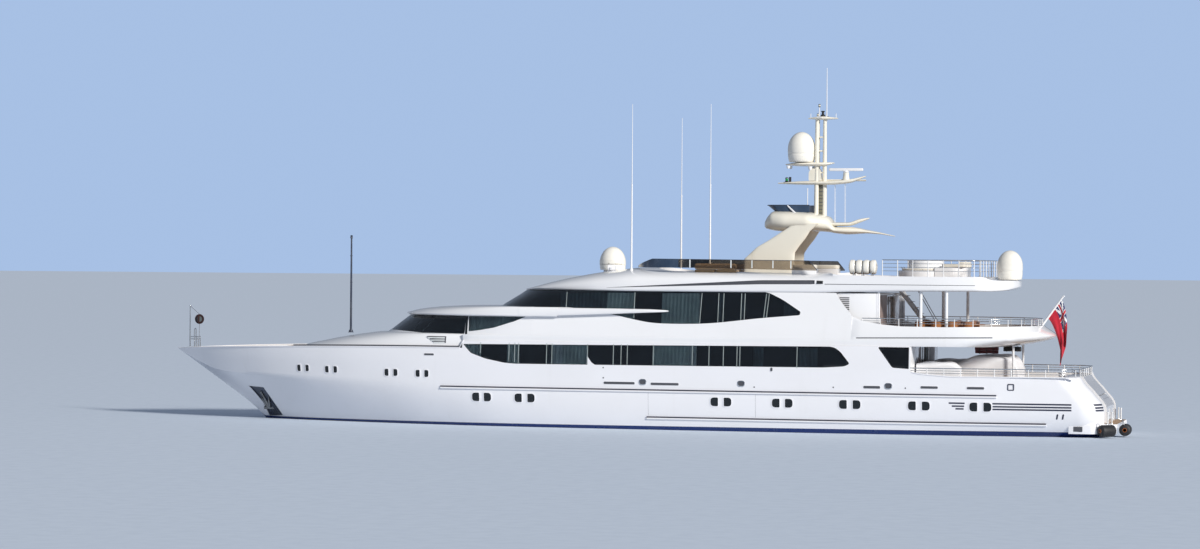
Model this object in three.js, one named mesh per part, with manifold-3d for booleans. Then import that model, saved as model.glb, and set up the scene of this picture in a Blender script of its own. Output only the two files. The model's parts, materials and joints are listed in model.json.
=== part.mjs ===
// A tri-deck motor yacht at anchor, as a 1:2 scale model.
// Millimetres of the model; +X towards the bow, +Y to port, +Z up; the origin is on the waterline amidships.
import * as THREE from "three";
import { mergeVertices } from "three/addons/utils/BufferGeometryUtils.js";
import Module from "manifold-3d";

const wasm = await Module();
wasm.setup();

// Driving dimensions.
const GAP = 0.3; // between touching pieces
const SPLIT = 1100; // main deck level, where the hull ends and the topsides begin
const FOREDECK = 1640;
const UPPER_UNDER = 2170; // underside of the upper deck
const UPPER_DECK = 2330;
const VISOR_UNDER = 2800;
const VISOR_TOP = 3040;
const ROOF_UNDER = 3460;
const SUN_DECK = 3700;
const WALL = 50; // side shell, whole wall
const GLASS = 16;
const GLASS_SET_IN = 12;
const BULWARK = 60;
const CABIN_FRONT = 4000; // where the bow block meets the topside walls
const HOUSE_FRONT = 2200; // where the forward cabin meets the upper side walls
const BOW_TIP = 12600;
const HULL_TIP = 11570;
const CORNER = 650; // stern corner, along the hull
const CORNER_IN = 700; // stern corner, athwartships
const CORNER_START = -11500;
const FAR = 3000; // further out than any side

// Hull stations. knuckle is the half-breadth at knuckleZ, top at topZ; full and fine shape the section below.
const COLUMNS = ["x", "keel", "knuckleZ", "knuckle", "full", "fine", "topZ", "top"];
const STATIONS = [
  [12600, 1790, 1800, 6, 1.0, 1.0, 1820, 12],
  [12000, 1392, 1520, 215, 1.0, 1.1, 1850, 400],
  [11300, 920, 1290, 560, 1.0, 1.2, 1880, 790],
  [10500, 360, 1215, 900, 1.0, 1.2, 1905, 1150],
  [9500, -500, 1190, 1290, 1.0, 1.1, 1930, 1500],
  [8300, -930, 1150, 1640, 1.1, 0.98, 1955, 1800],
  [6800, -1120, 1130, 1950, 1.3, 0.84, 1975, 2060],
  [5000, -1180, 1080, 2180, 1.6, 0.68, 1985, 2230],
  [3000, -1180, 990, 2290, 2.0, 0.56, 1600, 2310],
  [0, -1160, 990, 2335, 2.4, 0.47, 1600, 2340],
  [-4000, -1100, 990, 2335, 2.6, 0.43, 1600, 2340],
  [-6500, -950, 990, 2315, 2.6, 0.42, 1600, 2320],
  [-8000, -760, 990, 2290, 2.6, 0.42, 1600, 2300],
  [-9500, -540, 990, 2230, 2.6, 0.4, 1600, 2240],
  [-12200, -260, 990, 2050, 2.6, 0.36, 1600, 2060],
];
// How far the transom lies forward of its lowest step, by height.
const TRANSOM_RAKE = [
  [-700, 760],
  [-300, 300],
  [0, 100],
  [320, 0],
  [700, 20],
  [1076, 282],
  [1370, 540],
  [1617, 663],
  [2400, 900],
];

// Interpolation: a cubic through the rows of a table, and straight lines through pairs.
function smooth(rows, x, column) {
  const sign = Math.sign(rows[1][0] - rows[0][0]);
  let i = rows.findIndex((r) => sign * r[0] > sign * x);
  if (i === 0) return rows[0][column];
  if (i < 0) return rows.at(-1)[column];
  i -= 1;
  const slope = (a, b) => (rows[b][column] - rows[a][column]) / (rows[b][0] - rows[a][0]);
  const tangent = (k) => {
    if (k === 0) return slope(0, 1);
    if (k === rows.length - 1) return slope(k - 1, k);
    const [before, after] = [slope(k - 1, k), slope(k, k + 1)];
    return before * after <= 0 ? 0 : (2 * before * after) / (before + after);
  };
  const span = rows[i + 1][0] - rows[i][0];
  const t = (x - rows[i][0]) / span;
  const [p, q] = [rows[i][column], rows[i + 1][column]];
  const [a, b] = [tangent(i) * span, tangent(i + 1) * span];
  return (
    p * (2 * t ** 3 - 3 * t ** 2 + 1) + a * (t ** 3 - 2 * t ** 2 + t) +
    q * (3 * t ** 2 - 2 * t ** 3) + b * (t ** 3 - t ** 2)
  );
}
const clamp = (v, low = 0, high = 1) => Math.min(high, Math.max(low, v));
const line = (x, name) => smooth(STATIONS, x, COLUMNS.indexOf(name));
const rake = (z) => smooth(TRANSOM_RAKE, z, 1);
const tumblehome = (z) => 250 * clamp((z - 1600) / 1890) ** 1.5;

// Half-breadth of the hull and of the side above it.
function side(x, z) {
  const [keel, kneeZ, knee] = [line(x, "keel"), line(x, "knuckleZ"), line(x, "knuckle")];
  if (z <= keel) return 0;
  if (z < kneeZ) {
    const t = (z - keel) / (kneeZ - keel);
    return knee * (1 - (1 - t) ** line(x, "full")) ** line(x, "fine");
  }
  const topZ = line(x, "topZ");
  const t = clamp((z - kneeZ) / Math.max(topZ - kneeZ, 1));
  return knee + (line(x, "top") - knee) * t - tumblehome(z);
}

// Closed solids.
function solid(geometry) {
  const plain = (geometry.index ? geometry.toNonIndexed() : geometry.clone());
  plain.deleteAttribute("normal");
  plain.deleteAttribute("uv");
  const merged = mergeVertices(plain, 1e-3);
  const made = new wasm.Manifold(new wasm.Mesh({
    numProp: 3,
    vertProperties: merged.attributes.position.array,
    triVerts: new Uint32Array(merged.index.array),
  }));
  if (made.status && made.status() !== 0 && made.status() !== "NoError") throw new Error("open shape");
  return made;
}
function box(x0, x1, y0, y1, z0, z1) {
  const g = new THREE.BoxGeometry(x1 - x0, y1 - y0, z1 - z0);
  return solid(g.translate((x0 + x1) / 2, (y0 + y1) / 2, (z0 + z1) / 2));
}
// Rings of equal length joined into one skin, with flat ends. axis is the one that the end rings share.
function loft(rings, axis) {
  const n = rings[0].length;
  const points = rings.flat();
  const faces = [];
  for (let r = 0; r + 1 < rings.length; r++) {
    for (let i = 0; i < n; i++) {
      const [a, b] = [r * n + i, r * n + ((i + 1) % n)];
      faces.push([a, b, b + n], [a, b + n, a + n]);
    }
  }
  const flat = (ring) => ring.map((p) => new THREE.Vector2(...p.filter((_, k) => k !== axis)));
  const last = (rings.length - 1) * n;
  for (const [start, ring, turn] of [[0, rings[0], 1], [last, rings.at(-1), 0]]) {
    const outline = flat(ring);
    const reversed = THREE.ShapeUtils.isClockWise(outline);
    if (reversed) outline.reverse();
    for (const f of THREE.ShapeUtils.triangulateShape(outline, [])) {
      let [a, b, c] = f.map((k) => start + (reversed ? n - 1 - k : k));
      if (reversed) [b, c] = [c, b];
      faces.push(turn ? [a, c, b] : [a, b, c]);
    }
  }
  const make = (list) => {
    const g = new THREE.BufferGeometry();
    g.setAttribute("position", new THREE.Float32BufferAttribute(points.flat(), 3));
    g.setIndex(list.flat());
    return solid(g);
  };
  const made = make(faces);
  return made.volume() < 0 ? make(faces.map(([a, b, c]) => [a, c, b])) : made;
}
function shapeOf(outline) {
  return new THREE.Shape(outline.map(([a, b]) => new THREE.Vector2(a, b)));
}
// An outline in x and z, as deep as y0 to y1.
function profile(outline, y0, y1) {
  const g = new THREE.ExtrudeGeometry(shapeOf(outline), { depth: y1 - y0, bevelEnabled: false });
  return solid(g.rotateX(Math.PI / 2).translate(0, y1, 0));
}
// An outline in x and y, from z0 to z1.
function plan(outline, z0, z1) {
  const g = new THREE.ExtrudeGeometry(shapeOf(outline), { depth: z1 - z0, bevelEnabled: false });
  return solid(g.translate(0, 0, z0));
}
function rod(from, to, radius, sides = 6, endRadius = radius) {
  const [a, b] = [new THREE.Vector3(...from), new THREE.Vector3(...to)];
  const along = b.clone().sub(a);
  const g = new THREE.CylinderGeometry(endRadius, radius, along.length(), sides);
  g.translate(0, along.length() / 2, 0);
  g.applyQuaternion(new THREE.Quaternion().setFromUnitVectors(
    new THREE.Vector3(0, 1, 0), along.normalize()));
  return solid(g.translate(...from));
}
function lathe(profilePoints, x, y, z, sides = 20) {
  const g = new THREE.LatheGeometry(profilePoints.map(([r, h]) => new THREE.Vector2(r, h)), sides);
  return solid(g.rotateX(Math.PI / 2).translate(x, y, z));
}
const union = (...list) => list.flat().reduce((a, b) => a.add(b));
const mirrored = (made) => made.mirror([0, 1, 0]);
// A port edge carried on round the starboard side; a point on the centre line isn't doubled.
const around = (edge) => [...edge, ...edge.filter(([, y]) => y > 1).toReversed().map(([x, y]) => [x, -y])];
// An outline moved outwards by a distance, along the mean normal at each corner.
function grown(outline, by) {
  const turn = THREE.ShapeUtils.area(outline.map(([x, y]) => ({ x, y }))) > 0 ? 1 : -1;
  return outline.map((p, i) => {
    const [before, after] = [outline.at(i - 1), outline[(i + 1) % outline.length]];
    const normals = [[before, p], [p, after]].map(([a, b]) =>
      new THREE.Vector2(b[1] - a[1], a[0] - b[0]).normalize().multiplyScalar(turn));
    const mean = normals[0].clone().add(normals[1]).normalize();
    const reach = by / Math.max(mean.dot(normals[0]), 0.5);
    return [p[0] + mean.x * reach, p[1] + mean.y * reach];
  });
}
// Points of a rounded end in plan: side is the half-breadth, from x = start to x = end.
function roundedEnd(start, end, breadth, steps, power = 2.4) {
  return Array.from({ length: steps + 1 }, (_, i) => {
    const u = Math.sin((Math.PI / 2) * (i / steps));
    const x = start + (end - start) * u;
    return [x, Math.max(breadth(x) * (1 - u ** power) ** 0.5, i === steps ? 0 : 4)];
  });
}
// A closed ring at one height from the port points, bow first.
function ringAt(z, port) {
  const inner = port.filter(([, y]) => y > 1e-6);
  return [...port.map(([x, y]) => [x, y, z]), ...inner.toReversed().map(([x, y]) => [x, -y, z])];
}

const pieces = [];
function piece(name, made, material) {
  pieces.push({ name, made, material });
}
const paint = (color, roughness, metalness = 0, extra = {}) =>
  new THREE.MeshStandardMaterial({ color, roughness, metalness, ...extra });
const WHITE = paint(0xf1f1f4, 0.18);
const CREAM = paint(0xf3efe4, 0.3);
const TINTED = paint(0x1b2428, 0.05, 0, { transparent: true, opacity: 0.7 });
const STEEL = paint(0xc9ccd0, 0.25, 1);
const DARK_STEEL = paint(0x2b2f36, 0.35, 1);
const BLACK = paint(0x16171a, 0.5);
const BRONZE = paint(0x9a7440, 0.35, 1);
const CANVAS = paint(0xf2f0ec, 0.9);
const RED = paint(0xb8122c, 0.8);
const TEAK = paint(0x9a7048, 0.6);

// Hull: stations from the tip to the stern, the corner last.
const FORE = [0, 150, 500, 1000, 1700, 2600, 3700, 5000, 6500, 8500, 10500];
const HULL_X = [...FORE.map((d) => HULL_TIP - d), -1500, -4500, -7500, -9500, CORNER_START];
const CORNER_TURNS = [22, 45, 67, 90].map((d) => (d * Math.PI) / 180);
function sternShift(x, z) {
  return rake(z) * clamp((-9000 - x) / (-9000 - CORNER_START));
}
function hullPoint(x, turn, z, offset = 0) {
  const y = side(x, z) - offset;
  const aft = Math.max(CORNER - offset, 1) * Math.sin(turn);
  return [x + sternShift(x, z) - aft, Math.max(y - CORNER_IN * (1 - Math.cos(turn)), 2), z];
}
function hullRing(x, turn, heights, offset = 0) {
  const port = heights.map((z) => hullPoint(x, turn, z, offset));
  return [...port, ...port.toReversed().map(([a, y, z]) => [a, -y, z])];
}
function hullLoft(xs, heightsAt, offset = 0) {
  const rings = xs.map((x) => hullRing(x, 0, heightsAt(x), offset));
  if (xs.at(-1) === CORNER_START) {
    const heights = heightsAt(CORNER_START);
    for (const turn of CORNER_TURNS) rings.push(hullRing(CORNER_START, turn, heights, offset));
  }
  return loft(rings, 0);
}
const UNDERWATER = [0, 0.02, 0.07, 0.16, 0.3, 0.5, 0.75, 1];
// Heights of a station's corners; one lies level with the swim platform where the keel allows it.
const LEVEL = 5;
const underwater = (x) => {
  const keel = Math.min(line(x, "keel"), SPLIT - 40);
  const heights = UNDERWATER.map((f) => keel + (SPLIT - keel) * f);
  heights[LEVEL] = clamp(PLATFORM.high, heights[LEVEL - 1] + 5, heights[LEVEL + 1] - 5);
  return heights;
};

// The stern stairs, port; the starboard flight mirrors it.
const STAIR = { inner: 1000, outer: 1480, top: -10960, steps: 7, foot: 330, tread: 150 };
function stairWell() {
  const rise = (SPLIT - STAIR.foot) / STAIR.steps;
  const outline = [[STAIR.top + 400, SPLIT + 600], [STAIR.top + 400, SPLIT]];
  for (let i = 0; i < STAIR.steps; i++) {
    outline.push([STAIR.top - i * STAIR.tread, SPLIT - i * rise]);
    outline.push([STAIR.top - i * STAIR.tread, SPLIT - (i + 1) * rise]);
  }
  outline.push([-13000, STAIR.foot], [-13000, SPLIT + 600]);
  return profile(outline, STAIR.inner, STAIR.outer);
}
const port = (made) => made.intersect(box(-14000, 14000, 0.15, FAR, -2000, 6000));

const PROP = { x: -9150, y: 900, z: -900, radius: 310, hub: 78, blades: 5, bearing: 110 };
const RUDDER = { x: -9750, y: 900, top: -500, foot: -1200, stock: 42 };
const FIN = { x: 1200, y: 1560, z: -770, span: 430, stub: 24, slope: Math.PI / 4 };
const ENGINE = { x0: -4900, x1: -3400, y: 850, half: 380, foot: -600, high: 1000 };
const GARAGE = { half: 780, low: 400, high: 960, front: -10950, hinge: 1000, above: 6 };
const PLATFORM = { low: 90, high: 320, end: -12450 };
const PLATFORM_EDGE = [[-11300, 1950], [-11900, 1900], [-12320, 1480], [-12450, 1300]];
const ANCHOR_POCKET = [[10414, 863], [9901, 845], [9483, 85], [9965, 49], [10082, 430]];
const SEAT_TOP = 1455;
const slab = (low, high) => box(-14000, 14000, -FAR, FAR, low, high);
function hullBody(offset) {
  return hullLoft(HULL_X, underwater, offset);
}
function anchorRecess() {
  return profile(ANCHOR_POCKET, 0, FAR).subtract(hullBody(60));
}
function finAxis(hand, along) {
  return [FIN.x, hand * (FIN.y + along * Math.cos(FIN.slope)), FIN.z - along * Math.sin(FIN.slope)];
}
function buildHull() {
  const skeg = profile([[6000, -1000], [5200, -1290], [-6800, -1290], [-8200, -700]], -60, 60);
  const seat = hullLoft([-9500, CORNER_START], () => [SPLIT - 20, SPLIT + 150, SEAT_TOP])
    .intersect(box(-13000, -11080, -STAIR.inner, STAIR.inner, SPLIT - 20, SEAT_TOP));
  const rail = (z, x0, x1, out, tall) =>
    hullLoft([x0, (2 * x0 + x1) / 3, (x0 + 2 * x1) / 3, x1], () => [z - tall / 2, z, z + tall / 2], -out);
  const gear = [1, -1].flatMap((s) => [
    rod([-6000, s * PROP.y, -760], [PROP.x + 320, s * PROP.y, PROP.z + 5], 40, 8),
    rod([PROP.x + 260, s * PROP.y, PROP.z + 20], [PROP.x + 200, s * (PROP.y - 150), -420], 34, 6),
    rod([PROP.x + 260, s * PROP.y, PROP.z + 20], [PROP.x + 200, s * (PROP.y + 150), -420], 34, 6),
    rod([PROP.x + 330, s * PROP.y, PROP.z], [PROP.x + PROP.bearing, s * PROP.y, PROP.z], 72, 10),
    rod([RUDDER.x, s * RUDDER.y, RUDDER.top + GAP], [RUDDER.x, s * RUDDER.y, -380], RUDDER.stock, 8),
    rod(finAxis(s, -220), finAxis(s, FIN.stub), 62, 10),
  ]);
  const platform = plan(around(PLATFORM_EDGE), PLATFORM.low, PLATFORM.high);
  const engineRoom = box(-5900, -2700, -1400, 1400, ENGINE.foot, SPLIT + 100);
  const doorway = hullLoft([-9500, CORNER_START], () => [300, 700, 1090], -20)
    .subtract(hullLoft([-9000, CORNER_START], () => [200, 700, 1095], 60))
    .intersect(box(-13000, -11400, -GARAGE.half - 30, GARAGE.half + 30, GARAGE.low - 20,
      GARAGE.hinge + GARAGE.above));
  const garage = box(-13000, GARAGE.front, -GARAGE.half, GARAGE.half, GARAGE.low, GARAGE.high);
  const stairs = stairWell();
  const pocket = anchorRecess();
  return union(hullBody(0), skeg, seat, rail(990, 4600, -9600, 26, 44), rail(310, -850, -10770, 22, 40), gear)
    .subtract(garage).subtract(doorway).add(platform).subtract(engineRoom)
    .subtract(stairs).subtract(mirrored(stairs)).subtract(pocket).subtract(mirrored(pocket));
}
piece("hull", buildHull(), WHITE);

const JACKSTAFF = { x: 12290, foot: 1860, top: 2965 };
// The raised bow: solid up to the foredeck, with a bulwark round it.
function buildBow() {
  const xs = [BOW_TIP, 12450, 12000, 11300, 10400, 9500, 8300, 6800, 5400, CABIN_FRONT];
  const heights = (x) => {
    const top = x <= CABIN_FRONT ? 1988 : line(x, "topZ");
    const low = Math.max(SPLIT + GAP, Math.min(line(x, "keel"), top - 20));
    const knee = clamp(line(x, "knuckleZ"), low + 5, top - 10);
    return [low, knee, (knee + top) / 2, top];
  };
  const block = hullLoft(xs, heights);
  const well = hullLoft([12180, 12000, 11300, 10400, 9300], () => [FOREDECK, 1800, 2100], BULWARK);
  const boss = rod([JACKSTAFF.x, 0, 1790], [JACKSTAFF.x, 0, JACKSTAFF.foot], 40, 8);
  return block.subtract(well).add(boss);
}
piece("bow", buildBow(), WHITE);

// Topside walls: the shell round the main deck, with its windows cut.
const MAIN_WINDOW = [
  [3985, 2085], [3777, 1861], [3372, 1720], [2885, 1625], [2604, 1603], [760, 1606], [-2200, 1614],
  [-5327, 1626], [-5840, 1660], [-5978, 1725], [-5750, 2010], [-5620, 2110], [-5480, 2145], [-3000, 2130],
  [690, 2105], [2400, 2095],
];
const WINDOW_POST = [[690, 2145], [690, 1760], [560, 1590], [760, 1590], [760, 2145]];
const AFT_LIGHT = [[-6660, 2150], [-7030, 1645], [-7440, 1620], [-7440, 2150]];
const AFT_OPENING = [
  [-7470, 2400], [-7470, 1550], [-7711, 1502], [-8449, 1445], [-10500, 1455], [-13000, 1455], [-13000, 2400],
];
const WALL_X = [CABIN_FRONT - GAP, 3000, 1500, -1500, -4500, -6500, -7500, -8500, -9500, CORNER_START];
function wallLoft(offset) {
  const low = offset ? SPLIT - 100 : SPLIT + GAP;
  const high = offset ? UPPER_UNDER + 100 : UPPER_UNDER - GAP;
  const xs = offset ? [CABIN_FRONT + 100, ...WALL_X.slice(1)] : WALL_X;
  return hullLoft(xs, () => [low, 1350, 1600, 1850, high], offset);
}
function topsideWall() {
  const cut = (outline) => profile(outline, -FAR, FAR);
  const gate = box(-13000, -11000, STAIR.inner, STAIR.outer, SPLIT - 50, 2400);
  const seat = box(-13000, -10800, -STAIR.inner, STAIR.inner + 5, SPLIT - 50, 2400);
  const post = wallLoft(0).subtract(wallLoft(GLASS_SET_IN - GAP)).intersect(cut(WINDOW_POST));
  return port(wallLoft(0).subtract(wallLoft(WALL)).subtract(cut(MAIN_WINDOW)).add(post)
    .subtract(cut(AFT_LIGHT)).subtract(cut(AFT_OPENING))).subtract(gate).subtract(seat);
}
const wall = topsideWall();
piece("topside_port", wall, WHITE);
piece("topside_starboard", mirrored(wall), WHITE);

// Panes: the shell's own surface, set in a little and trimmed to the opening.
const topsideGlass = wallLoft(GLASS_SET_IN).subtract(wallLoft(GLASS_SET_IN + GLASS));
for (const [name, outline] of [["main_window", MAIN_WINDOW], ["aft_light", AFT_LIGHT]]) {
  const pane = port(topsideGlass.intersect(profile(grown(outline, -GAP), -FAR, FAR)));
  piece(`${name}_port`, pane, TINTED);
  piece(`${name}_starboard`, mirrored(pane), TINTED);
}

// Sliding doors in a bulkhead across the deck.
const SALOON = { x: -7440, half: 600, high: 1010 };
const LOUNGE = { x: -6570, half: 600, high: 1050 };

function bulkhead(place, breadth, low, high) {
  const sheet = box(place.x - 40, place.x, -breadth, breadth, low + GAP, high - GAP);
  return sheet.subtract(box(place.x - 60, place.x + 60, -place.half, place.half, low - 1, low + place.high));
}
function door(place, low, hand) {
  const leaf = box(place.x + 6, place.x + 26, 4, place.half + 40, low + 2 * GAP, low + place.high + 30);
  return hand > 0 ? leaf : mirrored(leaf);
}

// Main deck saloon bulkhead and its doors.
piece("saloon_bulkhead", bulkhead(SALOON, side(SALOON.x, 2100) - WALL - 12, SPLIT, UPPER_UNDER), WHITE);
piece("saloon_door_port", door(SALOON, SPLIT, 1), TINTED);
piece("saloon_door_starboard", door(SALOON, SPLIT, -1), TINTED);

const FOREMAST = { x: 7757, foot: 2290, top: 4858 };
// Foredeck trunk: a low dome before the forward cabin. front is the centre line's reach.
const TRUNK = [
  // z, front, half-breadth
  [1993, 8980, 2190],
  [2080, 8500, 2180],
  [2180, 8000, 2165],
  [2260, 7500, 2145],
  [2310, 7150, 2120],
  [2335, 6950, 2100],
];
const CABIN = { fore: 2300, foot: 2338, front: [[2170, 6850], [2340, 6650], [2800, 6030]] };
const CABIN_HEIGHTS = [2100, 2340, 2570, 2800, 2900];
function cabinRing(z, offset, back) {
  const front = smooth(CABIN.front, z, 1) - offset * 1.3;
  const breadth = (x) => side(Math.min(x, 4300), z) - offset;
  const start = Math.max(CABIN.fore, back + 50);
  return ringAt(z, [[back, breadth(back)], ...roundedEnd(start, front, breadth, 10)].toReversed());
}
function cabinLoft(offset, back = HOUSE_FRONT + GAP) {
  return loft(CABIN_HEIGHTS.map((z) => cabinRing(z, offset, back)), 2);
}
const cabinHollow = () => cabinLoft(WALL, HOUSE_FRONT - 100);
function buildTrunk() {
  const rings = TRUNK.map(([z, front, half]) =>
    ringAt(z, [[CABIN_FRONT, half], ...roundedEnd(CABIN_FRONT + 200, front, () => half, 12)].toReversed()));
  const boss = rod([FOREMAST.x, 0, 2100], [FOREMAST.x, 0, FOREMAST.foot], 70, 10);
  return loft(rings, 2).add(boss).subtract(cabinHollow());
}
piece("foredeck_trunk", buildTrunk(), WHITE);

// Upper deck: a slab with a bulwark that runs out into a pointed stern, chairs on it and two posts under it.
const UPPER_RINGS = [
  // z, stern, half-breadth drawn in
  [UPPER_UNDER, -9850, 40],
  [2250, -10300, 15],
  [2340, -10680, 0],
  [2440, -10790, 0],
  [2560, -10640, 5],
  [2711, -10440, 20],
  [2905, -10440, 30],
];
function upperRing(z, stern, inset, offset, front) {
  const breadth = (x) => side(x, z) - inset - offset;
  const sides = [front, 0, -3000, -6000].map((x) => [x, breadth(x)]);
  return ringAt(z, [...sides, ...roundedEnd(-8200, stern + offset, breadth, 8, 3)]);
}
const UPPER_RAIL_LINE = [
  [4100, UPPER_DECK], [-5995, UPPER_DECK], [-5995, 2903], [-6300, 2780], [-7200, 2660], [-8200, 2650],
  [-11500, 2700], [-11500, 3200], [4100, 3200],
];

const STAFF = { foot: [-10412, 0, 2670], top: [-10945, 0, 3415], radius: 20, tip: 15, socket: 2695 };
const CHAIRS = { x: [-7450, -7850, -8250, -8650], y: 620, half: 110, seat: 230, back: 450 };
const AFT_POST = { x: -9835, y: 1000, radius: 30 };
function chair(x, side) {
  const y = side * CHAIRS.y;
  const back = side * (CHAIRS.y + 80);
  return [
    box(x - CHAIRS.half, x + CHAIRS.half, y - CHAIRS.half, y + CHAIRS.half, UPPER_DECK - 10,
      UPPER_DECK + CHAIRS.seat),
    box(x - CHAIRS.half, x + CHAIRS.half, back - 20, back + 20, UPPER_DECK + CHAIRS.seat - 30,
      UPPER_DECK + CHAIRS.back),
  ];
}
function buildUpperDeck() {
  const front = CABIN_FRONT - GAP;
  const body = loft(UPPER_RINGS.map(([z, stern, inset]) => upperRing(z, stern, inset, 0, front)), 2);
  const well = loft([UPPER_DECK, 2560, 3000].map((z) => upperRing(z, -10440, 30, BULWARK, front)), 2)
    .intersect(box(-12000, -5990, -FAR, FAR, 2000, 3200));
  const stairHole = box(-600, 900, -900, -300, 2000, 2600);
  const chairs = CHAIRS.x.flatMap((x) => [...chair(x, 1), ...chair(x, -1)]);
  const posts = [1, -1].map((s) => rod([AFT_POST.x, s * AFT_POST.y, SPLIT + GAP],
    [AFT_POST.x, s * AFT_POST.y, UPPER_UNDER + 90], AFT_POST.radius, 8));
  const socket = rod([STAFF.foot[0] - 5, 0, 2600], [STAFF.foot[0] - 5, 0, STAFF.socket], 40, 8);
  return body.subtract(profile(UPPER_RAIL_LINE, -FAR, FAR)).subtract(well).subtract(stairHole)
    .add(union(chairs, posts, socket));
}
piece("upper_deck", buildUpperDeck(), WHITE);

// Forward cabin: its frame, from the trunk to the visor, and one band of glass right round it.
const CABIN_WINDOW = [[6900, 2352], [6900, 2790], [3960, 2790], [4010, 2352]];
const CABIN_LEAF = [[3880, 2790], [2345, 2790], [2656, 2667], [3183, 2505], [3910, 2400]];
function buildCabin() {
  const band = cabinLoft(0).intersect(slab(CABIN.foot, VISOR_UNDER - GAP));
  const foot = cabinLoft(0)
    .intersect(box(2000, CABIN_FRONT - 5, -FAR, FAR, UPPER_DECK + GAP, CABIN.foot + 1));
  return union(band, foot).subtract(cabinHollow())
    .subtract(profile(CABIN_WINDOW, -FAR, FAR)).subtract(profile(CABIN_LEAF, -FAR, FAR));
}
piece("forward_cabin", buildCabin(), WHITE);
const cabinSheet = cabinLoft(GLASS_SET_IN).subtract(cabinLoft(GLASS_SET_IN + GLASS, HOUSE_FRONT - 100));
piece("cabin_windows", cabinSheet.intersect(profile(grown(CABIN_WINDOW, -GAP), -FAR, FAR)), TINTED);
const leaf = port(cabinSheet.intersect(profile(grown(CABIN_LEAF, -GAP), -FAR, FAR)));
piece("cabin_leaf_port", leaf, TINTED);
piece("cabin_leaf_starboard", mirrored(leaf), TINTED);

// Visor: the deck over the forward cabin, with a wing down each side.
const VISOR_RINGS = [
  // z, front
  [VISOR_UNDER, 6080],
  [2842, 6120],
  [2940, 5750],
  [3010, 5150],
  [VISOR_TOP, 4550],
];
const VISOR_BACK = 1500;
const WING = [[2600, 2806], [2200, VISOR_UNDER], [6, 2889], [-1361, 2947], [-1361, 3010], [2600, 3022]];
function buildVisor() {
  const breadth = (x) => smooth([[6200, 2290], [3000, 2330], [0, 2330], [-1400, 2290]], x, 1);
  const rings = VISOR_RINGS.map(([z, front]) =>
    ringAt(z, [[VISOR_BACK, breadth(VISOR_BACK)], ...roundedEnd(2300, front, breadth, 10)].toReversed()));
  const outer = [[2500, breadth(2500)], [0, breadth(0)], [-900, breadth(-900)], [-1361, 2260]];
  const wings = plan([...outer, [-1361, 2150], [2500, 2150]], 2700, 3100).intersect(profile(WING, -FAR, FAR));
  return union(loft(rings, 2), wings, mirrored(wings)).subtract(houseLoft(-GAP));
}

// Upper house: side walls, a raked wheelhouse front, and one band of glass round both.
const HOUSE_AFT = -5995;
const HOUSE_NOSE = [[VISOR_TOP, 3560], [3449, 2850]];
const HOUSE_HEIGHTS = [2200, 2480, 2760, VISOR_TOP, 3250, 3460, 3600];
const houseBreadth = (z, offset) => (x) => side(Math.min(x, 2000), z) - offset;
// The flat-fronted house, at all heights.
function houseLoft(offset) {
  const front = HOUSE_FRONT - Math.max(offset, 0);
  const aft = HOUSE_AFT - offset;
  return loft(HOUSE_HEIGHTS.map((z) => {
    const breadth = houseBreadth(z, offset);
    return ringAt(z, [front, 600, -1500, aft].map((x) => [x, breadth(x)]));
  }), 2);
}
// The house with the wheelhouse's rounded front.
function noseLoft(offset) {
  return loft(HOUSE_HEIGHTS.map((z) => {
    const breadth = houseBreadth(z, offset);
    const sides = [HOUSE_AFT - offset, -1500].map((x) => [x, breadth(x)]);
    const front = smooth(HOUSE_NOSE, z, 1) - offset * 1.2;
    return ringAt(z, [...sides, ...roundedEnd(600, front, breadth, 10, 3)].toReversed());
  }), 2);
}
piece("visor", buildVisor(), WHITE);

const UPPER_WINDOW = [
  [-3797, ROOF_UNDER + 1], [-3939, 3437], [-4251, 3288], [-4715, 2991], [-4660, 2903], [-3726, 2826],
  [-2966, 2735], [-2124, 2663], [-1483, 2656], [-840, 2688], [-418, 2766], [56, 2874],
];
const HOUSE_AFT_EDGE = [
  [-5582, 3600], [-5582, 3452], [-5993, 2903], [-5993, 2000], [-7000, 2000], [-7000, 3600],
];
const SILL = [[1200, VISOR_TOP + GAP], [4000, VISOR_TOP + GAP], [4000, ROOF_UNDER + 1]];
function upperSide() {
  const hollow = houseLoft(WALL).add(box(-6300, -5900, -1900, 1900, 2200, 3600));
  return port(houseLoft(0).subtract(hollow).subtract(box(HOUSE_FRONT - 60, 3000, -FAR, FAR, 2000, 4000))
    .intersect(slab(UPPER_DECK + GAP, ROOF_UNDER - GAP))
    .subtract(profile([...UPPER_WINDOW, ...SILL], -FAR, FAR)).subtract(profile(HOUSE_AFT_EDGE, -FAR, FAR)));
}
const houseSide = upperSide();
piece("upper_side_port", houseSide, WHITE);
piece("upper_side_starboard", mirrored(houseSide), WHITE);

function buildUpperGlass() {
  const step = VISOR_TOP + GAP;
  const low = houseLoft(GLASS_SET_IN).subtract(houseLoft(GLASS_SET_IN + GLASS))
    .intersect(box(-5000, HOUSE_FRONT - 80, -FAR, FAR, 2000, step + 20));
  const high = noseLoft(GLASS_SET_IN).subtract(noseLoft(GLASS_SET_IN + GLASS))
    .intersect(box(-5000, 4000, -FAR, FAR, step, ROOF_UNDER - GAP));
  return union(low, high).intersect(profile(grown([...UPPER_WINDOW, ...SILL], -GAP), -FAR, FAR));
}
piece("upper_windows", buildUpperGlass(), TINTED);

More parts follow.
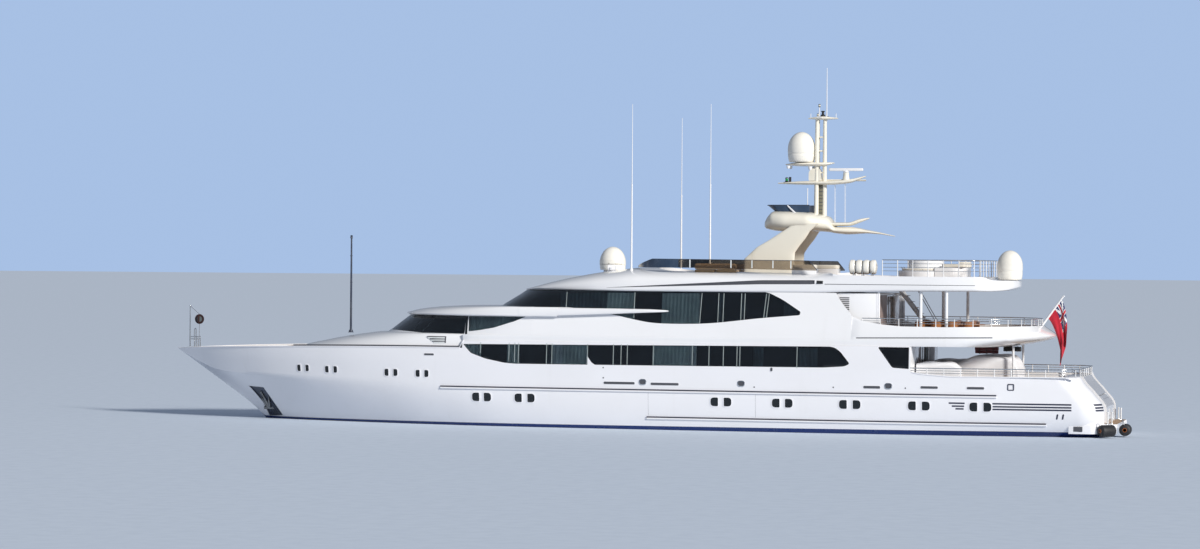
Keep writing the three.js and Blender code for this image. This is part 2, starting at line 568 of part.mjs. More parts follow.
// Lounge bulkhead at the aft end of the upper house, with a wall forward from each of its ends.
const LOUNGE_WALL = { y: 1990, thick: 40, front: -5400 };
function buildLounge() {
  const walls = box(LOUNGE.x - 1, LOUNGE_WALL.front, LOUNGE_WALL.y - LOUNGE_WALL.thick, LOUNGE_WALL.y,
    UPPER_DECK + GAP, ROOF_UNDER - GAP);
  return union(bulkhead(LOUNGE, LOUNGE_WALL.y, UPPER_DECK, ROOF_UNDER), walls, mirrored(walls));
}
piece("lounge_bulkhead", buildLounge(), WHITE);
piece("lounge_door_port", door(LOUNGE, UPPER_DECK, 1), TINTED);
piece("lounge_door_starboard", door(LOUNGE, UPPER_DECK, -1), TINTED);

// Sundeck: a slab with a domed brow, a bulwark, the posts under it and the whip aerials on it.
const SUN = [
  // x, half, under, shoulder, top
  [2900, 90, 3461, 3466, 3474],
  [2780, 640, 3460, 3475, 3500],
  [2500, 1130, 3460, 3485, 3560],
  [2000, 1540, 3460, 3500, 3690],
  [1300, 1860, 3460, 3530, 3840],
  [500, 2040, 3460, 3600, 3970],
  [-400, 2110, 3460, 3680, 4062],
  [-1900, 2115, 3460, 3700, 4062],
  [-5040, 2110, 3462, 3690, 4010],
  [-5700, 2100, 3485, 3690, 3909],
  [-7700, 2070, 3520, 3680, 3885],
  [-9000, 1900, 3528, 3680, 3885],
  [-9190, 1790, 3530, 3680, 3880],
  [-9350, 1600, 3532, 3680, 3810],
  [-9500, 1370, 3540, 3685, 3800],
  [-9650, 1080, 3560, 3690, 3800],
  [-9780, 720, 3600, 3700, 3796],
  [-9850, 400, 3630, 3705, 3792],
  [-9880, 200, 3650, 3710, 3785],
];
function sunRing([x, half, under, shoulder, top]) {
  const chamfer = Math.min(60, half * 0.3, (top - under) * 0.4);
  const half2 = Math.max(half - chamfer, half * 0.5);
  const domed = [[half * 0.93, (shoulder + top) / 2], [half * 0.72, top]];
  const crown = x > -5200 ? domed : [[half - 20, top - 20], [half - 60, top]];
  const knee = Math.min(under + chamfer, shoulder - 2);
  const outline = [[half2, under], [half, knee], [half, shoulder], ...crown];
  return [...outline.map(([y, z]) => [x, y, z]), ...outline.toReversed().map(([y, z]) => [x, -y, z])];
}
const POSTS = { x: [-7664, -8298], y: 1900 };
// The stair up to the sundeck, on the starboard side of the upper deck.
const DECK_STAIR = { top: -6610, foot: -7560, inner: -1300, outer: -1720, risers: 9, string: 110 };
const FORE_DOME = { x: 642, foot: 3990, radius: 340, high: 600 };
const STERN_DOME = { x: -9610, foot: 3820, radius: 320, high: 735 };
const WHIPS = [
  // x, y, foot, joint, top
  [-227, 1500, 3690, 6143, 8191],
  [-821, -1500, 3690, 5937, 7977],
  [-2259, 1500, 3690, 6144, 8180],
];
function buildSundeck() {
  const body = loft(SUN.map(sunRing), 0);
  const breadth = (x) => smooth(SUN, x, 1);
  const fore = roundedEnd(-1500, -700, () => 1650, 4).toReversed();
  const aft = [[-5000, 1650], [-5600, 1980], [-7700, 1960], [-8600, 1880], [-9150, 1690]];
  const outline = around([...fore, ...aft]);
  const posts = [1, -1].flatMap((s) => POSTS.x.map((x) =>
    rod([x, s * POSTS.y, UPPER_DECK + GAP], [x, s * POSTS.y, 3600], 40, 8)));
  const whips = WHIPS.flatMap(([x, y, foot, joint, top]) => [
    rod([x, y, foot], [x, y, joint], 26, 6, 20), rod([x, y, joint - 5], [x, y, top], 13, 5, 8)]);
  const plinths = [FORE_DOME, STERN_DOME].map(({ x, foot, radius }) =>
    rod([x, 0, 3690], [x, 0, foot], radius * 0.7, 16));
  const hatch = box(DECK_STAIR.foot + 200, DECK_STAIR.top, DECK_STAIR.outer - 40, DECK_STAIR.inner + 40,
    3400, 4400);
  return union(body.subtract(plan(outline, SUN_DECK, 4400)).subtract(hatch), posts, whips, plinths);
}
piece("sundeck", buildSundeck(), WHITE);

// A straight flight with closed treads on a sloping string.
function buildDeckStair() {
  const count = DECK_STAIR.risers - 1;
  const run = (DECK_STAIR.foot - DECK_STAIR.top) / count;
  const rise = (UPPER_DECK - SUN_DECK) / DECK_STAIR.risers;
  const [x0, z0] = [DECK_STAIR.top - GAP, SUN_DECK + rise];
  const outline = Array.from({ length: count }, (_, i) => [
    [x0 + run * i, z0 + rise * i], [x0 + run * (i + 1), z0 + rise * i]]).flat();
  const foot = x0 + run * count;
  outline.push([foot, UPPER_DECK + GAP], [foot + DECK_STAIR.string, UPPER_DECK + GAP],
    [x0, z0 - DECK_STAIR.string * 1.5]);
  return profile(outline, DECK_STAIR.outer, DECK_STAIR.inner);
}
piece("deck_stair", buildDeckStair(), WHITE);

// Sundeck screen: a low wall of glass round the front and sides of the sundeck.
const SCREEN = { top: 4280, front: -130, aft: -5080, half: 1960 };
const SCREEN_FOOT = [[400, 3800], [400, 4062], [-1900, 4062], [-5040, 4011], [-6000, 4011], [-6000, 3800]];
const SCREEN_TOP = [
  [400, 4400], [400, 4000], [-130, 4063], [-820, SCREEN.top], [-4880, 4257], [-5080, 4012], [-5300, 3950],
  [-5300, 4400],
];
function screenRing(z, offset) {
  const end = [SCREEN.aft - 200 - offset, SCREEN.half - offset];
  const fore = roundedEnd(-1900, SCREEN.front - offset, () => SCREEN.half - offset, 8, 3);
  return ringAt(z, [end, ...fore].toReversed());
}
function buildScreen() {
  const wall = loft([3900, 4400].map((z) => screenRing(z, 0)), 2)
    .subtract(loft([3800, 4500].map((z) => screenRing(z, GLASS)), 2));
  const under = SCREEN_FOOT.map(([x, z]) => [x, z + GAP]);
  return wall.subtract(profile(SCREEN_TOP, -FAR, FAR)).subtract(profile(under, -FAR, FAR));
}
piece("sundeck_screen", buildScreen(), TINTED);

// Mast: two raked legs, a pod across them with a blade on each level, and a column of two tubes.
const LEG = [
  [-2950, SUN_DECK + GAP], [-2950, 4290], [-3284, 4598], [-3594, 4777], [-3924, 4993], [-4250, 5200],
  [-4860, 5200], [-4640, 4998], [-4515, 4800], [-4390, 4650], [-4320, 4565], [-4260, 4460], [-4250, 4290],
  [-4250, SUN_DECK + GAP],
];
const POD = [
  // x, half, low, high
  [-3360, 60, 5110, 5190],
  [-3420, 340, 5070, 5300],
  [-3520, 520, 5045, 5440],
  [-3640, 640, 5020, 5525],
  [-4000, 730, 5000, 5530],
  [-4500, 730, 5000, 5500],
  [-4800, 620, 5005, 5440],
  [-5035, 480, 4990, 5375],
  [-5200, 390, 4962, 5125],
  [-5510, 330, 4935, 5125],
  [-5757, 270, 4947, 5105],
  [-5974, 210, 4960, 5057],
  [-6283, 130, 4945, 5000],
  [-6700, 40, 4885, 4905],
];
const UPPER_BLADE = [
  [-4900, 330, 5190, 5300], [-5200, 300, 5140, 5239], [-5507, 230, 5149, 5240], [-5818, 150, 5241, 5332],
  [-6040, 60, 5328, 5363],
];
const MAST_SCREEN = [[-3432, 5671], [-4569, 5671], [-4569, 5480], [-3680, 5480]];
// A body along x with a rounded section at each row.
function spindle(rows) {
  return loft(rows.map(([x, half, low, high]) => {
    const outline = [-1, -0.6, 0, 0.6, 1].map((v) =>
      [half * (1 - 0.55 * v * v), (low + high) / 2 + (high - low) * 0.5 * Math.sin((Math.PI / 2) * v)]);
    return [...outline.map(([y, z]) => [x, y, z]), ...outline.toReversed().map(([y, z]) => [x, -y, z])];
  }), 0);
}
const COLUMN_TOP = 7890;
const TUBES = [
  // x, y
  [-4700, 110],
  [-4700, -110],
  [-4890, 0],
];
const MAST_DOME = { x: -4290, z: 6770, radius: 350, high: 770 };
const RADAR = { x: -5440, foot: 6507, half: 440 };
function buildArch() {
  const legs = [1, -1].map((s) => profile(LEG, s > 0 ? 560 : -700, s > 0 ? 700 : -560));
  return union(legs, spindle(POD), spindle(UPPER_BLADE), profile(MAST_SCREEN, -420, 420));
}
piece("mast_arch", buildArch(), CREAM);
// Arms of the column: x, half, low and high of each row.
const ARMS = [
  [[-3698, 60, 6215, 6245], [-4500, 200, 6190, 6290], [-5000, 200, 6190, 6290], [-5500, 170, 6230, 6330],
    [-5943, 50, 6390, 6420]],
  [[-3900, 120, 6690, 6720], [-4300, 260, 6660, 6765], [-4800, 220, 6660, 6765], [-5132, 60, 6730, 6760]],
  [[-4469, 60, 7860, 7890], [-4830, 150, 7840, 7930], [-5216, 60, 7860, 7890]],
];
const MAST_POLES = [
  // x, foot, top, radius, tip radius, sides
  [-4834, 7900, 8070, 60, 60, 8],
  [-4742, 7900, 8244, 30, 30, 6],
  [-4932, 7800, 9156, 16, 8, 6],
];
const YARD = { x: -4830, half: 700, z: 7890 };
const FLOODLIGHT = { x0: -4047, x1: -3839, half: 90, low: 6240, high: 6400 };
const RADAR_BRIDGE = { aft: -5950, fore: -4600, half: 45, low: 6290, high: 6322 };
function buildColumn() {
  const tubes = TUBES.map(([x, y]) => rod([x, y, 5200], [x, y * 0.6, COLUMN_TOP], 62, 8, 45));
  const poles = MAST_POLES.map(([x, foot, top, radius, tip, sides]) =>
    rod([x, 0, foot], [x, 0, top], radius, sides, tip));
  const blocks = [
    box(RADAR_BRIDGE.aft, RADAR_BRIDGE.fore, -RADAR_BRIDGE.half, RADAR_BRIDGE.half, RADAR_BRIDGE.low,
      RADAR_BRIDGE.high),
    box(YARD.x - 30, YARD.x + 30, -YARD.half, YARD.half, YARD.z - 20, YARD.z + 20),
    box(FLOODLIGHT.x0, FLOODLIGHT.x1, -FLOODLIGHT.half, FLOODLIGHT.half, FLOODLIGHT.low, FLOODLIGHT.high),
    rod([RADAR.x, 0, 6300], [RADAR.x, 0, RADAR.foot], 90, 10),
  ];
  return union(tubes, ARMS.map(spindle), poles, blocks).subtract(mastArch.translate([0, 0, GAP]));
}
const mastArch = buildArch();
piece("mast_column", buildColumn(), CREAM);
function dome(x, y, z, radius, high) {
  const straight = high - radius * 0.8; // where the rounded crown begins
  const curve = Array.from({ length: 5 }, (_, i) => {
    const t = ((i + 1) / 5) * (Math.PI / 2);
    return [radius * Math.cos(t), straight + radius * 0.8 * Math.sin(t)];
  });
  curve[4][0] = 0;
  const foot = [[0, 0], [radius * 0.8, 0], [radius * 0.94, 90], [radius, 200]];
  return lathe([...foot, [radius, straight], ...curve], x, y, z);
}
piece("mast_dome", dome(MAST_DOME.x, 0, MAST_DOME.z - 5 + GAP, MAST_DOME.radius, MAST_DOME.high), CREAM);
piece("radar_scanner", union(
  rod([RADAR.x, 0, RADAR.foot + 2 * GAP], [RADAR.x, 0, RADAR.foot + 40], 70, 10),
  box(RADAR.x - RADAR.half, RADAR.x + RADAR.half, -45, 45, RADAR.foot + 30, RADAR.foot + 110),
), CREAM);
piece("fore_dome", dome(FORE_DOME.x, 0, FORE_DOME.foot + GAP, FORE_DOME.radius, FORE_DOME.high), CREAM);
piece("stern_dome", dome(STERN_DOME.x, 0, STERN_DOME.foot + GAP, STERN_DOME.radius, STERN_DOME.high), CREAM);

// Poles and flag.
piece("foremast", union(
  rod([FOREMAST.x, 0, FOREMAST.foot + GAP], [FOREMAST.x, 0, FOREMAST.foot + 60], 55, 10),
  rod([FOREMAST.x, 0, FOREMAST.foot + 50], [FOREMAST.x, 0, FOREMAST.top], 30, 8, 22),
), DARK_STEEL);
const BALL = { x: 12024, z: 2594, radius: 132 };
function buildJackstaff() {
  const ball = new THREE.IcosahedronGeometry(BALL.radius, 2);
  return union(
    rod([JACKSTAFF.x, 0, JACKSTAFF.foot + GAP], [JACKSTAFF.x, 0, JACKSTAFF.top], 20, 6, 14),
    [12140, 12029].map((x, i) => rod([x, 0, FOREDECK + GAP], [x, 0, [2325, 2140][i]], 16, 6)),
    rod([JACKSTAFF.x, 0, 2120], [12029, 0, 2120], 12, 6),
    rod([JACKSTAFF.x - 5, 0, 2940], [BALL.x, 0, BALL.z + 100], 6, 5),
    rod([BALL.x, 0, BALL.z], [12029, 0, 2130], 8, 5),
    solid(ball.translate(BALL.x, 0, BALL.z)),
  );
}
piece("jackstaff", buildJackstaff(), BLACK);
const staff = (extra) => rod(STAFF.foot, STAFF.top, STAFF.radius + extra, 8, STAFF.tip + extra);
piece("flagstaff", staff(0).add(rod([-10945, 0, 3405], [-10965, 0, 3440], 30, 8))
  .intersect(slab(STAFF.socket + GAP, 4000)), WHITE);
const FLAG = [
  [-10530, 2835], [-10890, 3338], [-10985, 3200], [-11060, 2600], [-10990, 1850], [-10850, 1850],
  [-10840, 2400],
];
piece("flag", profile(FLAG, -5, 5).subtract(staff(1.1 * GAP)), RED);

// Deck gear.
const RAFT = { x0: -5848, x1: -6560, y: 1790, z: 4110, radius: 180 };
function buildRaft() {
  const half = 110;
  const cradle = [-5980, -6430].map((x) =>
    box(x - 20, x + 20, RAFT.y - half, RAFT.y + half, SUN_DECK + GAP, RAFT.z - 100));
  return union(rod([RAFT.x0, RAFT.y, RAFT.z], [RAFT.x1, RAFT.y, RAFT.z], RAFT.radius, 14), cradle);
}
piece("life_raft", buildRaft(), CREAM);
// A round tub on a broad step, with a sunbed built on aft of it.
const TUB = { x: -7504, radius: 450, wall: 60, top: 4278, floor: 3820, step: 4037, stepRadius: 700 };
const SUNBED = { fore: -7800, aft: -8593, half: 650, top: 4210 };
function buildTub() {
  const disc = (low, high, radius) => rod([TUB.x, 0, low], [TUB.x, 0, high], radius, 20);
  return union(
    disc(SUN_DECK + GAP, TUB.step, TUB.stepRadius), disc(SUN_DECK + GAP, TUB.top, TUB.radius),
    box(SUNBED.aft, SUNBED.fore, -SUNBED.half, SUNBED.half, SUN_DECK + GAP, SUNBED.top),
  ).subtract(disc(TUB.floor, 5000, TUB.radius - TUB.wall));
}
piece("spa_tub", buildTub(), WHITE);
const TABLE = { x: -8100, long: 900, wide: 420, top: 375 };
function buildTable() {
  const top = new THREE.CylinderGeometry(1, 1, 30, 20).rotateX(Math.PI / 2).scale(TABLE.long, TABLE.wide, 1);
  return union(solid(top.translate(TABLE.x, 0, UPPER_DECK + TABLE.top - 15)),
    rod([TABLE.x, 0, UPPER_DECK + GAP], [TABLE.x, 0, UPPER_DECK + TABLE.top - 10], 120, 10));
}
piece("dining_table", buildTable(), TEAK);
const SOFA = [
  [-7900, SPLIT + GAP], [-7900, 1660], [-8300, 1720], [-8900, 1960], [-9500, 1955], [-9800, 1900],
  [-9929, 1640], [-9929, SPLIT + GAP],
];
piece("covered_sofa", profile(SOFA, -850, 850), CANVAS);

// Rails: a tube at each height along a line of [x, y], on posts at even steps, none at the centre line.
function rails(line, foot, heights, step, radius = 13) {
  const top = Math.max(...heights);
  const tubes = [];
  for (let i = 0; i + 1 < line.length; i++) {
    const [a, b] = [line[i], line[i + 1]];
    for (const z of heights) tubes.push(rod([...a, z], [...b, z], z < top ? radius - 4 : radius, 4));
    const count = Math.max(1, Math.round(Math.hypot(b[0] - a[0], b[1] - a[1]) / step));
    for (let k = i === 0 ? 0 : 1; k <= count; k++) {
      const [x, y] = [a[0] + ((b[0] - a[0]) * k) / count, a[1] + ((b[1] - a[1]) * k) / count];
      if (Math.abs(y) > 50) tubes.push(rod([x, y, foot(x, y) + GAP], [x, y, top + 4], radius, 4));
    }
  }
  return tubes;
}
const heightOn = (rows) => (x) => {
  const i = Math.max(1, rows.findIndex((r) => r[0] <= x));
  const [a, b] = [rows[i - 1], rows[i]];
  return a[1] + ((b[1] - a[1]) * (x - a[0])) / (b[0] - a[0]);
};

const MAIN_RAIL = { heights: [1645, 1560], across: -11500 };
function mainRail() {
  const wallTop = (x, turn = 0) => hullPoint(x, turn, 1450, WALL / 2).slice(0, 2);
  const edge = [-8460, -9200, -10000, -10700, CORNER_START].map((x) => wallTop(x));
  for (const turn of CORNER_TURNS.slice(0, 3)) edge.push(wallTop(CORNER_START, turn));
  edge.push([MAIN_RAIL.across, STAIR.inner - 60]);
  const [top] = MAIN_RAIL.heights;
  const [[x, y], fore] = [edge[0], wallTop(-7471)];
  const lead = [1, -1].map((s) => rod([fore[0], s * fore[1], top], [x, s * y, top], 13, 6));
  return union(rails(around(edge), heightOn(AFT_OPENING.slice(1, -1)), MAIN_RAIL.heights, 620), lead);
}
piece("main_rail", mainRail(), STEEL);
function upperRail() {
  const breadth = (x) => side(x, 2690) - 54;
  const edge = [[-7240, breadth(-7240)], ...roundedEnd(-8200, -10420, breadth, 8, 3)];
  return union(rails(around(edge), heightOn(UPPER_RAIL_LINE.slice(2, -2)), [2850, 2770], 700));
}
piece("upper_rail", upperRail(), STEEL);
const SUN_RAIL = { heights: [4290, 4160, 4030], cross: -9080 };
function sundeckRail() {
  const edge = [[-6720, 2010], [-7700, 2000], [-8950, 1840]];
  const top = heightOn(SUN.slice(9).map(([x, , , , z]) => [x, z]));
  const inboard = [SUN_RAIL.cross, 1500];
  const foot = (x, y) => (Math.abs(y) < 1600 ? SUN_DECK : top(x));
  return union(rails(around([...edge, inboard]), foot, SUN_RAIL.heights, 640));
}
piece("sundeck_rail", sundeckRail(), STEEL);

// Machinery: plain engines, five-bladed propellers, spade rudders and stabiliser fins.
const BLADE = [
  // radius, half chord, pitch angle, half thickness
  [50, 95, 1.0, 34],
  [170, 150, 0.72, 22],
  [260, 140, 0.55, 14],
  [PROP.radius, 70, 0.45, 8],
];
function buildPropeller(hand) {
  const y = hand * PROP.y;
  const blade = loft(BLADE.map(([r, chord, pitch, thick]) =>
    [[1, 0], [0, 1], [-1, 0], [0, -1]].map(([c, t]) => [
      c * chord * Math.cos(pitch) - t * thick * Math.sin(pitch),
      c * chord * Math.sin(pitch) + t * thick * Math.cos(pitch), r])), 2);
  const blades = Array.from({ length: PROP.blades }, (_, i) => blade.rotate([(360 / PROP.blades) * i, 0, 0]));
  const turned = hand > 0 ? union(blades) : mirrored(union(blades));
  return turned.translate([PROP.x, y, PROP.z])
    .add(rod([PROP.x + PROP.bearing - GAP, y, PROP.z], [PROP.x - 130, y, PROP.z], PROP.hub, 10, 40));
}
function buildRudder(hand) {
  const y = hand * RUDDER.y;
  const foil = [[200, 0], [120, 42], [-60, 46], [-420, 5], [-420, -5], [-60, -46], [120, -42]];
  return plan(foil.map(([x, t]) => [RUDDER.x + x, y + t]), RUDDER.foot, RUDDER.top);
}
function buildFin(hand) {
  const ring = (along, chord, half) => [[chord * 0.45, 0], [0, half], [-chord * 0.55, 0], [0, -half]]
    .map(([c, t]) => [FIN.x + c, t, along]);
  return loft([ring(FIN.stub + 2 * GAP, 620, 34), ring(FIN.span, 480, 22)], 2)
    .rotate([hand > 0 ? -135 : 135, 0, 0]).translate([0, hand * FIN.y, FIN.z]);
}
for (const [hand, word] of [[1, "port"], [-1, "starboard"]]) {
  const y = hand * ENGINE.y;
  piece(`engine_${word}`, box(ENGINE.x0, ENGINE.x1, y - ENGINE.half, y + ENGINE.half,
    ENGINE.foot + GAP, ENGINE.foot + ENGINE.high), DARK_STEEL);
  piece(`propeller_${word}`, buildPropeller(hand), BRONZE);
  piece(`rudder_${word}`, buildRudder(hand), DARK_STEEL);
  piece(`fin_${word}`, buildFin(hand), DARK_STEEL);
}

// Anchor housed flat on a steel plate in its pocket: a shank, a crown bar and two flukes.
const ANCHOR = [
  // from x, z, to x, z, radius, tip radius
  [10050, 740, 9900, 300, 26, 34],
  [9765, 270, 10045, 290, 34, 34],
  [9790, 280, 9800, 590, 42, 12],
  [10010, 290, 10150, 560, 42, 12],
];
function buildAnchor() {
  const housed = (x, z) => [x, side(x, z) - 25, z];
  const bars = ANCHOR.map(([x0, z0, x1, z1, radius, tip]) =>
    rod(housed(x0, z0), housed(x1, z1), radius, 8, tip));
  return profile(grown(ANCHOR_POCKET, -GAP), 0, FAR).intersect(union(hullBody(30), bars))
    .subtract(hullBody(60 - GAP));
}
const anchor = buildAnchor();
piece("anchor_port", anchor, STEEL);
piece("anchor_starboard", mirrored(anchor), STEEL);

// Stern door and fenders.
const DOOR_HEIGHTS = [300, 700, 1090];
function buildTransomDoor() {
  const half = GARAGE.half + 20;
  const sheet = hullLoft([-9500, CORNER_START], () => DOOR_HEIGHTS, 2)
    .subtract(hullLoft([-9500, CORNER_START], () => [200, 700, 1095], 45))
    .intersect(box(-13000, -11400, -half, half, GARAGE.low - 12, GARAGE.hinge));
  const [, lowZ, highZ] = DOOR_HEIGHTS;
  const [low, high] = [lowZ, highZ].map((z) => hullPoint(CORNER_START, Math.PI / 2, z, 2)[0]);
  const x = low + ((high - low) * (GARAGE.hinge - lowZ)) / (highZ - lowZ);
  return sheet.add(rod([x, -half, GARAGE.hinge], [x, half, GARAGE.hinge], GARAGE.above - GAP, 12));
}
piece("transom_door", buildTransomDoor(), WHITE);
const FENDER = { radius: 145, z: 175, long: 420 };
function fender(x, y, turn) {
  const [dx, dy] = [(Math.cos(turn) * FENDER.long) / 2, (Math.sin(turn) * FENDER.long) / 2];
  return rod([x - dx, y - dy, FENDER.z], [x + dx, y + dy, FENDER.z], FENDER.radius, 16);
}
const away = FENDER.radius + GAP;
piece("fender_port", fender(-12110 - away * Math.SQRT1_2, 1690 + away * Math.SQRT1_2, Math.PI / 4), BLACK);
piece("fender_stern", fender(PLATFORM.end - away, 1050, Math.PI / 2), BLACK);

const group = new THREE.Group();
for (const { name, made, material } of pieces) {
  const mesh = made.getMesh();
  const count = mesh.numProp;
  const positions = new Float32Array(mesh.numVert * 3);
  for (let i = 0; i < mesh.numVert; i++) {
    positions.set(mesh.vertProperties.subarray(i * count, i * count + 3), i * 3);
  }
  const geometry = new THREE.BufferGeometry();
  geometry.setAttribute("position", new THREE.BufferAttribute(positions, 3));
  geometry.setIndex(new THREE.BufferAttribute(mesh.triVerts, 1));
  geometry.computeVertexNormals();
  const shown = new THREE.Mesh(geometry, material);
  shown.name = name;
  group.add(shown);
}
export default group;
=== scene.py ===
# The finished surfaces of a tri-deck motor yacht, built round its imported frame.
# Metres of the 1:2 model; +X towards the bow, +Y to port, +Z up; the origin is on the waterline amidships.
import bisect
import functools
import json
from math import asin, atan, copysign, cos, dist, pi, radians, sin, sqrt
from types import SimpleNamespace as Sizes

import bmesh
import bpy
from mathutils import Matrix, Vector


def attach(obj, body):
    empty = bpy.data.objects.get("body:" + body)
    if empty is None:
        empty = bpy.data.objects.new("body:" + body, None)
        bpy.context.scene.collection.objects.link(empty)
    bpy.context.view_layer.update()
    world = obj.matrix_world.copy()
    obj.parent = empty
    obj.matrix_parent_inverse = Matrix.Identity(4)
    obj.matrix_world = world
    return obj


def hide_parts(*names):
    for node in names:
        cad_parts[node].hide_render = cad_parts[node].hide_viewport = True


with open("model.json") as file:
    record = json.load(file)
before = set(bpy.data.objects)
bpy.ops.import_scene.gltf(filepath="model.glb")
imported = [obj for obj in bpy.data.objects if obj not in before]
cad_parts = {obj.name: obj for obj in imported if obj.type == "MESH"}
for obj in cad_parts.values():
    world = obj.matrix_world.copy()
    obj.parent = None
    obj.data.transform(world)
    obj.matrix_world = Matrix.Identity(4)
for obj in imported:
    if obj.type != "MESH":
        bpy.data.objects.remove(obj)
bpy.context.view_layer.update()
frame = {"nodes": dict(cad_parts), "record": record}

# Driving dimensions, as in the frame.
MAIN_DECK = 1.1
FOREDECK = 1.64
UPPER_UNDER = 2.17
UPPER_DECK = 2.33
VISOR_UNDER = 2.8
ROOF_UNDER = 3.46
SUN_DECK = 3.7
WALL = 0.05
BULWARK = 0.06
GLASS = 0.012
GLASS_SET_IN = 0.012
CABIN_FRONT = 4.0
HOUSE_FRONT = 2.2
HOUSE_AFT = -5.995
CORNER = 0.65
CORNER_IN = 0.7
CORNER_START = -11.5
FAR = 3.2  # beyond any side
GAP = 0.0005  # left between two seated faces
HANDS = (("port", 1), ("starboard", -1))
SKIN = 0.002  # a finish laid on a surface stands this far off it
DECKING = 0.008

# Hull stations. knuckle is the half-breadth at knuckleZ, top at topZ; full and fine shape the section below.
COLUMNS = ["x", "keel", "knuckleZ", "knuckle", "full", "fine", "topZ", "top"]
STATIONS = [
    [12.6, 1.79, 1.8, 0.006, 1.0, 1.0, 1.82, 0.012],
    [12.0, 1.392, 1.52, 0.215, 1.0, 1.1, 1.85, 0.4],
    [11.3, 0.92, 1.29, 0.56, 1.0, 1.2, 1.88, 0.79],
    [10.5, 0.36, 1.215, 0.9, 1.0, 1.2, 1.905, 1.15],
    [9.5, -0.5, 1.19, 1.29, 1.0, 1.1, 1.93, 1.5],
    [8.3, -0.93, 1.15, 1.64, 1.1, 0.98, 1.955, 1.8],
    [6.8, -1.12, 1.13, 1.95, 1.3, 0.84, 1.975, 2.06],
    [5.0, -1.18, 1.08, 2.18, 1.6, 0.68, 1.985, 2.23],
    [3.0, -1.18, 0.99, 2.29, 2.0, 0.56, 1.6, 2.31],
    [0, -1.16, 0.99, 2.335, 2.4, 0.47, 1.6, 2.34],
    [-4.0, -1.1, 0.99, 2.335, 2.6, 0.43, 1.6, 2.34],
    [-6.5, -0.95, 0.99, 2.315, 2.6, 0.42, 1.6, 2.32],
    [-8.0, -0.76, 0.99, 2.29, 2.6, 0.42, 1.6, 2.3],
    [-9.5, -0.54, 0.99, 2.23, 2.6, 0.4, 1.6, 2.24],
    [-12.2, -0.26, 0.99, 2.05, 2.6, 0.36, 1.6, 2.06],
]
# How far the transom lies forward of its lowest step, by height.
TRANSOM_RAKE = [
    [-0.7, 0.76], [-0.3, 0.3], [0, 0.1], [0.32, 0], [0.7, 0.02], [1.076, 0.282], [1.37, 0.54],
    [1.617, 0.663], [2.4, 0.9],
]


def smooth(rows, x, column):
    """A column of a table at x, the first column, on a cubic that never overshoots."""
    if rows[0][0] > rows[-1][0]:
        rows = rows[::-1]
    places = [row[0] for row in rows]
    if x <= places[0]:
        return rows[0][column]
    if x >= places[-1]:
        return rows[-1][column]
    i = bisect.bisect_right(places, x) - 1

    def slope(k):
        return (rows[k + 1][column] - rows[k][column]) / (places[k + 1] - places[k])

    def tangent(k):
        before = slope(max(k - 1, 0))
        after = slope(min(k, len(rows) - 2))
        return 0 if before * after <= 0 else 2 * before * after / (before + after)

    span = places[i + 1] - places[i]
    t = (x - places[i]) / span
    p, q = rows[i][column], rows[i + 1][column]
    a, b = tangent(i) * span, tangent(i + 1) * span
    return (
        p * (2 * t**3 - 3 * t**2 + 1) + a * (t**3 - 2 * t**2 + t)
        + q * (3 * t**2 - 2 * t**3) + b * (t**3 - t**2)
    )


def straight(rows, x, column=1):
    """A column of a table at x, on straight lines."""
    if rows[0][0] > rows[-1][0]:
        rows = rows[::-1]
    for a, b in zip(rows, rows[1:]):
        if x <= b[0]:
            t = min(max((x - a[0]) / max(b[0] - a[0], 1e-9), 0), 1)
            return a[column] + (b[column] - a[column]) * t
    return rows[-1][column]


def steps(start, end, count):
    return [start + (end - start) * k / count for k in range(count + 1)]


def clamp(v, low=0.0, high=1.0):
    return min(high, max(low, v))


def circle(count):
    """The angles of so many points round a circle."""
    return [2 * pi * i / count for i in range(count)]


def swell(v, power):
    """A sine or cosine made blunter, so that a circle turns into a softened square."""
    return copysign(abs(v) ** power, v)


def block(x0, x1, z0, z1):
    """The four corners of an upright oblong."""
    return [(x0, z0), (x1, z0), (x1, z1), (x0, z1)]


def square(x, z, half):
    return block(x - half, x + half, z - half, z + half)


def drum(radius, low, high):
    """A plain cylinder's outline for the lathe."""
    return [(0.0, low), (radius, low), (radius, high), (0.0, high)]


@functools.lru_cache(None)
def line(x, name):
    return smooth(STATIONS, x, COLUMNS.index(name))


@functools.lru_cache(None)
def rake(z):
    return smooth(TRANSOM_RAKE, z, 1)


@functools.lru_cache(None)
def side(x, z):
    """Half-breadth of the hull and of the side above it."""
    keel, knee_z, knee = line(x, "keel"), line(x, "knuckleZ"), line(x, "knuckle")
    if z <= keel:
        return 0.0
    if z < knee_z:
        t = (z - keel) / (knee_z - keel)
        return knee * (1 - (1 - t) ** line(x, "full")) ** line(x, "fine")
    t = clamp((z - knee_z) / max(line(x, "topZ") - knee_z, 0.001))
    tumblehome = 0.25 * clamp((z - 1.6) / 1.89) ** 1.5
    return knee + (line(x, "top") - knee) * t - tumblehome


def hull_point(x, turn, z, offset=0.0):
    """A point of the port skin: x along the side, then turn round the stern corner."""
    shift = rake(z) * clamp((-9.0 - x) / (-9.0 - CORNER_START))
    aft = max(CORNER - offset, 0.001) * sin(turn)
    y = side(x, z) - offset - CORNER_IN * (1 - cos(turn))
    return (x + shift - aft, max(y, 0.0), z)


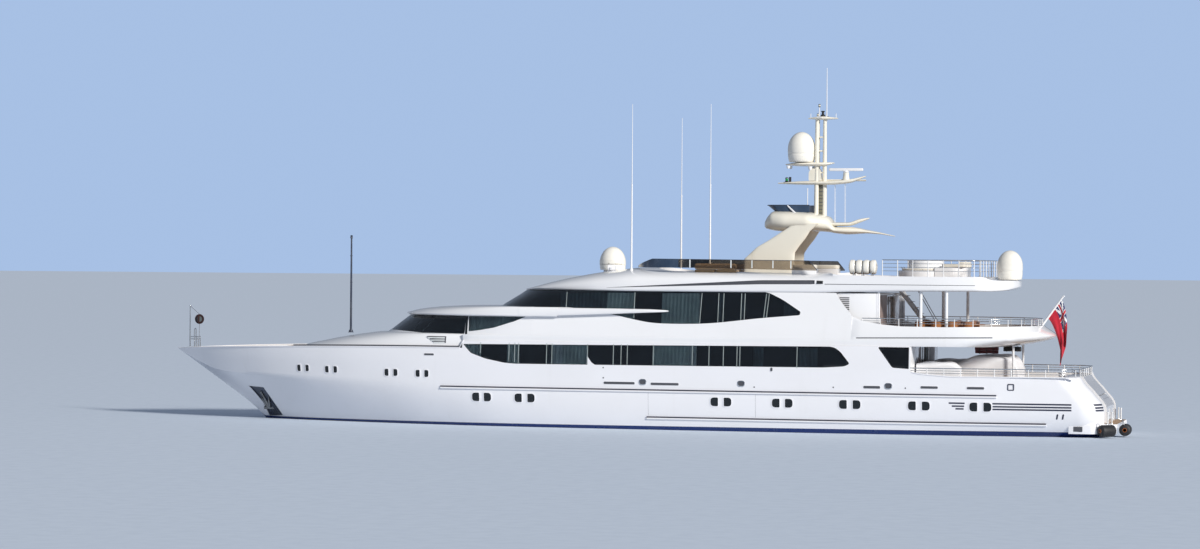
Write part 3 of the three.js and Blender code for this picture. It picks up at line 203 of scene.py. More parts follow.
# Shapes gathered into one mesh.
class Shape:
    """Points and faces, each face with the number of its finish."""

    def __init__(self):
        self.points, self.faces, self.finish = [], [], []

    def add(self, points, faces, finish=0):
        base = len(self.points)
        self.points += [tuple(p) for p in points]
        self.faces += [tuple(base + k for k in face) for face in faces]
        self.finish += finish if isinstance(finish, list) else [finish] * len(faces)
        return self

    def loft(self, rings, finish=0, ends=True):
        """Rings of equal length joined into a skin; finish is one number, or one for each step round."""
        n = len(rings[0])
        base = len(self.points)
        marks = finish if isinstance(finish, list) else [finish] * n
        self.points += [tuple(p) for ring in rings for p in ring]
        for r in range(len(rings) - 1):
            for i in range(n):
                a, b = base + r * n + i, base + r * n + (i + 1) % n
                self.faces.append((a, b, b + n, a + n))
                self.finish.append(marks[i])
        if ends:
            last = base + (len(rings) - 1) * n
            self.faces += [tuple(reversed(range(base, base + n))), tuple(range(last, last + n))]
            self.finish += [marks[0]] * 2
        return self

    def box(self, low, high, finish=0):
        (x0, y0, z0), (x1, y1, z1) = low, high
        return self.loft([[(x0, y0, z), (x1, y0, z), (x1, y1, z), (x0, y1, z)] for z in (z0, z1)], finish)

    def plan(self, outline, z0, z1, finish=0):
        """An outline of (x, y), from z0 to z1."""
        return self.loft([[(x, y, z) for x, y in outline] for z in (z0, z1)], finish)

    def profile(self, outline, y0, y1, finish=0):
        """An outline of (x, z), from y0 to y1."""
        return self.loft([[(x, y, z) for x, z in outline] for y in (y0, y1)], finish)

    def tube(self, path, radius, count, finish=0, aspect=1.0):
        """A round bar along a path; radius is one value or one for each point."""
        path = [Vector(p) for p in path]
        radii = radius if isinstance(radius, (list, tuple)) else [radius] * len(path)
        rings = []
        across = None
        for k, p in enumerate(path):
            along = (path[min(k + 1, len(path) - 1)] - path[max(k - 1, 0)]).normalized()
            if across is None:
                across = along.orthogonal().normalized()
            across = (across - along * across.dot(along)).normalized()
            up = along.cross(across)
            rings.append([p + (across * cos(t) + up * sin(t) * aspect) * radii[k] for t in circle(count)])
        return self.loft(rings, finish)

    def lathe(self, outline, centre, count, finish=0, axis=2):
        """An outline of (radius, height) turned about an axis through the centre."""
        rings = []
        for r, h in outline:
            ring = [[r * cos(t), r * sin(t)] for t in circle(count)]
            for p in ring:
                p.insert(axis, h)
            rings.append([Vector(p) + Vector(centre) for p in ring])
        return self.loft(rings, finish)

    def mirrored(self):
        """The same again on the starboard side."""
        base = len(self.points)
        self.points += [(x, -y, z) for x, y, z in self.points]
        self.faces += [tuple(base + k for k in reversed(face)) for face in self.faces]
        self.finish += self.finish
        return self

    def on(self, hand):
        """Left on the port side for 1, turned over to starboard for -1."""
        self.points = [(x, y * hand, z) for x, y, z in self.points]
        return self


def rounded(outline, radius, count=4):
    """An outline with its corners rounded; radius is one value or one for each corner."""
    radii = radius if isinstance(radius, (list, tuple)) else [radius] * len(outline)
    made = []
    for k, (corner, r) in enumerate(zip(outline, radii)):
        p = Vector(corner)
        before, after = Vector(outline[k - 1]) - p, Vector(outline[(k + 1) % len(outline)]) - p
        reach = min(r, before.length * 0.48, after.length * 0.48)
        if reach < 1e-4:
            made.append(tuple(p))
            continue
        a, b = p + before.normalized() * reach, p + after.normalized() * reach
        made += [tuple(a * (1 - t) ** 2 + p * 2 * t * (1 - t) + b * t**2) for t in steps(0, 1, count)]
    return made


def both_sides(edge):
    """A closed outline in plan from its port edge, bow first, mirrored to starboard."""
    return [*edge, *[(x, -y) for x, y in reversed(edge) if y > 1e-6]]


def rounded_end(start, end, breadth, count, power=2.4):
    """Points of a rounded end in plan, from x = start to x = end."""
    made = []
    for t in range(count + 1):
        u = sin(pi / 2 * t / count)
        x = start + (end - start) * u
        made.append((x, max(breadth(x) * max(1 - u**power, 0) ** 0.5, 0.0)))
    return made


def raw(name, shape, finishes):
    mesh = bpy.data.meshes.new(name)
    mesh.from_pydata([tuple(p) for p in shape.points], [], shape.faces)
    for finish in finishes:
        mesh.materials.append(finish)
    mesh.polygons.foreach_set("material_index", [min(f, len(finishes) - 1) for f in shape.finish])
    solid = bmesh.new()
    solid.from_mesh(mesh)
    bmesh.ops.remove_doubles(solid, verts=solid.verts, dist=2e-5)
    bmesh.ops.dissolve_degenerate(solid, edges=solid.edges, dist=1e-5)
    bmesh.ops.recalc_face_normals(solid, faces=solid.faces)
    solid.to_mesh(mesh)
    solid.free()
    made = bpy.data.objects.new(name, mesh)
    bpy.context.scene.collection.objects.link(made)
    return made


def settle(made):
    """Turns the modifiers of a piece into its mesh."""
    bpy.context.view_layer.update()
    mesh = bpy.data.meshes.new_from_object(made.evaluated_get(bpy.context.evaluated_depsgraph_get()))
    made.modifiers.clear()
    made.data = mesh


def carve(made, cutter, operation="DIFFERENCE"):
    tool = raw("tool", cutter, list(made.data.materials))
    carver = made.modifiers.new("carve", "BOOLEAN")
    carver.object = tool
    carver.operation = operation
    carver.solver = "EXACT"
    settle(made)
    bpy.data.objects.remove(tool)


def smooth_faces(made, sharp=32):
    """Smooth shading, but for the edges sharper than so many degrees."""
    made.data.polygons.foreach_set("use_smooth", [True] * len(made.data.polygons))
    made.data.set_sharp_from_angle(angle=radians(sharp))


def make(name, shape, finishes, body="yacht", stands_for=(), less=(), bevel=0.0, sharp=32):
    """A finished piece: carved, its edges eased, smooth but for its sharp edges, riding on its body."""
    made = raw(name, shape, finishes)
    for cutter in less:
        carve(made, cutter)
    if bevel:
        ease = made.modifiers.new("ease", "BEVEL")
        ease.width = bevel
        ease.segments = 2
        ease.limit_method = "ANGLE"
        ease.angle_limit = radians(35)
        settle(made)
    smooth_faces(made, sharp)
    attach(made, body)
    if stands_for:
        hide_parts(*stands_for)
    return made


# Finishes. An effect that several finishes share is a node group.
def node(tree, kind, inputs=None, **settings):
    made = tree.nodes.new("ShaderNode" + kind)
    for name, value in settings.items():
        setattr(made, name, value)
    for name, value in (inputs or {}).items():
        socket = made.inputs[name]
        if isinstance(value, bpy.types.NodeSocket):
            tree.links.new(value, socket)
        else:
            socket.default_value = value
    return made


def effect(name, colours, values, results):
    """An empty node group: colours and values go in, one colour and other results come out."""
    tree = bpy.data.node_groups.new(name, "ShaderNodeTree")
    for labels, direction, kind in ((colours, "INPUT", "Color"), (values, "INPUT", "Float"),
                                    (["Colour"], "OUTPUT", "Color"), (results, "OUTPUT", "Float")):
        for label in labels:
            tree.interface.new_socket(label, in_out=direction, socket_type="NodeSocket" + kind)
    return tree, tree.nodes.new("NodeGroupInput").outputs, tree.nodes.new("NodeGroupOutput").inputs


def noise(tree, where, scale, stretch, detail, roughness=0.5):
    placed = node(tree, "Mapping", {"Vector": where, "Scale": stretch})
    return node(tree, "TexNoise", {"Vector": placed.outputs[0], "Scale": scale, "Detail": detail,
                                   "Roughness": roughness}).outputs["Fac"]


def ramp(tree, value, low, high):
    """0 below low, 1 above high, eased between."""
    return node(tree, "MapRange", {"Value": value, "From Min": low, "From Max": high},
                interpolation_type="SMOOTHSTEP").outputs[0]


def sums(tree, kind, a, b):
    return node(tree, "Math", {0: a, 1: b}, operation=kind).outputs[0]


def plus(tree, a, b):
    return sums(tree, "ADD", a, b)


def times(tree, a, b):
    return sums(tree, "MULTIPLY", a, b)


def mixed(tree, share, a, b):
    return node(tree, "Mix", {0: share, 6: a, 7: b}, data_type="RGBA").outputs[2]


def place(tree):
    return node(tree, "TexCoord").outputs["Object"]


def build_sea_wear():
    """Faint runs down a painted face, broad patches of dulled gloss, and the paint's own ripple."""
    tree, given, put = effect("sea wear", ["Colour", "Stain"], ["Runs", "Patches", "Gloss"],
                              ["Roughness", "Height"])
    where = place(tree)
    runs = ramp(tree, noise(tree, where, 4.0, (1, 1, 0.06), 4.0), 0.56, 0.78)
    patches = ramp(tree, noise(tree, where, 0.55, (1, 1, 2.0), 3.0), 0.35, 0.75)
    stain = plus(tree, times(tree, runs, given["Runs"]),
                 times(tree, patches, given["Patches"]))
    tree.links.new(mixed(tree, stain, given["Colour"], given["Stain"]), put["Colour"])
    dull = times(tree, plus(tree, patches, runs), 0.06)
    tree.links.new(plus(tree, given["Gloss"], dull), put["Roughness"])
    tree.links.new(noise(tree, where, 2.2, (1, 1, 1), 2.0), put["Height"])
    return tree


def build_planking():
    """Planks along the boat with dark seams, each plank its own shade, and a long grain."""
    tree, given, put = effect("planking", ["Wood", "Dark wood", "Seam"], ["Plank"], ["Roughness", "Height"])
    where = place(tree)
    parts = node(tree, "SeparateXYZ", {0: where}).outputs
    across = sums(tree, "DIVIDE", parts["Y"], given["Plank"])
    within = sums(tree, "PINGPONG", across, 0.5)
    seam = sums(tree, "LESS_THAN", within, 0.045)
    number = sums(tree, "ROUND", across, 0.0)
    shade = node(tree, "TexWhiteNoise", {"W": number}, noise_dimensions="1D").outputs["Value"]
    grain = noise(tree, where, 9.0, (0.5, 14, 1), 4.0)
    tone = plus(tree, times(tree, shade, 0.45), times(tree, grain, 0.55))
    wood = mixed(tree, tone, given["Wood"], given["Dark wood"])
    tree.links.new(mixed(tree, seam, wood, given["Seam"]), put["Colour"])
    tree.links.new(plus(tree, 0.5, times(tree, grain, 0.25)), put["Roughness"])
    tree.links.new(sums(tree, "SUBTRACT", times(tree, grain, 0.3), seam), put["Height"])
    return tree


def build_weave():
    """Crossing threads, with soft creases in the cloth."""
    tree, given, put = effect("weave", ["Colour", "Shade"], ["Threads"], ["Height"])
    where = place(tree)
    fore, up, across = (
        node(tree, "TexWave", {"Vector": where, "Scale": given["Threads"], "Distortion": 0.4},
             wave_type="BANDS", bands_direction=axis).outputs["Fac"]
        for axis in ("X", "Z", "Y")
    )
    cloth = times(tree, plus(tree, fore, across), up)
    crease = noise(tree, where, 2.6, (1, 1, 1), 4.0, 0.6)
    # The creases pull the colour towards Shade: painted shade in the creases; the threads are the cloth's
    # own pattern.
    tone = plus(tree, times(tree, cloth, 0.25), times(tree, crease, 0.6))
    tree.links.new(mixed(tree, tone, given["Colour"], given["Shade"]), put["Colour"])
    tree.links.new(plus(tree, times(tree, cloth, 0.15), crease), put["Height"])
    return tree


def build_handling():
    """Uneven polish on metal, plastic and rubber."""
    tree, given, put = effect("handling", ["Colour", "Worn"], ["Gloss", "Grain"], ["Roughness", "Height"])
    where = place(tree)
    cloud = ramp(tree, noise(tree, where, 3.0, (1, 1, 1), 4.0), 0.3, 0.8)
    grain = noise(tree, where, given["Grain"], (1, 1, 0.2), 2.0)
    tree.links.new(mixed(tree, cloud, given["Colour"], given["Worn"]), put["Colour"])
    rough = plus(tree, given["Gloss"], times(tree, cloud, 0.12))
    tree.links.new(rough, put["Roughness"])
    tree.links.new(grain, put["Height"])
    return tree


EFFECTS = {
    "sea wear": build_sea_wear(), "planking": build_planking(), "weave": build_weave(),
    "handling": build_handling(),
}


SOCKETS = {
    "coat_weight": "Coat Weight", "coat_roughness": "Coat Roughness", "metallic": "Metallic", "ior": "IOR",
    "roughness": "Roughness", "sheen_weight": "Sheen Weight", "transmission_weight": "Transmission Weight",
}


def finish_of(name, effect_name, values, bump, depth, **surface):
    """A finish: one shared effect with its own values, into a shader with its own."""
    made = bpy.data.materials.new(name)
    made.use_nodes = True
    tree = made.node_tree
    tree.nodes.clear()
    shader = node(tree, "BsdfPrincipled", {SOCKETS[k]: v for k, v in surface.items()})
    used = node(tree, "Group", node_tree=EFFECTS[effect_name])
    for label, value in values.items():
        used.inputs[label].default_value = value
    for label, target in (("Colour", "Base Color"), ("Roughness", "Roughness")):
        if label in used.outputs:
            tree.links.new(used.outputs[label], shader.inputs[target])
    raised = node(tree, "Bump", {"Strength": bump, "Distance": depth, "Height": used.outputs["Height"]})
    tree.links.new(raised.outputs[0], shader.inputs["Normal"])
    out = node(tree, "OutputMaterial")
    tree.links.new(shader.outputs[0], out.inputs[0])
    return made


def rgb(r, g, b):
    return (r, g, b, 1.0)


def painted(name, colour, stain, gloss, runs=0.12, patches=0.1, coat=0.6):
    """Paint with a clear coat, stained a little by the sea."""
    values = {"Colour": rgb(*colour), "Stain": rgb(*stain), "Runs": runs, "Patches": patches, "Gloss": gloss}
    return finish_of(name, "sea wear", values, bump=0.05, depth=0.01, coat_weight=coat, coat_roughness=0.04)


def handled(name, colour, worn, gloss, metallic=0.0, grain=60.0, bump=0.1, **surface):
    values = {"Colour": rgb(*colour), "Worn": rgb(*worn), "Gloss": gloss, "Grain": grain}
    return finish_of(name, "handling", values, bump=bump, depth=0.001, metallic=metallic, **surface)


def cloth(name, colour, shade, threads=90.0, bump=0.5):
    values = {"Colour": rgb(*colour), "Shade": rgb(*shade), "Threads": threads}
    return finish_of(name, "weave", values, bump=bump, depth=0.004, roughness=0.85, sheen_weight=0.25)


def planked(name, wood, dark, seam, plank):
    values = {"Wood": rgb(*wood), "Dark wood": rgb(*dark), "Seam": rgb(*seam), "Plank": plank}
    return finish_of(name, "planking", values, bump=0.3, depth=0.002)


def tinted(name, colour, gloss=0.02, clear=1.0):
    """Glass with a tint, whose polish is a little uneven."""
    return handled(name, colour, tuple(c * 0.8 for c in colour), gloss, grain=4.0, bump=0.02,
                   transmission_weight=clear, ior=1.5)


HULL_WHITE = painted("hull_white", (0.83, 0.83, 0.865), (0.62, 0.61, 0.6), 0.12, 0.10, 0.10, 0.8)
HOUSE_WHITE = painted("house_white", (0.85, 0.85, 0.87), (0.66, 0.65, 0.63), 0.16, 0.10, 0.10, 0.7)
BOOT_BLUE = painted("boot_blue", (0.004, 0.022, 0.13), (0.02, 0.04, 0.12), 0.25, 0.3, 0.3, 0.25)
BOTTOM_BLUE = painted("bottom_blue", (0.02, 0.035, 0.11), (0.05, 0.07, 0.06), 0.6, 0.4, 0.5, 0.0)
# Dark grey laid into grooves, slots, vents and louvres as painted shade, and along seams and the stern
# door's edge as dark joints.
SHADOW_GREY = painted("shade_and_seam_grey", (0.07, 0.072, 0.085), (0.14, 0.14, 0.15), 0.3, 0.3, 0.2, 0.2)
MAST_CREAM = painted("mast_cream", (0.83, 0.79, 0.69), (0.55, 0.49, 0.38), 0.25, 0.25, 0.2, 0.4)
DOME_CREAM = painted("dome_cream", (0.86, 0.83, 0.76), (0.62, 0.57, 0.48), 0.3, 0.15, 0.15, 0.3)
DARK_GLASS = tinted("dark_glass", (0.36, 0.43, 0.48))
BLACK_GLASS = handled("black_glass", (0.006, 0.009, 0.012), (0.01, 0.013, 0.016), 0.04, 0.0, 4.0, 0.02)
STRIPE_BLUE = painted("stripe_blue", (0.018, 0.022, 0.05), (0.06, 0.06, 0.08), 0.3, 0.2, 0.2, 0.3)
SMOKED_GLASS = tinted("smoked_glass", (0.42, 0.36, 0.29))
BLUE_STEEL = handled("mast_screen_blue", (0.03, 0.055, 0.1), (0.06, 0.09, 0.14), 0.18)
RAIL_WHITE = handled("rail_white", (0.8, 0.8, 0.81), (0.68, 0.68, 0.69), 0.25)
# Near-black painted shade for the unlit rooms seen through the glass.
ROOM_SHADE_BLACK = handled("painted_room_shade", (0.006, 0.009, 0.012), (0.012, 0.016, 0.02), 0.5)
GLASS_BAR = handled("glass_bar", (0.32, 0.37, 0.37), (0.25, 0.29, 0.29), 0.4)
BROWN_PANE = handled("brown_pane", (0.31, 0.235, 0.21), (0.25, 0.19, 0.17), 0.4, grain=6.0)
CURTAIN_GREY = cloth("curtain_grey", (0.62, 0.69, 0.64), (0.5, 0.56, 0.52), 60.0)
CURTAIN_LIGHT = cloth("curtain_light", (0.75, 0.78, 0.76), (0.6, 0.63, 0.62), 60.0)
CURTAIN_DIM = cloth("curtain_dim", (0.12, 0.15, 0.16), (0.08, 0.1, 0.11), 60.0)
FRAME_LIGHT = handled("frame_light", (0.75, 0.78, 0.78), (0.6, 0.63, 0.63), 0.3)
STAINLESS = handled("stainless", (0.72, 0.73, 0.74), (0.6, 0.61, 0.62), 0.14, 1.0, 120.0)
DARK_STEEL = handled("dark_steel", (0.035, 0.045, 0.08), (0.07, 0.08, 0.1), 0.3, 0.2)
GALVANISED = handled("anchor_steel", (0.3, 0.31, 0.32), (0.18, 0.17, 0.16), 0.4, 0.9, 40.0, 0.4)
BRONZE = handled("propeller_bronze", (0.55, 0.36, 0.16), (0.4, 0.3, 0.17), 0.25, 1.0, 30.0, 0.2)
RUBBER = handled("fender_rubber", (0.012, 0.012, 0.014), (0.03, 0.03, 0.032), 0.5, 0.0, 50.0, 0.4)
BLACK = handled("black_fitting", (0.01, 0.01, 0.012), (0.03, 0.03, 0.03), 0.4)
TEAK = planked("teak_deck", (0.46, 0.3, 0.17), (0.33, 0.21, 0.12), (0.02, 0.02, 0.02), 0.05)
TEAK_TRIM = planked("teak_trim", (0.36, 0.17, 0.07), (0.24, 0.1, 0.04), (0.2, 0.09, 0.04), 0.4)
WINE_CLOTH = cloth("wine_cloth", (0.09, 0.012, 0.02), (0.04, 0.006, 0.01))
BLACK_CLOTH = cloth("black_cloth", (0.012, 0.012, 0.015), (0.004, 0.004, 0.005))
COVER_CLOTH = cloth("cover_cloth", (0.88, 0.88, 0.91), (0.78, 0.78, 0.81), 80.0)
CUSHION_CLOTH = cloth("cushion_cloth", (0.8, 0.76, 0.68), (0.66, 0.61, 0.52), 70.0)
TAN_CLOTH = cloth("tan_cloth", (0.42, 0.29, 0.17), (0.3, 0.2, 0.11), 70.0)
WICKER = cloth("wicker", (0.42, 0.17, 0.05), (0.2, 0.07, 0.02), 30.0, 0.9)
BUNTING_RED = cloth("bunting_red", (0.52, 0.008, 0.03), (0.4, 0.006, 0.022), 120.0, 0.3)
BUNTING_ORANGE = cloth("fender_band", (0.75, 0.22, 0.04), (0.5, 0.12, 0.02), 60.0, 0.2)
SMOKED_DOOR = painted("smoked_door", (0.15, 0.115, 0.09), (0.1, 0.08, 0.07), 0.08)
OLIVE_GREY = handled("olive_grey", (0.2, 0.19, 0.13), (0.13, 0.12, 0.09), 0.5)
BALL_BLACK = handled("day_mark", (0.03, 0.012, 0.012), (0.06, 0.03, 0.03), 0.35)
BUNTING_BLUE = cloth("bunting_blue", (0.012, 0.02, 0.12), (0.01, 0.015, 0.09), 120.0, 0.3)
BUNTING_WHITE = cloth("bunting_white", (0.8, 0.8, 0.8), (0.66, 0.66, 0.68), 120.0, 0.3)
TUB_WATER = tinted("tub_water", (0.35, 0.62, 0.66), 0.03, 0.7)
LAMP_GREEN = handled("lamp_green", (0.02, 0.3, 0.1), (0.02, 0.25, 0.08), 0.1)
LAMP_WARM = handled("lamp_lens", (0.8, 0.75, 0.62), (0.7, 0.65, 0.5), 0.1)


# Hull, bow and topside walls: one skin with the bulwarks and decks inside it.
AFT_OPENING = -7.47
AFT_TOP = [(-7.47, 1.55), (-7.711, 1.502), (-8.449, 1.445), (-10.5, 1.455), (-13.0, 1.455)]
WELL = (12.18, 9.3)  # the foredeck well, fore and aft
MAIN_WINDOW = [
    (3.985, 2.085), (3.777, 1.861), (3.372, 1.72), (2.885, 1.625), (2.604, 1.603), (0.76, 1.606),
    (-2.2, 1.614), (-5.327, 1.626), (-5.84, 1.66), (-5.978, 1.725), (-5.75, 2.01), (-5.62, 2.11),
    (-5.48, 2.145), (-3.0, 2.13), (0.69, 2.105), (2.4, 2.095),
]
AFT_LIGHT = [(-6.66, 2.15), (-7.03, 1.645), (-7.44, 1.62), (-7.44, 2.15)]
AFT_LIGHT_CORNERS = [0.06, 0.05, 0.02, 0.02]
STAIR = Sizes(inner=1.0, outer=1.48, top=-10.96, steps=7, foot=0.33, tread=0.15)
SEAT = Sizes(front=-11.08, top=1.455)
GARAGE = Sizes(half=0.78, low=0.4, high=0.96, front=-10.95, hinge=1.0)
PLATFORM = Sizes(low=0.09, high=0.32, end=-12.45)
PLATFORM_EDGE = [(-11.3, 1.95), (-11.9, 1.9), (-12.32, 1.48), (-12.45, 1.3)]
ANCHOR_FORE = [(10.414, 0.863), (10.082, 0.43), (9.965, 0.049)]
ANCHOR_AFT = [(9.901, 0.845), (9.483, 0.085)]
WHITE, BOTTOM, BOOT, DECK, INNER = range(5)  # finishes of the hull skin


def top_of_side(x):
    if x >= CABIN_FRONT:
        return line(max(x, 5.0), "topZ")
    return UPPER_UNDER - GAP if x >= AFT_OPENING else straight(AFT_TOP, x)


def transom_x(z, offset=0.0):
    return hull_point(CORNER_START, pi / 2, z, offset)[0]


def skin_heights(x, top):
    """Heights up the skin: below the water, the boot stripe, up to the knuckle and on to the top."""
    keel, knee = line(x, "keel"), line(x, "knuckleZ")
    heights = [keel * (1 - (k / 14) ** 2) if keel < 0 else keel for k in range(14)]
    boot = 0.06 + 0.065 * clamp((9.0 - x) / 19.0)
    heights += [0.0, boot / 2] + steps(boot, knee, 12)[:-1] + steps(knee, top, 12)
    return [min(max(z, keel), top) for z in heights]


SKIN_ROWS = 14 + 2 + 12 + 13
INNER_ROWS = 4


def hull_section(x, turn, top, deck, thick):
    """The port half of a section, from the keel over the bulwark to the middle of the deck."""
    points = [hull_point(x, turn, z) for z in skin_heights(x, top)]
    points += [hull_point(x, turn, z, thick) for z in steps(top, deck, INNER_ROWS - 1)]
    foot = points[-1]
    return [*points, (foot[0], 0.0, foot[2])]


def hull_marks():
    port = [BOTTOM] * 14 + [BOOT] * 2 + [WHITE] * (SKIN_ROWS - 16) + [INNER] * (INNER_ROWS - 1) + [DECK]
    return [*port, *reversed(port)]


def whole_ring(port):
    return [*port, *[(x, -y, z) for x, y, z in reversed(port[1:-1])]]


def hull_stations():
    """Each section's x, turn, top, deck and bulwark, with two where the top or the deck steps."""
    fore = steps(12.6, WELL[0], 4)
    rows = [(x, 0.0, top_of_side(x), top_of_side(x), BULWARK) for x in fore]
    rows += [(x, 0.0, top_of_side(x), FOREDECK, BULWARK) for x in steps(WELL[0], WELL[1], 24)]
    rows += [(x, 0.0, top_of_side(x), top_of_side(x), BULWARK) for x in steps(WELL[1], CABIN_FRONT, 26)]
    aft = steps(CABIN_FRONT - 1e-4, AFT_OPENING + 1e-4, 36)
    rows += [(x, 0.0, top_of_side(x), MAIN_DECK, WALL) for x in aft]
    rows += [(x, 0.0, straight(AFT_TOP, x), MAIN_DECK, WALL) for x in steps(AFT_OPENING, CORNER_START, 24)]
    corner = [(CORNER_START, t, AFT_TOP[-1][1], MAIN_DECK, WALL) for t in steps(0, pi / 2, 12)[1:]]
    return rows + corner


def hull_skin():
    made = Shape()
    sections = [hull_section(*row) for row in hull_stations()]
    made.loft([whole_ring(port) for port in sections], hull_marks(), ends=False)
    tip = whole_ring(sections[0])
    made.add(tip, [tuple(range(len(tip)))])
    port = sections[-1]
    marks = hull_marks()
    for k in range(len(port) - 2):
        (x0, y0, z0), (x1, y1, z1) = port[k], port[k + 1]
        made.add([(x0, y0, z0), (x1, y1, z1), (x1, -y1, z1), (x0, -y0, z0)], [(0, 1, 2, 3)], marks[k])
    return made


def stair_cutter():
    rise = (MAIN_DECK - STAIR.foot) / STAIR.steps
    outline = [(STAIR.top + 0.4, MAIN_DECK + 0.6), (STAIR.top + 0.4, MAIN_DECK + SKIN)]
    for i in range(STAIR.steps):
        x = STAIR.top - i * STAIR.tread
        outline += [(x, MAIN_DECK + SKIN - i * rise), (x, MAIN_DECK + SKIN - (i + 1) * rise)]
    outline += [(-13.0, STAIR.foot + SKIN), (-13.0, MAIN_DECK + 0.6)]
    flat = [abs(a[1] - b[1]) < 1e-6 and a[1] < 1.5 for a, b in zip(outline, outline[1:] + outline[:1])]
    cut = Shape()
    rings = [[(x, y, z) for x, z in outline] for y in (STAIR.inner, STAIR.outer)]
    return cut.loft(rings, [DECK if level else INNER for level in flat]).mirrored()


def along(path, t):
    """The point a share t of the way along a path of (x, z)."""
    lengths = [dist(a, b) for a, b in zip(path, path[1:])]
    left = t * sum(lengths)
    for a, b, length in zip(path, path[1:], lengths):
        if left <= length or b is path[-1]:
            s = left / max(length, 1e-9)
            return (a[0] + (b[0] - a[0]) * s, a[1] + (b[1] - a[1]) * s)
        left -= length
    return path[-1]


def sheet_on(surface, low, high, out, thick, columns, rows, finish=0, made=None):
    """A closed sheet on a side between two lines of (x, z): its face out from the surface, thick deep."""
    made = made or Shape()
    grid = [
        [(a[0] + (b[0] - a[0]) * v, a[1] + (b[1] - a[1]) * v) for v in steps(0, 1, rows)]
        for a, b in ((along(low, u), along(high, u)) for u in steps(0, 1, columns))
    ]
    rings = []
    for line_up in grid:
        face = [(x, surface(x, z) + out, z) for x, z in line_up]
        back = [(x, surface(x, z) + out - thick, z) for x, z in reversed(line_up)]
        rings.append(face + back)
    return made.loft(rings, finish)


def badge_on(surface, outline, out, thick, finish=0, made=None):
    """A small piece laid on a side: an outline of (x, z), with a face that curves with the surface."""
    made = made or Shape()
    cx, cz = (sum(p[k] for p in outline) / len(outline) for k in (0, 1))
    rings = []
    for share, o in ((1.0, out - thick), (1.0, out), (0.66, out), (0.33, out), (0.02, out)):
        points = [(cx + (x - cx) * share, cz + (z - cz) * share) for x, z in outline]
        rings.append([(x, surface(x, z) + o, z) for x, z in points])
    return made.loft(rings, finish)


def ring_on(surface, inner, outer, out, thick, finish, made):
    """A raised rim between two outlines of equal length."""
    loops = [(outer, out - thick), (outer, out * 0.6), (inner, out), (inner, out - thick)]
    rings = [[(x, surface(x, z) + o, z) for x, z in outline] for outline, o in [*loops, loops[0]]]
    return made.loft(rings, finish, ends=False)


def moulding(surface, z, x0, x1, out, tall, finish, made):
    """A half-round moulding along a side."""
    section = [(-0.012, -0.5), (0.5, -0.45), (0.87, -0.25), (1.0, 0.0), (0.87, 0.25), (0.5, 0.45),
               (-0.012, 0.5)]
    rings = []
    for x in steps(x0, x1, 120):
        rings.append([(x, surface(x, z + h * tall) + (o * out if o > 0 else o), z + h * tall)
                      for o, h in section])
    return made.loft(rings, finish)


def anchor_pocket():
    return sheet_on(side, ANCHOR_AFT, ANCHOR_FORE, 0.1, 0.16, 10, 8, INNER).mirrored()


def doorway_cutter():
    low, high, half = GARAGE.low - 0.02, GARAGE.hinge + 0.006, GARAGE.half + 0.03
    heights = steps(low, high, 8)
    outline = [(transom_x(z) - 0.05, z) for z in heights] + [(transom_x(z) + 0.06, z)
                                                             for z in reversed(heights)]
    return Shape().profile(outline, -half, half, INNER)


def garage_cutter():
    half = GARAGE.half
    return Shape().box((-13.0, -half, GARAGE.low), (GARAGE.front, half, GARAGE.high), INNER)


def opening(outline, radius):
    """A cutter for the same window in each side wall."""
    return Shape().profile(rounded(outline, radius), 1.7, FAR, INNER).mirrored()


def through(outline, radius=0):
    """A cutter right through the yacht from side to side."""
    return Shape().profile(rounded(outline, radius), -FAR, FAR)


PROP = Sizes(x=-9.15, y=0.9, z=-0.9)
RUDDER = Sizes(x=-9.75, top=-0.5)
FIN = Sizes(x=1.2, y=1.56, z=-0.77)


def build_hull():
    cutters = [
        stair_cutter(), anchor_pocket(), doorway_cutter(), garage_cutter(), opening(MAIN_WINDOW, 0.05),
        opening(AFT_LIGHT, AFT_LIGHT_CORNERS),
    ]
    make("hull_skin", hull_skin(), [HULL_WHITE, BOTTOM_BLUE, BOOT_BLUE, TEAK, HOUSE_WHITE], less=cutters,
         stands_for=("hull", "bow", "topside_port", "topside_starboard"), sharp=28)
    seat = [(SEAT.front, MAIN_DECK), (SEAT.front, SEAT.top)]
    seat += [(transom_x(z, 0.004), z) for z in steps(SEAT.top, MAIN_DECK, 4)]
    make("stern_seat", Shape().profile(seat, -STAIR.inner + 0.001, STAIR.inner - 0.001), [HULL_WHITE],
         bevel=0.008)
    platform = both_sides(rounded([(-11.3, 1.95), *PLATFORM_EDGE[1:]], [0, 0.1, 0.15, 0.1]))
    make("swim_platform", Shape().plan(platform, PLATFORM.low, PLATFORM.high - 0.001), [HULL_WHITE],
         bevel=0.02)
    deck = both_sides([(-12.16, 1.34), (-12.3, 1.32), (-12.41, 1.18)])
    make("platform_teak", Shape().plan(deck, PLATFORM.high - 0.002, PLATFORM.high + 0.004), [TEAK])


def fin_axis(hand, reach):
    return (FIN.x, hand * (FIN.y + reach * sqrt(0.5)), FIN.z - reach * sqrt(0.5))


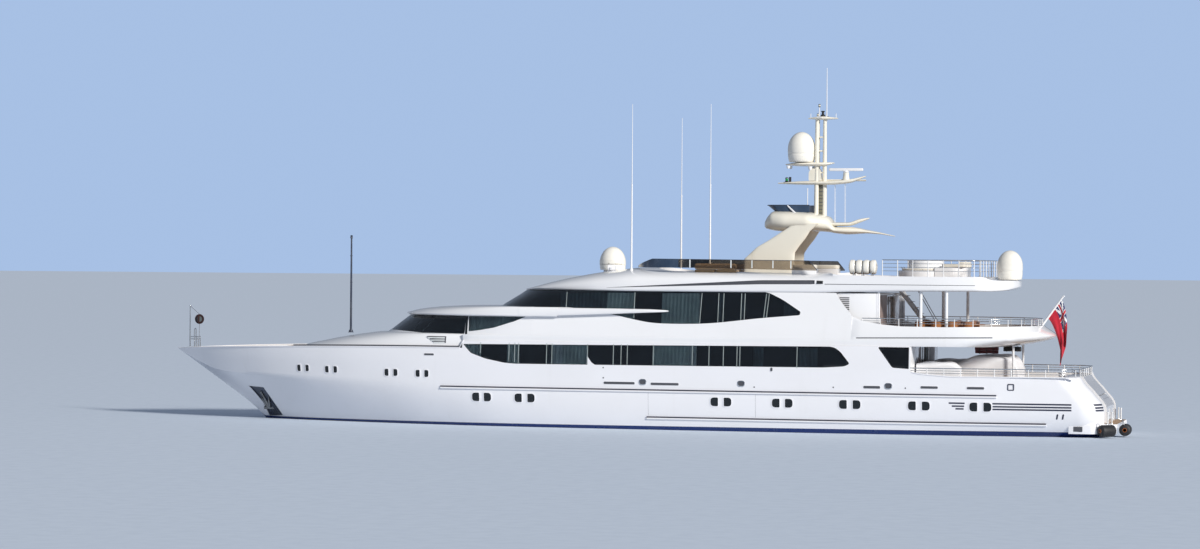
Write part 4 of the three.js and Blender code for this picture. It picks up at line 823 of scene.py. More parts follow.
def build_running_gear():
    made = Shape().profile([(6.0, -1.0), (5.2, -1.29), (-6.8, -1.29), (-8.2, -0.7)], -0.06, 0.06)
    for s in (1, -1):
        y = s * PROP.y
        made.tube([(-6.0, y, -0.76), (PROP.x + 0.32, y, PROP.z + 0.005)], 0.04, 16)
        for lean in (0.15, -0.15):
            made.tube([(PROP.x + 0.26, y, PROP.z + 0.02), (PROP.x + 0.2, y + lean, -0.42)], 0.036, 12)
        made.tube([(PROP.x + 0.33, y, PROP.z), (PROP.x + 0.1103, y, PROP.z)], 0.072, 20)
        made.tube([(RUDDER.x, y, RUDDER.top + GAP), (RUDDER.x, y, -0.38)], 0.042, 16)
        made.tube([fin_axis(s, -0.22), fin_axis(s, 0.024)], 0.062, 20)
    make("keel_and_shafts", made, [BOTTOM_BLUE], bevel=0.006)


# Upper deck: a slab whose bulwark runs out into a pointed stern.
UPPER_RINGS = [  # z, stern, inset
    [2.17, -9.85, 0.04], [2.25, -10.3, 0.015], [2.34, -10.68, 0.0], [2.44, -10.79, 0.0],
    [2.56, -10.64, 0.005], [2.711, -10.44, 0.02], [2.905, -10.44, 0.03],
]
UPPER_END = -8.2
AFT_POST = -9.835
UPPER_RAIL_LINE = [
    (4.1, UPPER_DECK), (-5.99, UPPER_DECK), (-5.995, 2.903), (-6.12, 2.84), (-6.3, 2.78), (-6.7, 2.706),
    (-7.2, 2.66), (-8.2, 2.65), (-11.5, 2.70), (-11.5, 3.2), (4.1, 3.2),
]
# The groove's cut faces take the dark grey: painted shade inside the groove.
UPPER_GROOVE = ([(-6.119, 2.352), (-9.45, 2.392)], [(-6.119, 2.377), (-9.45, 2.417)])


def upper_side(x, z):
    """Half-breadth of the upper deck and its bulwark."""
    stern, inset = smooth(UPPER_RINGS, z, 1), smooth(UPPER_RINGS, z, 2)
    u = clamp((UPPER_END - x) / (UPPER_END - stern))
    return max((side(x, z) - inset) * max(1 - u**3, 0.0) ** 0.5, 0.0)


def upper_plan(z, offset=0.0, front=CABIN_FRONT - GAP, stern=None):
    stern = smooth(UPPER_RINGS, z, 1) + offset if stern is None else stern
    sides = [(x, side(x, z) - smooth(UPPER_RINGS, z, 2) - offset) for x in steps(front, UPPER_END, 44)[:-1]]
    end = rounded_end(UPPER_END, stern, lambda x: side(x, z) - smooth(UPPER_RINGS, z, 2) - offset, 22, 3)
    return [(x, y, z) for x, y in both_sides([*sides, *end])]


def build_upper_deck():
    heights = [2.17, 2.19, 2.22, 2.25, 2.29, 2.34, 2.39, 2.44, 2.5, 2.56, 2.63, 2.711, 2.8, 2.905]
    body = Shape().loft([upper_plan(z) for z in heights])
    above = through(UPPER_RAIL_LINE)
    well_heights = (UPPER_DECK, 2.44, 2.56, 3.0)
    well = Shape().loft([upper_plan(z, BULWARK, HOUSE_AFT + 0.005, -10.38) for z in well_heights])
    groove = sheet_on(upper_side, *UPPER_GROOVE, 0.02, 0.034, 50, 1, 1).mirrored()
    make("upper_deck_shell", body, [HOUSE_WHITE, SHADOW_GREY], less=[above, well, groove],
         stands_for=["upper_deck"], sharp=28, bevel=0.006)
    floor = [(x, y) for x, y, z in upper_plan(UPPER_DECK, BULWARK + 0.05, HOUSE_AFT - 0.42, -10.3)]
    make("upper_teak", Shape().plan(floor, UPPER_DECK, UPPER_DECK + DECKING), [TEAK])
    for word, y in HANDS:
        rod = [(AFT_POST, y, MAIN_DECK), (AFT_POST, y, UPPER_UNDER + 0.02)]
        make(f"deck_post_{word}", Shape().tube(rod, 0.03, 20), [HOUSE_WHITE])


# Trunk and forward cabin.
TRUNK = [  # z, front, half-breadth
    [1.945, 8.98, 2.19], [1.993, 8.87, 2.19], [2.08, 8.45, 2.18], [2.18, 7.95, 2.165], [2.26, 7.45, 2.145],
    [2.31, 7.1, 2.12], [2.336, 6.9, 2.09],
]
CABIN = Sizes(start=2.3, back=2.2003, foot=2.338)
CABIN_NOSE = [[2.17, 6.85], [2.34, 6.65], [2.8, 6.03]]
CABIN_WINDOW = [
    (6.9, 2.405), (6.057, 2.392), (4.6, 2.311), (4.046, 2.297), (3.986, 2.36), (3.97, 2.79), (4.6, 2.802),
    (5.463, 2.81), (6.9, 2.81),
]
CABIN_LEAF = [(3.9, 2.79), (2.345, 2.795), (2.5, 2.73), (2.656, 2.667), (3.183, 2.505), (3.6, 2.432),
              (3.88, 2.4)]


def cabin_breadth(z, offset):
    return lambda x: side(min(x, 4.3), z) - offset


def cabin_plan(z, offset, back):
    front = smooth(CABIN_NOSE, z, 1) - offset * 1.3
    breadth = cabin_breadth(z, offset)
    end = rounded_end(max(CABIN.start, back + 0.05), front, breadth, 30)
    return [(x, y, z) for x, y in both_sides([*reversed(end), (back, breadth(back))])]


def cabin_solid(offset, back=CABIN.back, low=2.1, high=2.9, finish=0):
    return Shape().loft([cabin_plan(z, offset, back) for z in steps(low, high, 8)], finish)


def build_trunk():
    rings = []
    for z in steps(TRUNK[0][0], TRUNK[-1][0], 16):
        front, half = smooth(TRUNK, z, 1), smooth(TRUNK, z, 2)
        end = rounded_end(4.2, front, lambda x: half, 36)
        rings.append([(x, y, z) for x, y in both_sides([*reversed(end), (CABIN_FRONT, half)])])
    top = rings[-1]
    for share, rise in ((0.9, 0.01), (0.7, 0.02), (0.4, 0.027)):
        rings.append([(CABIN_FRONT + (x - CABIN_FRONT) * share, y * share, z + rise) for x, y, z in top])
    make("trunk_top", Shape().loft(rings), [HOUSE_WHITE], less=[cabin_solid(WALL, HOUSE_FRONT - 0.1)],
         sharp=50, stands_for=["foredeck_trunk"])


def build_cabin():
    back = HOUSE_FRONT - 0.1
    cutters = [
        cabin_solid(WALL, back, 2.0, 3.0, 1), through(CABIN_WINDOW, 0.03), through(CABIN_LEAF, 0.02),
        Shape().box((CABIN_FRONT - 0.006, -FAR, 2.0), (8.0, FAR, CABIN.foot)),
    ]
    make("cabin_frame", cabin_solid(0, low=UPPER_DECK + GAP, high=VISOR_UNDER + 0.002),
         [HOUSE_WHITE, HOUSE_WHITE], less=cutters, stands_for=["forward_cabin"], sharp=28)


# Visor over the forward cabin, with a wing down each side.
VISOR_RINGS = [  # z, front
    [2.8, 6.08], [2.812, 6.11], [2.842, 6.12], [2.88, 6.0], [2.94, 5.75], [3.01, 5.15], [3.04, 4.55],
]
VISOR_BREADTH = [[6.2, 2.29], [3.0, 2.33], [0, 2.33], [-1.4, 2.29]]
VISOR_BACK = 1.5
WING = [  # x, under, top
    [2.6, 2.803, 3.03], [2.2, 2.8, 3.029], [1.2, 2.838, 3.029], [0.006, 2.889, 3.026], [-0.9, 2.928, 3.016],
    [-1.25, 2.943, 3.0], [-1.361, 2.955, 2.985],
]


def wing_section(x):
    out = smooth(VISOR_BREADTH, x, 1) - 0.1 * clamp((-0.7 - x) / 0.66) ** 2
    low, high, round_off = straight(WING, x), straight(WING, x, 2), 0.035
    near = min(out, 2.15)
    mid = (low + high) / 2
    r = min(round_off, (high - low) * 0.45)
    section = [(near, low), (out - r, low), (out - r * 0.3, low + r * 0.3), (out, low + r), (out, mid),
               (out, high - r), (out - r * 0.3, high - r * 0.3), (out - r, high), (near, high)]
    return [(x, y, z) for y, z in section]


def build_visor():
    def breadth(x):
        return smooth(VISOR_BREADTH, x, 1) - 0.004

    rings = []
    for z in [2.8, 2.806, 2.82, 2.842, 2.86, 2.88, 2.91, 2.94, 2.975, 3.01, 3.03, 3.04]:
        edge = rounded_end(2.3, smooth(VISOR_RINGS, z, 1), breadth, 40)
        inset = 0.03 * (clamp((2.83 - z) / 0.03) ** 2 + clamp((z - 2.98) / 0.06) ** 2)
        outline = [*reversed(edge), (VISOR_BACK, breadth(VISOR_BACK))]
        rings.append([(x, copysign(max(abs(y) - inset, 0.0), y), z) for x, y in both_sides(outline)])
    top = rings[-1]
    for share, rise in ((0.85, 0.006), (0.6, 0.01)):
        rings.append([(VISOR_BACK + (x - VISOR_BACK) * share, y * share, z + rise) for x, y, z in top])
    visor = make("visor_deck", Shape().loft(rings), [HOUSE_WHITE], sharp=35, stands_for=["visor"])
    carve(visor, Shape().loft([wing_section(x) for x in steps(2.5, -1.361, 40)]).mirrored(), "UNION")
    carve(visor, house_solid(-GAP))
    smooth_faces(visor, 35)


# Upper house.
HOUSE_NOSE = [[3.04, 3.56], [3.449, 2.85]]
UPPER_WINDOW = [
    (-3.797, 3.47), (-3.939, 3.437), (-4.251, 3.288), (-4.5, 3.13), (-4.715, 2.991), (-4.7, 2.92),
    (-4.66, 2.903), (-3.726, 2.826), (-2.966, 2.735), (-2.55, 2.69), (-2.124, 2.663), (-1.483, 2.656),
    (-1.1, 2.666), (-0.84, 2.688), (-0.418, 2.766), (0.056, 2.874), (0.7, 2.98), (1.2, 3.0403),
    (4.0, 3.0403), (4.0, 3.47),
]
HOUSE_AFT_EDGE = [
    (-5.582, 3.6), (-5.582, 3.452), (-5.66, 3.33), (-5.82, 3.12), (-5.96, 2.96), (-5.993, 2.903),
    (-5.993, 2.2), (-7.0, 2.2), (-7.0, 3.6),
]


def house_side(x, z):
    return side(min(x, 2.0), z)


def house_solid(offset):
    front, aft = HOUSE_FRONT - max(offset, 0), HOUSE_AFT - offset
    rings = []
    for z in steps(2.2, 3.6, 10):
        edge = [(x, house_side(x, z) - offset) for x in steps(front, aft, 20)]
        rings.append([(x, y, z) for x, y in both_sides(edge)])
    return Shape().loft(rings)


def nose_path(z, offset):
    """The line of the upper glass in plan, from aft to port round the nose to aft on the starboard side."""
    front = smooth(HOUSE_NOSE, z, 1) - offset * 1.2
    sides = [(x, house_side(x, z) - offset) for x in steps(-5.0, 0.6, 28)[:-1]]
    end = rounded_end(0.6, front, lambda x: house_side(x, z) - offset, 34, 3)
    port = [*sides, *end]
    return [*port, *[(x, -y) for x, y in reversed(port[:-1])]]


def nose_shell(out, thick, low, high):
    """A thin shell along the nose path."""
    heights = steps(low, high, 8)
    faces = [nose_path(z, out) for z in heights]
    backs = [nose_path(z, out + thick) for z in heights]
    rings = []
    for k in range(len(faces[0])):
        face = [(*path[k], z) for path, z in zip(faces, heights)]
        back = [(*path[k], z) for path, z in zip(backs, heights)]
        rings.append(face + back[::-1])
    return Shape().loft(rings)


def build_upper_house():
    wall = sheet_on(house_side, [(HOUSE_FRONT, UPPER_DECK + GAP), (HOUSE_AFT, UPPER_DECK + GAP)],
                    [(HOUSE_FRONT, ROOF_UNDER + 0.004), (HOUSE_AFT, ROOF_UNDER + 0.004)], 0, WALL, 60,
                    16).mirrored()
    radii = [0.0, 0.05, 0.1, 0.1, 0.04, 0.03, 0.04, 0.3, 0.3, 0.2, 0.2, 0.2, 0.2, 0.2, 0.3, 0.3, 0.3, 0.1,
             0, 0]
    cutters = [through(UPPER_WINDOW, radii), through(HOUSE_AFT_EDGE, [0, 0.06, 0, 0, 0, 0.06, 0, 0, 0])]
    make("upper_sides", wall, [HOUSE_WHITE], less=cutters,
         stands_for=["upper_side_port", "upper_side_starboard"], sharp=28)
    glass = make("upper_glass", nose_shell(GLASS_SET_IN, GLASS, 2.6, ROOF_UNDER - 0.001), [DARK_GLASS],
                 stands_for=["upper_windows"])
    carve(glass, through(UPPER_WINDOW, radii), "INTERSECT")


FORE_DOME = Sizes(x=0.642, foot=3.99, radius=0.34, high=0.6)
STERN_DOME = Sizes(x=-9.61, foot=3.82, radius=0.32, high=0.735)
# Sundeck: a slab with a domed brow and a bulwark.
SUN = [  # x, half, under, shoulder, top
    [2.9, 0.09, 3.461, 3.466, 3.474], [2.78, 0.64, 3.46, 3.475, 3.5], [2.5, 1.13, 3.46, 3.485, 3.56],
    [2.0, 1.54, 3.46, 3.5, 3.69], [1.3, 1.86, 3.46, 3.53, 3.84], [0.5, 2.04, 3.46, 3.6, 3.97],
    [-0.4, 2.11, 3.46, 3.68, 4.062], [-1.9, 2.115, 3.46, 3.7, 4.062], [-5.04, 2.11, 3.462, 3.69, 4.01],
    [-5.7, 2.1, 3.485, 3.69, 3.909], [-7.7, 2.07, 3.52, 3.68, 3.885], [-9.0, 1.9, 3.528, 3.68, 3.885],
    [-9.19, 1.79, 3.53, 3.68, 3.88], [-9.35, 1.6, 3.532, 3.68, 3.81], [-9.5, 1.37, 3.54, 3.685, 3.8],
    [-9.65, 1.08, 3.56, 3.69, 3.8], [-9.78, 0.72, 3.6, 3.7, 3.796], [-9.85, 0.4, 3.63, 3.705, 3.792],
    [-9.88, 0.2, 3.65, 3.71, 3.785],
]
SUN_STATIONS = (
    steps(2.9, 2.5, 8)[:-1] + steps(2.5, 0.5, 16)[:-1] + steps(0.5, -8.5, 54)[:-1]
    + steps(-8.5, -9.5, 18)[:-1] + steps(-9.5, -9.88, 16)
)
# A wedge-shaped slot cut into the brow's side; its cut faces take the dark grey as painted shade.
WEDGE = ([(0.28, 3.545), (-3.668, 3.663), (-4.955, 3.674), (-5.045, 3.682)],
         [(0.28, 3.549), (-3.668, 3.764), (-4.955, 3.775), (-5.045, 3.772)])


# The stair between the upper deck and the sundeck: open treads between two strings, with a rail each side.
STAIR_UP = Sizes(top=-6.61, foot=-7.56, inner=-1.3, outer=-1.72, risers=9)


def sun_row(x):
    return [smooth(SUN, x, column) for column in range(1, 5)]


def sun_section(x):
    half, under, shoulder, top = sun_row(x)
    chamfer = min(0.06, half * 0.3, (top - under) * 0.4)
    low = [(half - chamfer * (1 - sin(t)), under + chamfer * (1 - cos(t))) for t in steps(0, pi / 2, 4)]
    soft = clamp((x + 5.5) / 0.6)  # the brow's crown, then an upright bulwark
    crown = [
        (half * cos(t) ** 0.62, shoulder + (top - shoulder) * sin(t) ** 0.9)
        for t in steps(0, pi / 2, 12)[:-1]
    ]
    upright = [(half, shoulder + (top - shoulder) * min(1, k / 8)) for k in range(9)]
    upright += [(half - 0.02, top), (half - 0.05, top), (half * 0.5, top)]
    blend = [(a[0] * soft + b[0] * (1 - soft), a[1] * soft + b[1] * (1 - soft))
             for a, b in zip(crown, upright)]
    edge = [*low, *blend[1:], (0.0, top)]
    ring = [(x, y, z) for y, z in edge]
    return [*ring, *[(x, -y, z) for y, z in reversed(edge[:-1])]]


def sun_side(x, z):
    """Half-breadth of the sundeck's outer face, up to its shoulder."""
    half, _, shoulder, top = sun_row(x)
    if z <= shoulder or x < -5.2:
        return half
    s = clamp((z - shoulder) / max(top - shoulder, 1e-6)) ** (1 / 0.9)
    return half * cos(asin(min(s, 1.0))) ** 0.62


def sun_floor():
    fore = [(x, y) for x, y in reversed(rounded_end(-1.5, -0.7, lambda x: 1.65, 10))]
    aft = [(-5.0, 1.65), (-5.6, 1.98), (-7.7, 1.96), (-8.6, 1.88), (-9.15, 1.69)]
    return both_sides([*fore, *aft])


def build_sundeck():
    body = Shape().loft([sun_section(x) for x in SUN_STATIONS])
    cockpit = Shape().plan(sun_floor(), SUN_DECK, 4.4, 0)
    wedge = sheet_on(sun_side, *WEDGE, 0.02, 0.04, 60, 1, 1).mirrored()
    hatch = Shape().box((STAIR_UP.foot + 0.2, STAIR_UP.outer - 0.04, 3.4),
                        (STAIR_UP.top, STAIR_UP.inner + 0.04, 4.4))
    make("sundeck_shell", body, [HOUSE_WHITE, SHADOW_GREY], less=[cockpit, wedge, hatch],
         stands_for=["sundeck"], sharp=40)
    marks = Shape()
    sheet_on(sun_side, [(-5.095, 3.685), (-5.255, 3.69)], [(-5.095, 3.768), (-5.255, 3.76)], 0.012, 0.04, 8,
             1, 0, marks)
    sheet_on(sun_side, [(-5.3, 3.672), (-9.0, 3.668)], [(-5.3, 3.688), (-9.0, 3.68)], 0.001, 0.006, 60, 1,
             1, marks)
    make("sundeck_marks", marks.mirrored(), [BLACK, SHADOW_GREY])
    boards = Shape().plan([(x, y * 0.985) for x, y in sun_floor()], SUN_DECK, SUN_DECK + DECKING)
    make("sundeck_teak", boards, [TEAK], less=[hatch])
    build_stair_up()
    posts = Shape()
    for x in (-7.664, -8.298):
        for s in (1, -1):
            posts.tube([(x, s * 1.9, UPPER_DECK + GAP), (x, s * 1.9, 3.55)], 0.04, 20)
    make("sundeck_posts", posts, [HOUSE_WHITE])
    plinths = Shape()
    for at in (FORE_DOME, STERN_DOME):
        r = at.radius * 0.7
        outline = [(0.0, 3.69), (r, 3.69), (r, at.foot - 0.012), (r - 0.012, at.foot), (0.0, at.foot)]
        plinths.lathe(outline, (at.x, 0, 0), 48)
    make("dome_plinths", plinths, [HOUSE_WHITE])


def build_stair_up():
    flight, rail = Shape(), Shape()
    count = STAIR_UP.risers - 1
    run, rise = (STAIR_UP.foot - STAIR_UP.top) / count, (UPPER_DECK - SUN_DECK) / STAIR_UP.risers
    x0, z0 = STAIR_UP.top - GAP, SUN_DECK + rise
    for k in range(count):
        x = x0 + run * k
        z = z0 + rise * k
        flight.box((x + run, STAIR_UP.outer + 0.02, z - 0.02), (x, STAIR_UP.inner - 0.02, z - 0.004), 0)
        flight.box((x + run + 0.01, STAIR_UP.outer + 0.04, z - 0.004), (x - 0.01, STAIR_UP.inner - 0.04, z),
                   1)
    foot = (x0 + run * count, UPPER_DECK + GAP)
    string = [(x0, z0 - 0.075), (x0, z0), (x0 + run * 0.3, z0), (foot[0], foot[1] + 0.06), foot,
              (foot[0] + 0.06, foot[1])]
    for y in (STAIR_UP.outer, STAIR_UP.inner - 0.02):
        flight.profile(string, y, y + 0.02)
        path = [(x0 - 0.04, SUN_DECK + 0.42), (x0 - 0.22, z0 + 0.42), (foot[0] + 0.02, foot[1] + 0.42),
                (foot[0], foot[1] + 0.36), (foot[0], foot[1] + 0.02)]
        rail.tube([(x, y + 0.01, z) for x, z in path], 0.012, 10)
    make("deck_stair_flight", flight, [HOUSE_WHITE, TEAK_TRIM], stands_for=["deck_stair"], bevel=0.003)
    make("deck_stair_rails", rail, [STAINLESS], sharp=70)


def build_searchlight():
    """A searchlight and small fittings on the brow beside the forward dome."""
    made, y = Shape(), 0.62
    for x, z, r, high in ((0.56, 3.93, 0.03, 0.075), (0.83, 3.8, 0.022, 0.06), (0.74, 3.82, 0.03, 0.035),
                          (0.1, 3.96, 0.022, 0.05)):
        made.lathe([(0.0, z - 0.08), (r * 1.5, z - 0.08), (r * 1.3, z), (r, z + 0.01), (r, z + high),
                    (0.0, z + high)], (x, y, 0), 20)
    housing = [(0.0, -0.09), (0.06, -0.09), (0.075, -0.06), (0.08, 0.06), (0.086, 0.08), (0.086, 0.1),
               (0.0, 0.1)]
    made.lathe(housing, (0.5, y, 4.045), 28, 0, axis=0)
    made.lathe([(0.0, 0.1005), (0.076, 0.1005), (0.06, 0.112), (0.0, 0.118)], (0.5, y, 4.045), 28, 1, axis=0)
    made.box((0.47, y - 0.095, 3.99), (0.53, y + 0.095, 4.005), 0)
    for s in (1, -1):
        made.box((0.47, y + s * 0.095 - 0.006, 3.99), (0.53, y + s * 0.095 + 0.006, 4.06), 0)
    make("searchlight", made, [HOUSE_WHITE, FRAME_LIGHT], sharp=45)


SCREEN = Sizes(top=4.28, front=-0.13, aft=-5.08, half=1.96)
SCREEN_FOOT = [(0.4, 3.8), (0.4, 4.0623), (-1.9, 4.0623), (-5.04, 4.0113), (-6.0, 4.0113), (-6.0, 3.8)]
SCREEN_TOP = [
    (0.4, 4.4), (0.4, 4.0), (-0.13, 4.063), (-0.82, 4.28), (-4.88, 4.257), (-5.08, 4.012), (-5.3, 3.95),
    (-5.3, 4.4),
]


def screen_path(offset):
    end = [(SCREEN.aft - 0.2 - offset, SCREEN.half - offset)]
    sides = [(x, SCREEN.half - offset) for x in steps(SCREEN.aft, -1.9, 16)[:-1]]
    nose = rounded_end(-1.9, SCREEN.front - offset, lambda x: SCREEN.half - offset, 24, 3)
    port = [*end, *sides, *nose]
    return [*port, *[(x, -y) for x, y in reversed(port[:-1])]]


SCREEN_SPLIT = -1.55  # the fore end is dark, the sides are clear smoked glass
SCREEN_POSTS = [-1.85, -2.9, -3.434, -3.966, -4.42]


def screen_head(x):
    return straight([(-0.131, 4.064), (-0.82, 4.277), (-4.88, 4.254), (-5.078, 4.02)], x)


def build_screen():
    outer, inner = screen_path(0), screen_path(GLASS)
    rings = [[(*a, 3.9), (*a, 4.4), (*b, 4.4), (*b, 3.9)] for a, b in zip(outer, inner)]
    trims = [through(SCREEN_TOP), through(SCREEN_FOOT)]
    aft = Shape().box((SCREEN_SPLIT, -FAR, 3.5), (3.0, FAR, 5.0))
    fore = Shape().box((-9.0, -FAR, 3.5), (SCREEN_SPLIT + GAP, FAR, 5.0))
    make("screen_glass", Shape().loft(rings), [SMOKED_GLASS], stands_for=["sundeck_screen"],
         less=[*trims, aft])
    make("screen_front", Shape().loft(rings), [BLUE_STEEL], less=[*trims, fore])
    cap, posts = Shape(), Shape()
    mid = screen_path(GLASS / 2)
    line_up = [(x, y, screen_head(x) + 0.001) for x, y in mid if -5.078 < x < -0.14]
    cap.tube(line_up, 0.0075, 8)
    for s in (1, -1):
        y0, y1 = sorted((s * (SCREEN.half + 0.001), s * (SCREEN.half + 0.016)))
        for x in SCREEN_POSTS:
            posts.box((x - 0.013, y0, 4.0635), (x + 0.013, y1, screen_head(x) - 0.004), 0)
        posts.tube([(-1.605, s * (SCREEN.half - 0.06), 4.25), (-1.404, s * (SCREEN.half - 0.09), 4.066)],
                   0.011, 8)
        posts.tube([(-4.885, s * (SCREEN.half + 0.004), 4.257), (-5.076, s * (SCREEN.half + 0.004), 4.025)],
                   0.01, 8, 1)
    make("screen_cap", cap, [DARK_STEEL], sharp=60)
    make("screen_posts", posts, [FRAME_LIGHT, DARK_STEEL])


def build_sun_seats():
    """Padded lockers by the mast legs and low settees along the screen."""
    lockers, pads, foot = Shape(), Shape(), SUN_DECK + DECKING + GAP
    for s in (1, -1):
        y0, y1 = sorted((s * 1.36, s * 1.76))
        for kind, x0, x1, high in ((0, -5.0, -4.4, 4.06), (1, -3.0, -1.9, 3.92)):
            lockers.box((x0, y0, foot), (x1, y1, high))
            places = steps(x0, x1, 1 + kind)
            for a, b in zip(places, places[1:]):
                cushion(pads, (a + 0.01, y0 + 0.01, high + GAP), (b - 0.01, y1 - 0.01, high + 0.1), kind)
            if kind:
                lean = sorted((s * 1.66, s * 1.76))
                cushion(pads, (x0 + 0.02, lean[0], high + 0.101), (x1 - 0.02, lean[1], 4.17), 1)
    make("sundeck_lockers", lockers, [HOUSE_WHITE], bevel=0.008)
    make("sundeck_seat_cushions", pads, [CUSHION_CLOTH, TAN_CLOTH], sharp=60)


# Side glass of the main deck.
SIDE_PANES = [  # name, outline, its corner radii, fore end, aft end, nodes
    ("main_glass", MAIN_WINDOW, 0.05, 4.05, -6.05, ["main_window_port", "main_window_starboard"]),
    ("aft_lights", AFT_LIGHT, AFT_LIGHT_CORNERS, -6.6, -7.46, ["aft_light_port", "aft_light_starboard"]),
]


def build_main_glass():
    for name, outline, radius, x0, x1, nodes in SIDE_PANES:
        sheet = sheet_on(side, [(x0, 1.55), (x1, 1.55)], [(x0, 2.165), (x1, 2.165)], -GLASS_SET_IN, GLASS,
                         60, 8)
        glass = make(name, sheet.mirrored(), [DARK_GLASS], stands_for=nodes)
        carve(glass, through(outline, radius), "INTERSECT")


def build_cabin_glass():
    shell = cabin_solid(GLASS_SET_IN, low=2.2, high=VISOR_UNDER - 0.001)
    glass = make("cabin_glass", shell, [DARK_GLASS],
                 less=[cabin_solid(GLASS_SET_IN + GLASS, HOUSE_FRONT - 0.1)],
                 stands_for=["cabin_windows", "cabin_leaf_port", "cabin_leaf_starboard"])
    both = through(CABIN_WINDOW, 0.03)
    both.profile(rounded(CABIN_LEAF, 0.02), -FAR, FAR)
    carve(glass, both, "INTERSECT")


# What is let into or laid on the hull sides, the same on both hands.
PORTHOLES = [  # middle of a pair in x, height, half the distance between the two, width, height of each
    (8.495, 1.388, 0.124, 0.105, 0.175), (7.662, 1.37, 0.1245, 0.11, 0.175),
    (5.947, 1.325, 0.126, 0.12, 0.185), (5.085, 1.315, 0.1205, 0.12, 0.185),
    (3.4775, 0.745, 0.1585, 0.2, 0.225), (2.3315, 0.742, 0.1705, 0.2, 0.225),
    (-2.749, 0.733, 0.169, 0.2, 0.225), (-4.3005, 0.73, 0.1635, 0.2, 0.225),
    (-5.9875, 0.726, 0.1705, 0.2, 0.225), (-7.694, 0.722, 0.171, 0.2, 0.225),
    (-9.195, 0.718, 0.171, 0.2, 0.225),
]
SLOTS = [  # aft end, fore end, height, breadth of the slot
    (4.76, 5.026, 1.805, 0.05), (-0.54, 0.262, 1.16, 0.062), (-1.67, -0.952, 1.153, 0.062),
    (-6.74, -6.323, 1.16, 0.064), (-8.159, -7.733, 1.177, 0.06), (-9.287, -8.865, 1.176, 0.06),
]
FAIRLEADS = [(-0.745, 1.194), (-3.259, 1.193), (-6.941, 1.192)]
SMALL_OUTLETS = [(0.275, 1.54), (0.272, 1.285), (-3.59, 1.115), (-5.576, 1.142), (-7.36, 1.151)]
HATCH = (-9.929, 1.21, 0.075)
STRIPES = [  # height, and where the three staggered short ones end
    (0.804, -8.424, -8.814), (0.732, -8.5, -8.8), (0.666, -8.59, -8.79),
]
STRIPE_AFT = (-9.487, -11.388)
UPPER_RUB = (4.58, -9.583, 0.99)
LOWER_RUB = (-0.843, -10.77, 0.31)
SEAMS = [(-0.885, 0.36, 0.93), (-3.62, 0.36, 0.93)]


def d_shape(x, z, width, height, aft):
    """A porthole whose aft (or fore) corners are the rounder."""
    w, h = width / 2, height / 2
    corners = block(x - w, x + w, z - h, z + h)
    full, small = min(height * 0.42, width * 0.5), min(0.035, width * 0.25)
    return rounded(corners, [full, small, small, full] if aft else [small, full, full, small], 6)


def grown(outline, by):
    """An outline moved outwards."""
    points = [Vector(p) for p in outline]
    area = sum(a.x * b.y - b.x * a.y for a, b in zip(points, points[1:] + points[:1]))
    sign = by if area > 0 else -by
    made = []
    for k, p in enumerate(points):
        across = (points[(k + 1) % len(points)] - points[k - 1]).normalized()
        made.append((p.x + across.y * sign, p.y - across.x * sign))
    return made


def capsule(x0, x1, z, breadth):
    r = breadth / 2
    return rounded(block(x0, x1, z - r, z + r), r, 6)


def rim_and_glass(rims, panes, outline):
    ring_on(side, grown(outline, -0.004), grown(outline, 0.024), 0.009, 0.021, 0, rims)
    badge_on(side, outline, 0.0018, 0.012, 0, panes)


def build_side_fittings():
    rims, panes, dark = Shape(), Shape(), Shape()
    for x, z, apart, width, height in PORTHOLES:
        for s in (1, -1):
            rim_and_glass(rims, panes, d_shape(x + s * apart, z, width, height, s < 0))
    # The openings of slots, fairleads and outlets are dark grey sheets: painted shade inside them.
    for x0, x1, z, breadth in SLOTS:
        outline = capsule(x0, x1, z, breadth)
        ring_on(side, outline, grown(outline, 0.012), 0.006, 0.016, 0, rims)
        badge_on(side, outline, 0.0015, 0.01, 0, dark)
    for x, z in FAIRLEADS:
        outline = rounded(block(x - 0.075, x + 0.075, z - 0.055, z + 0.055), 0.05, 6)
        ring_on(side, outline, grown(outline, 0.022), 0.016, 0.026, 1, rims)
        badge_on(side, outline, 0.0015, 0.01, 0, dark)
    for x, z in SMALL_OUTLETS:
        badge_on(side, rounded(square(x, z, 0.017), 0.016), 0.004, 0.014, 0, dark)
    badge_on(side, rounded(block(-4.05, -4.0, 1.515, 1.605), 0.024), 0.012, 0.03, 0, dark)
    make("side_rims", rims.mirrored(), [HULL_WHITE, STAINLESS], sharp=50)
    make("porthole_glass", panes.mirrored(), [BLACK_GLASS], sharp=40)
    make("side_slots", dark.mirrored(), [SHADOW_GREY], sharp=40)


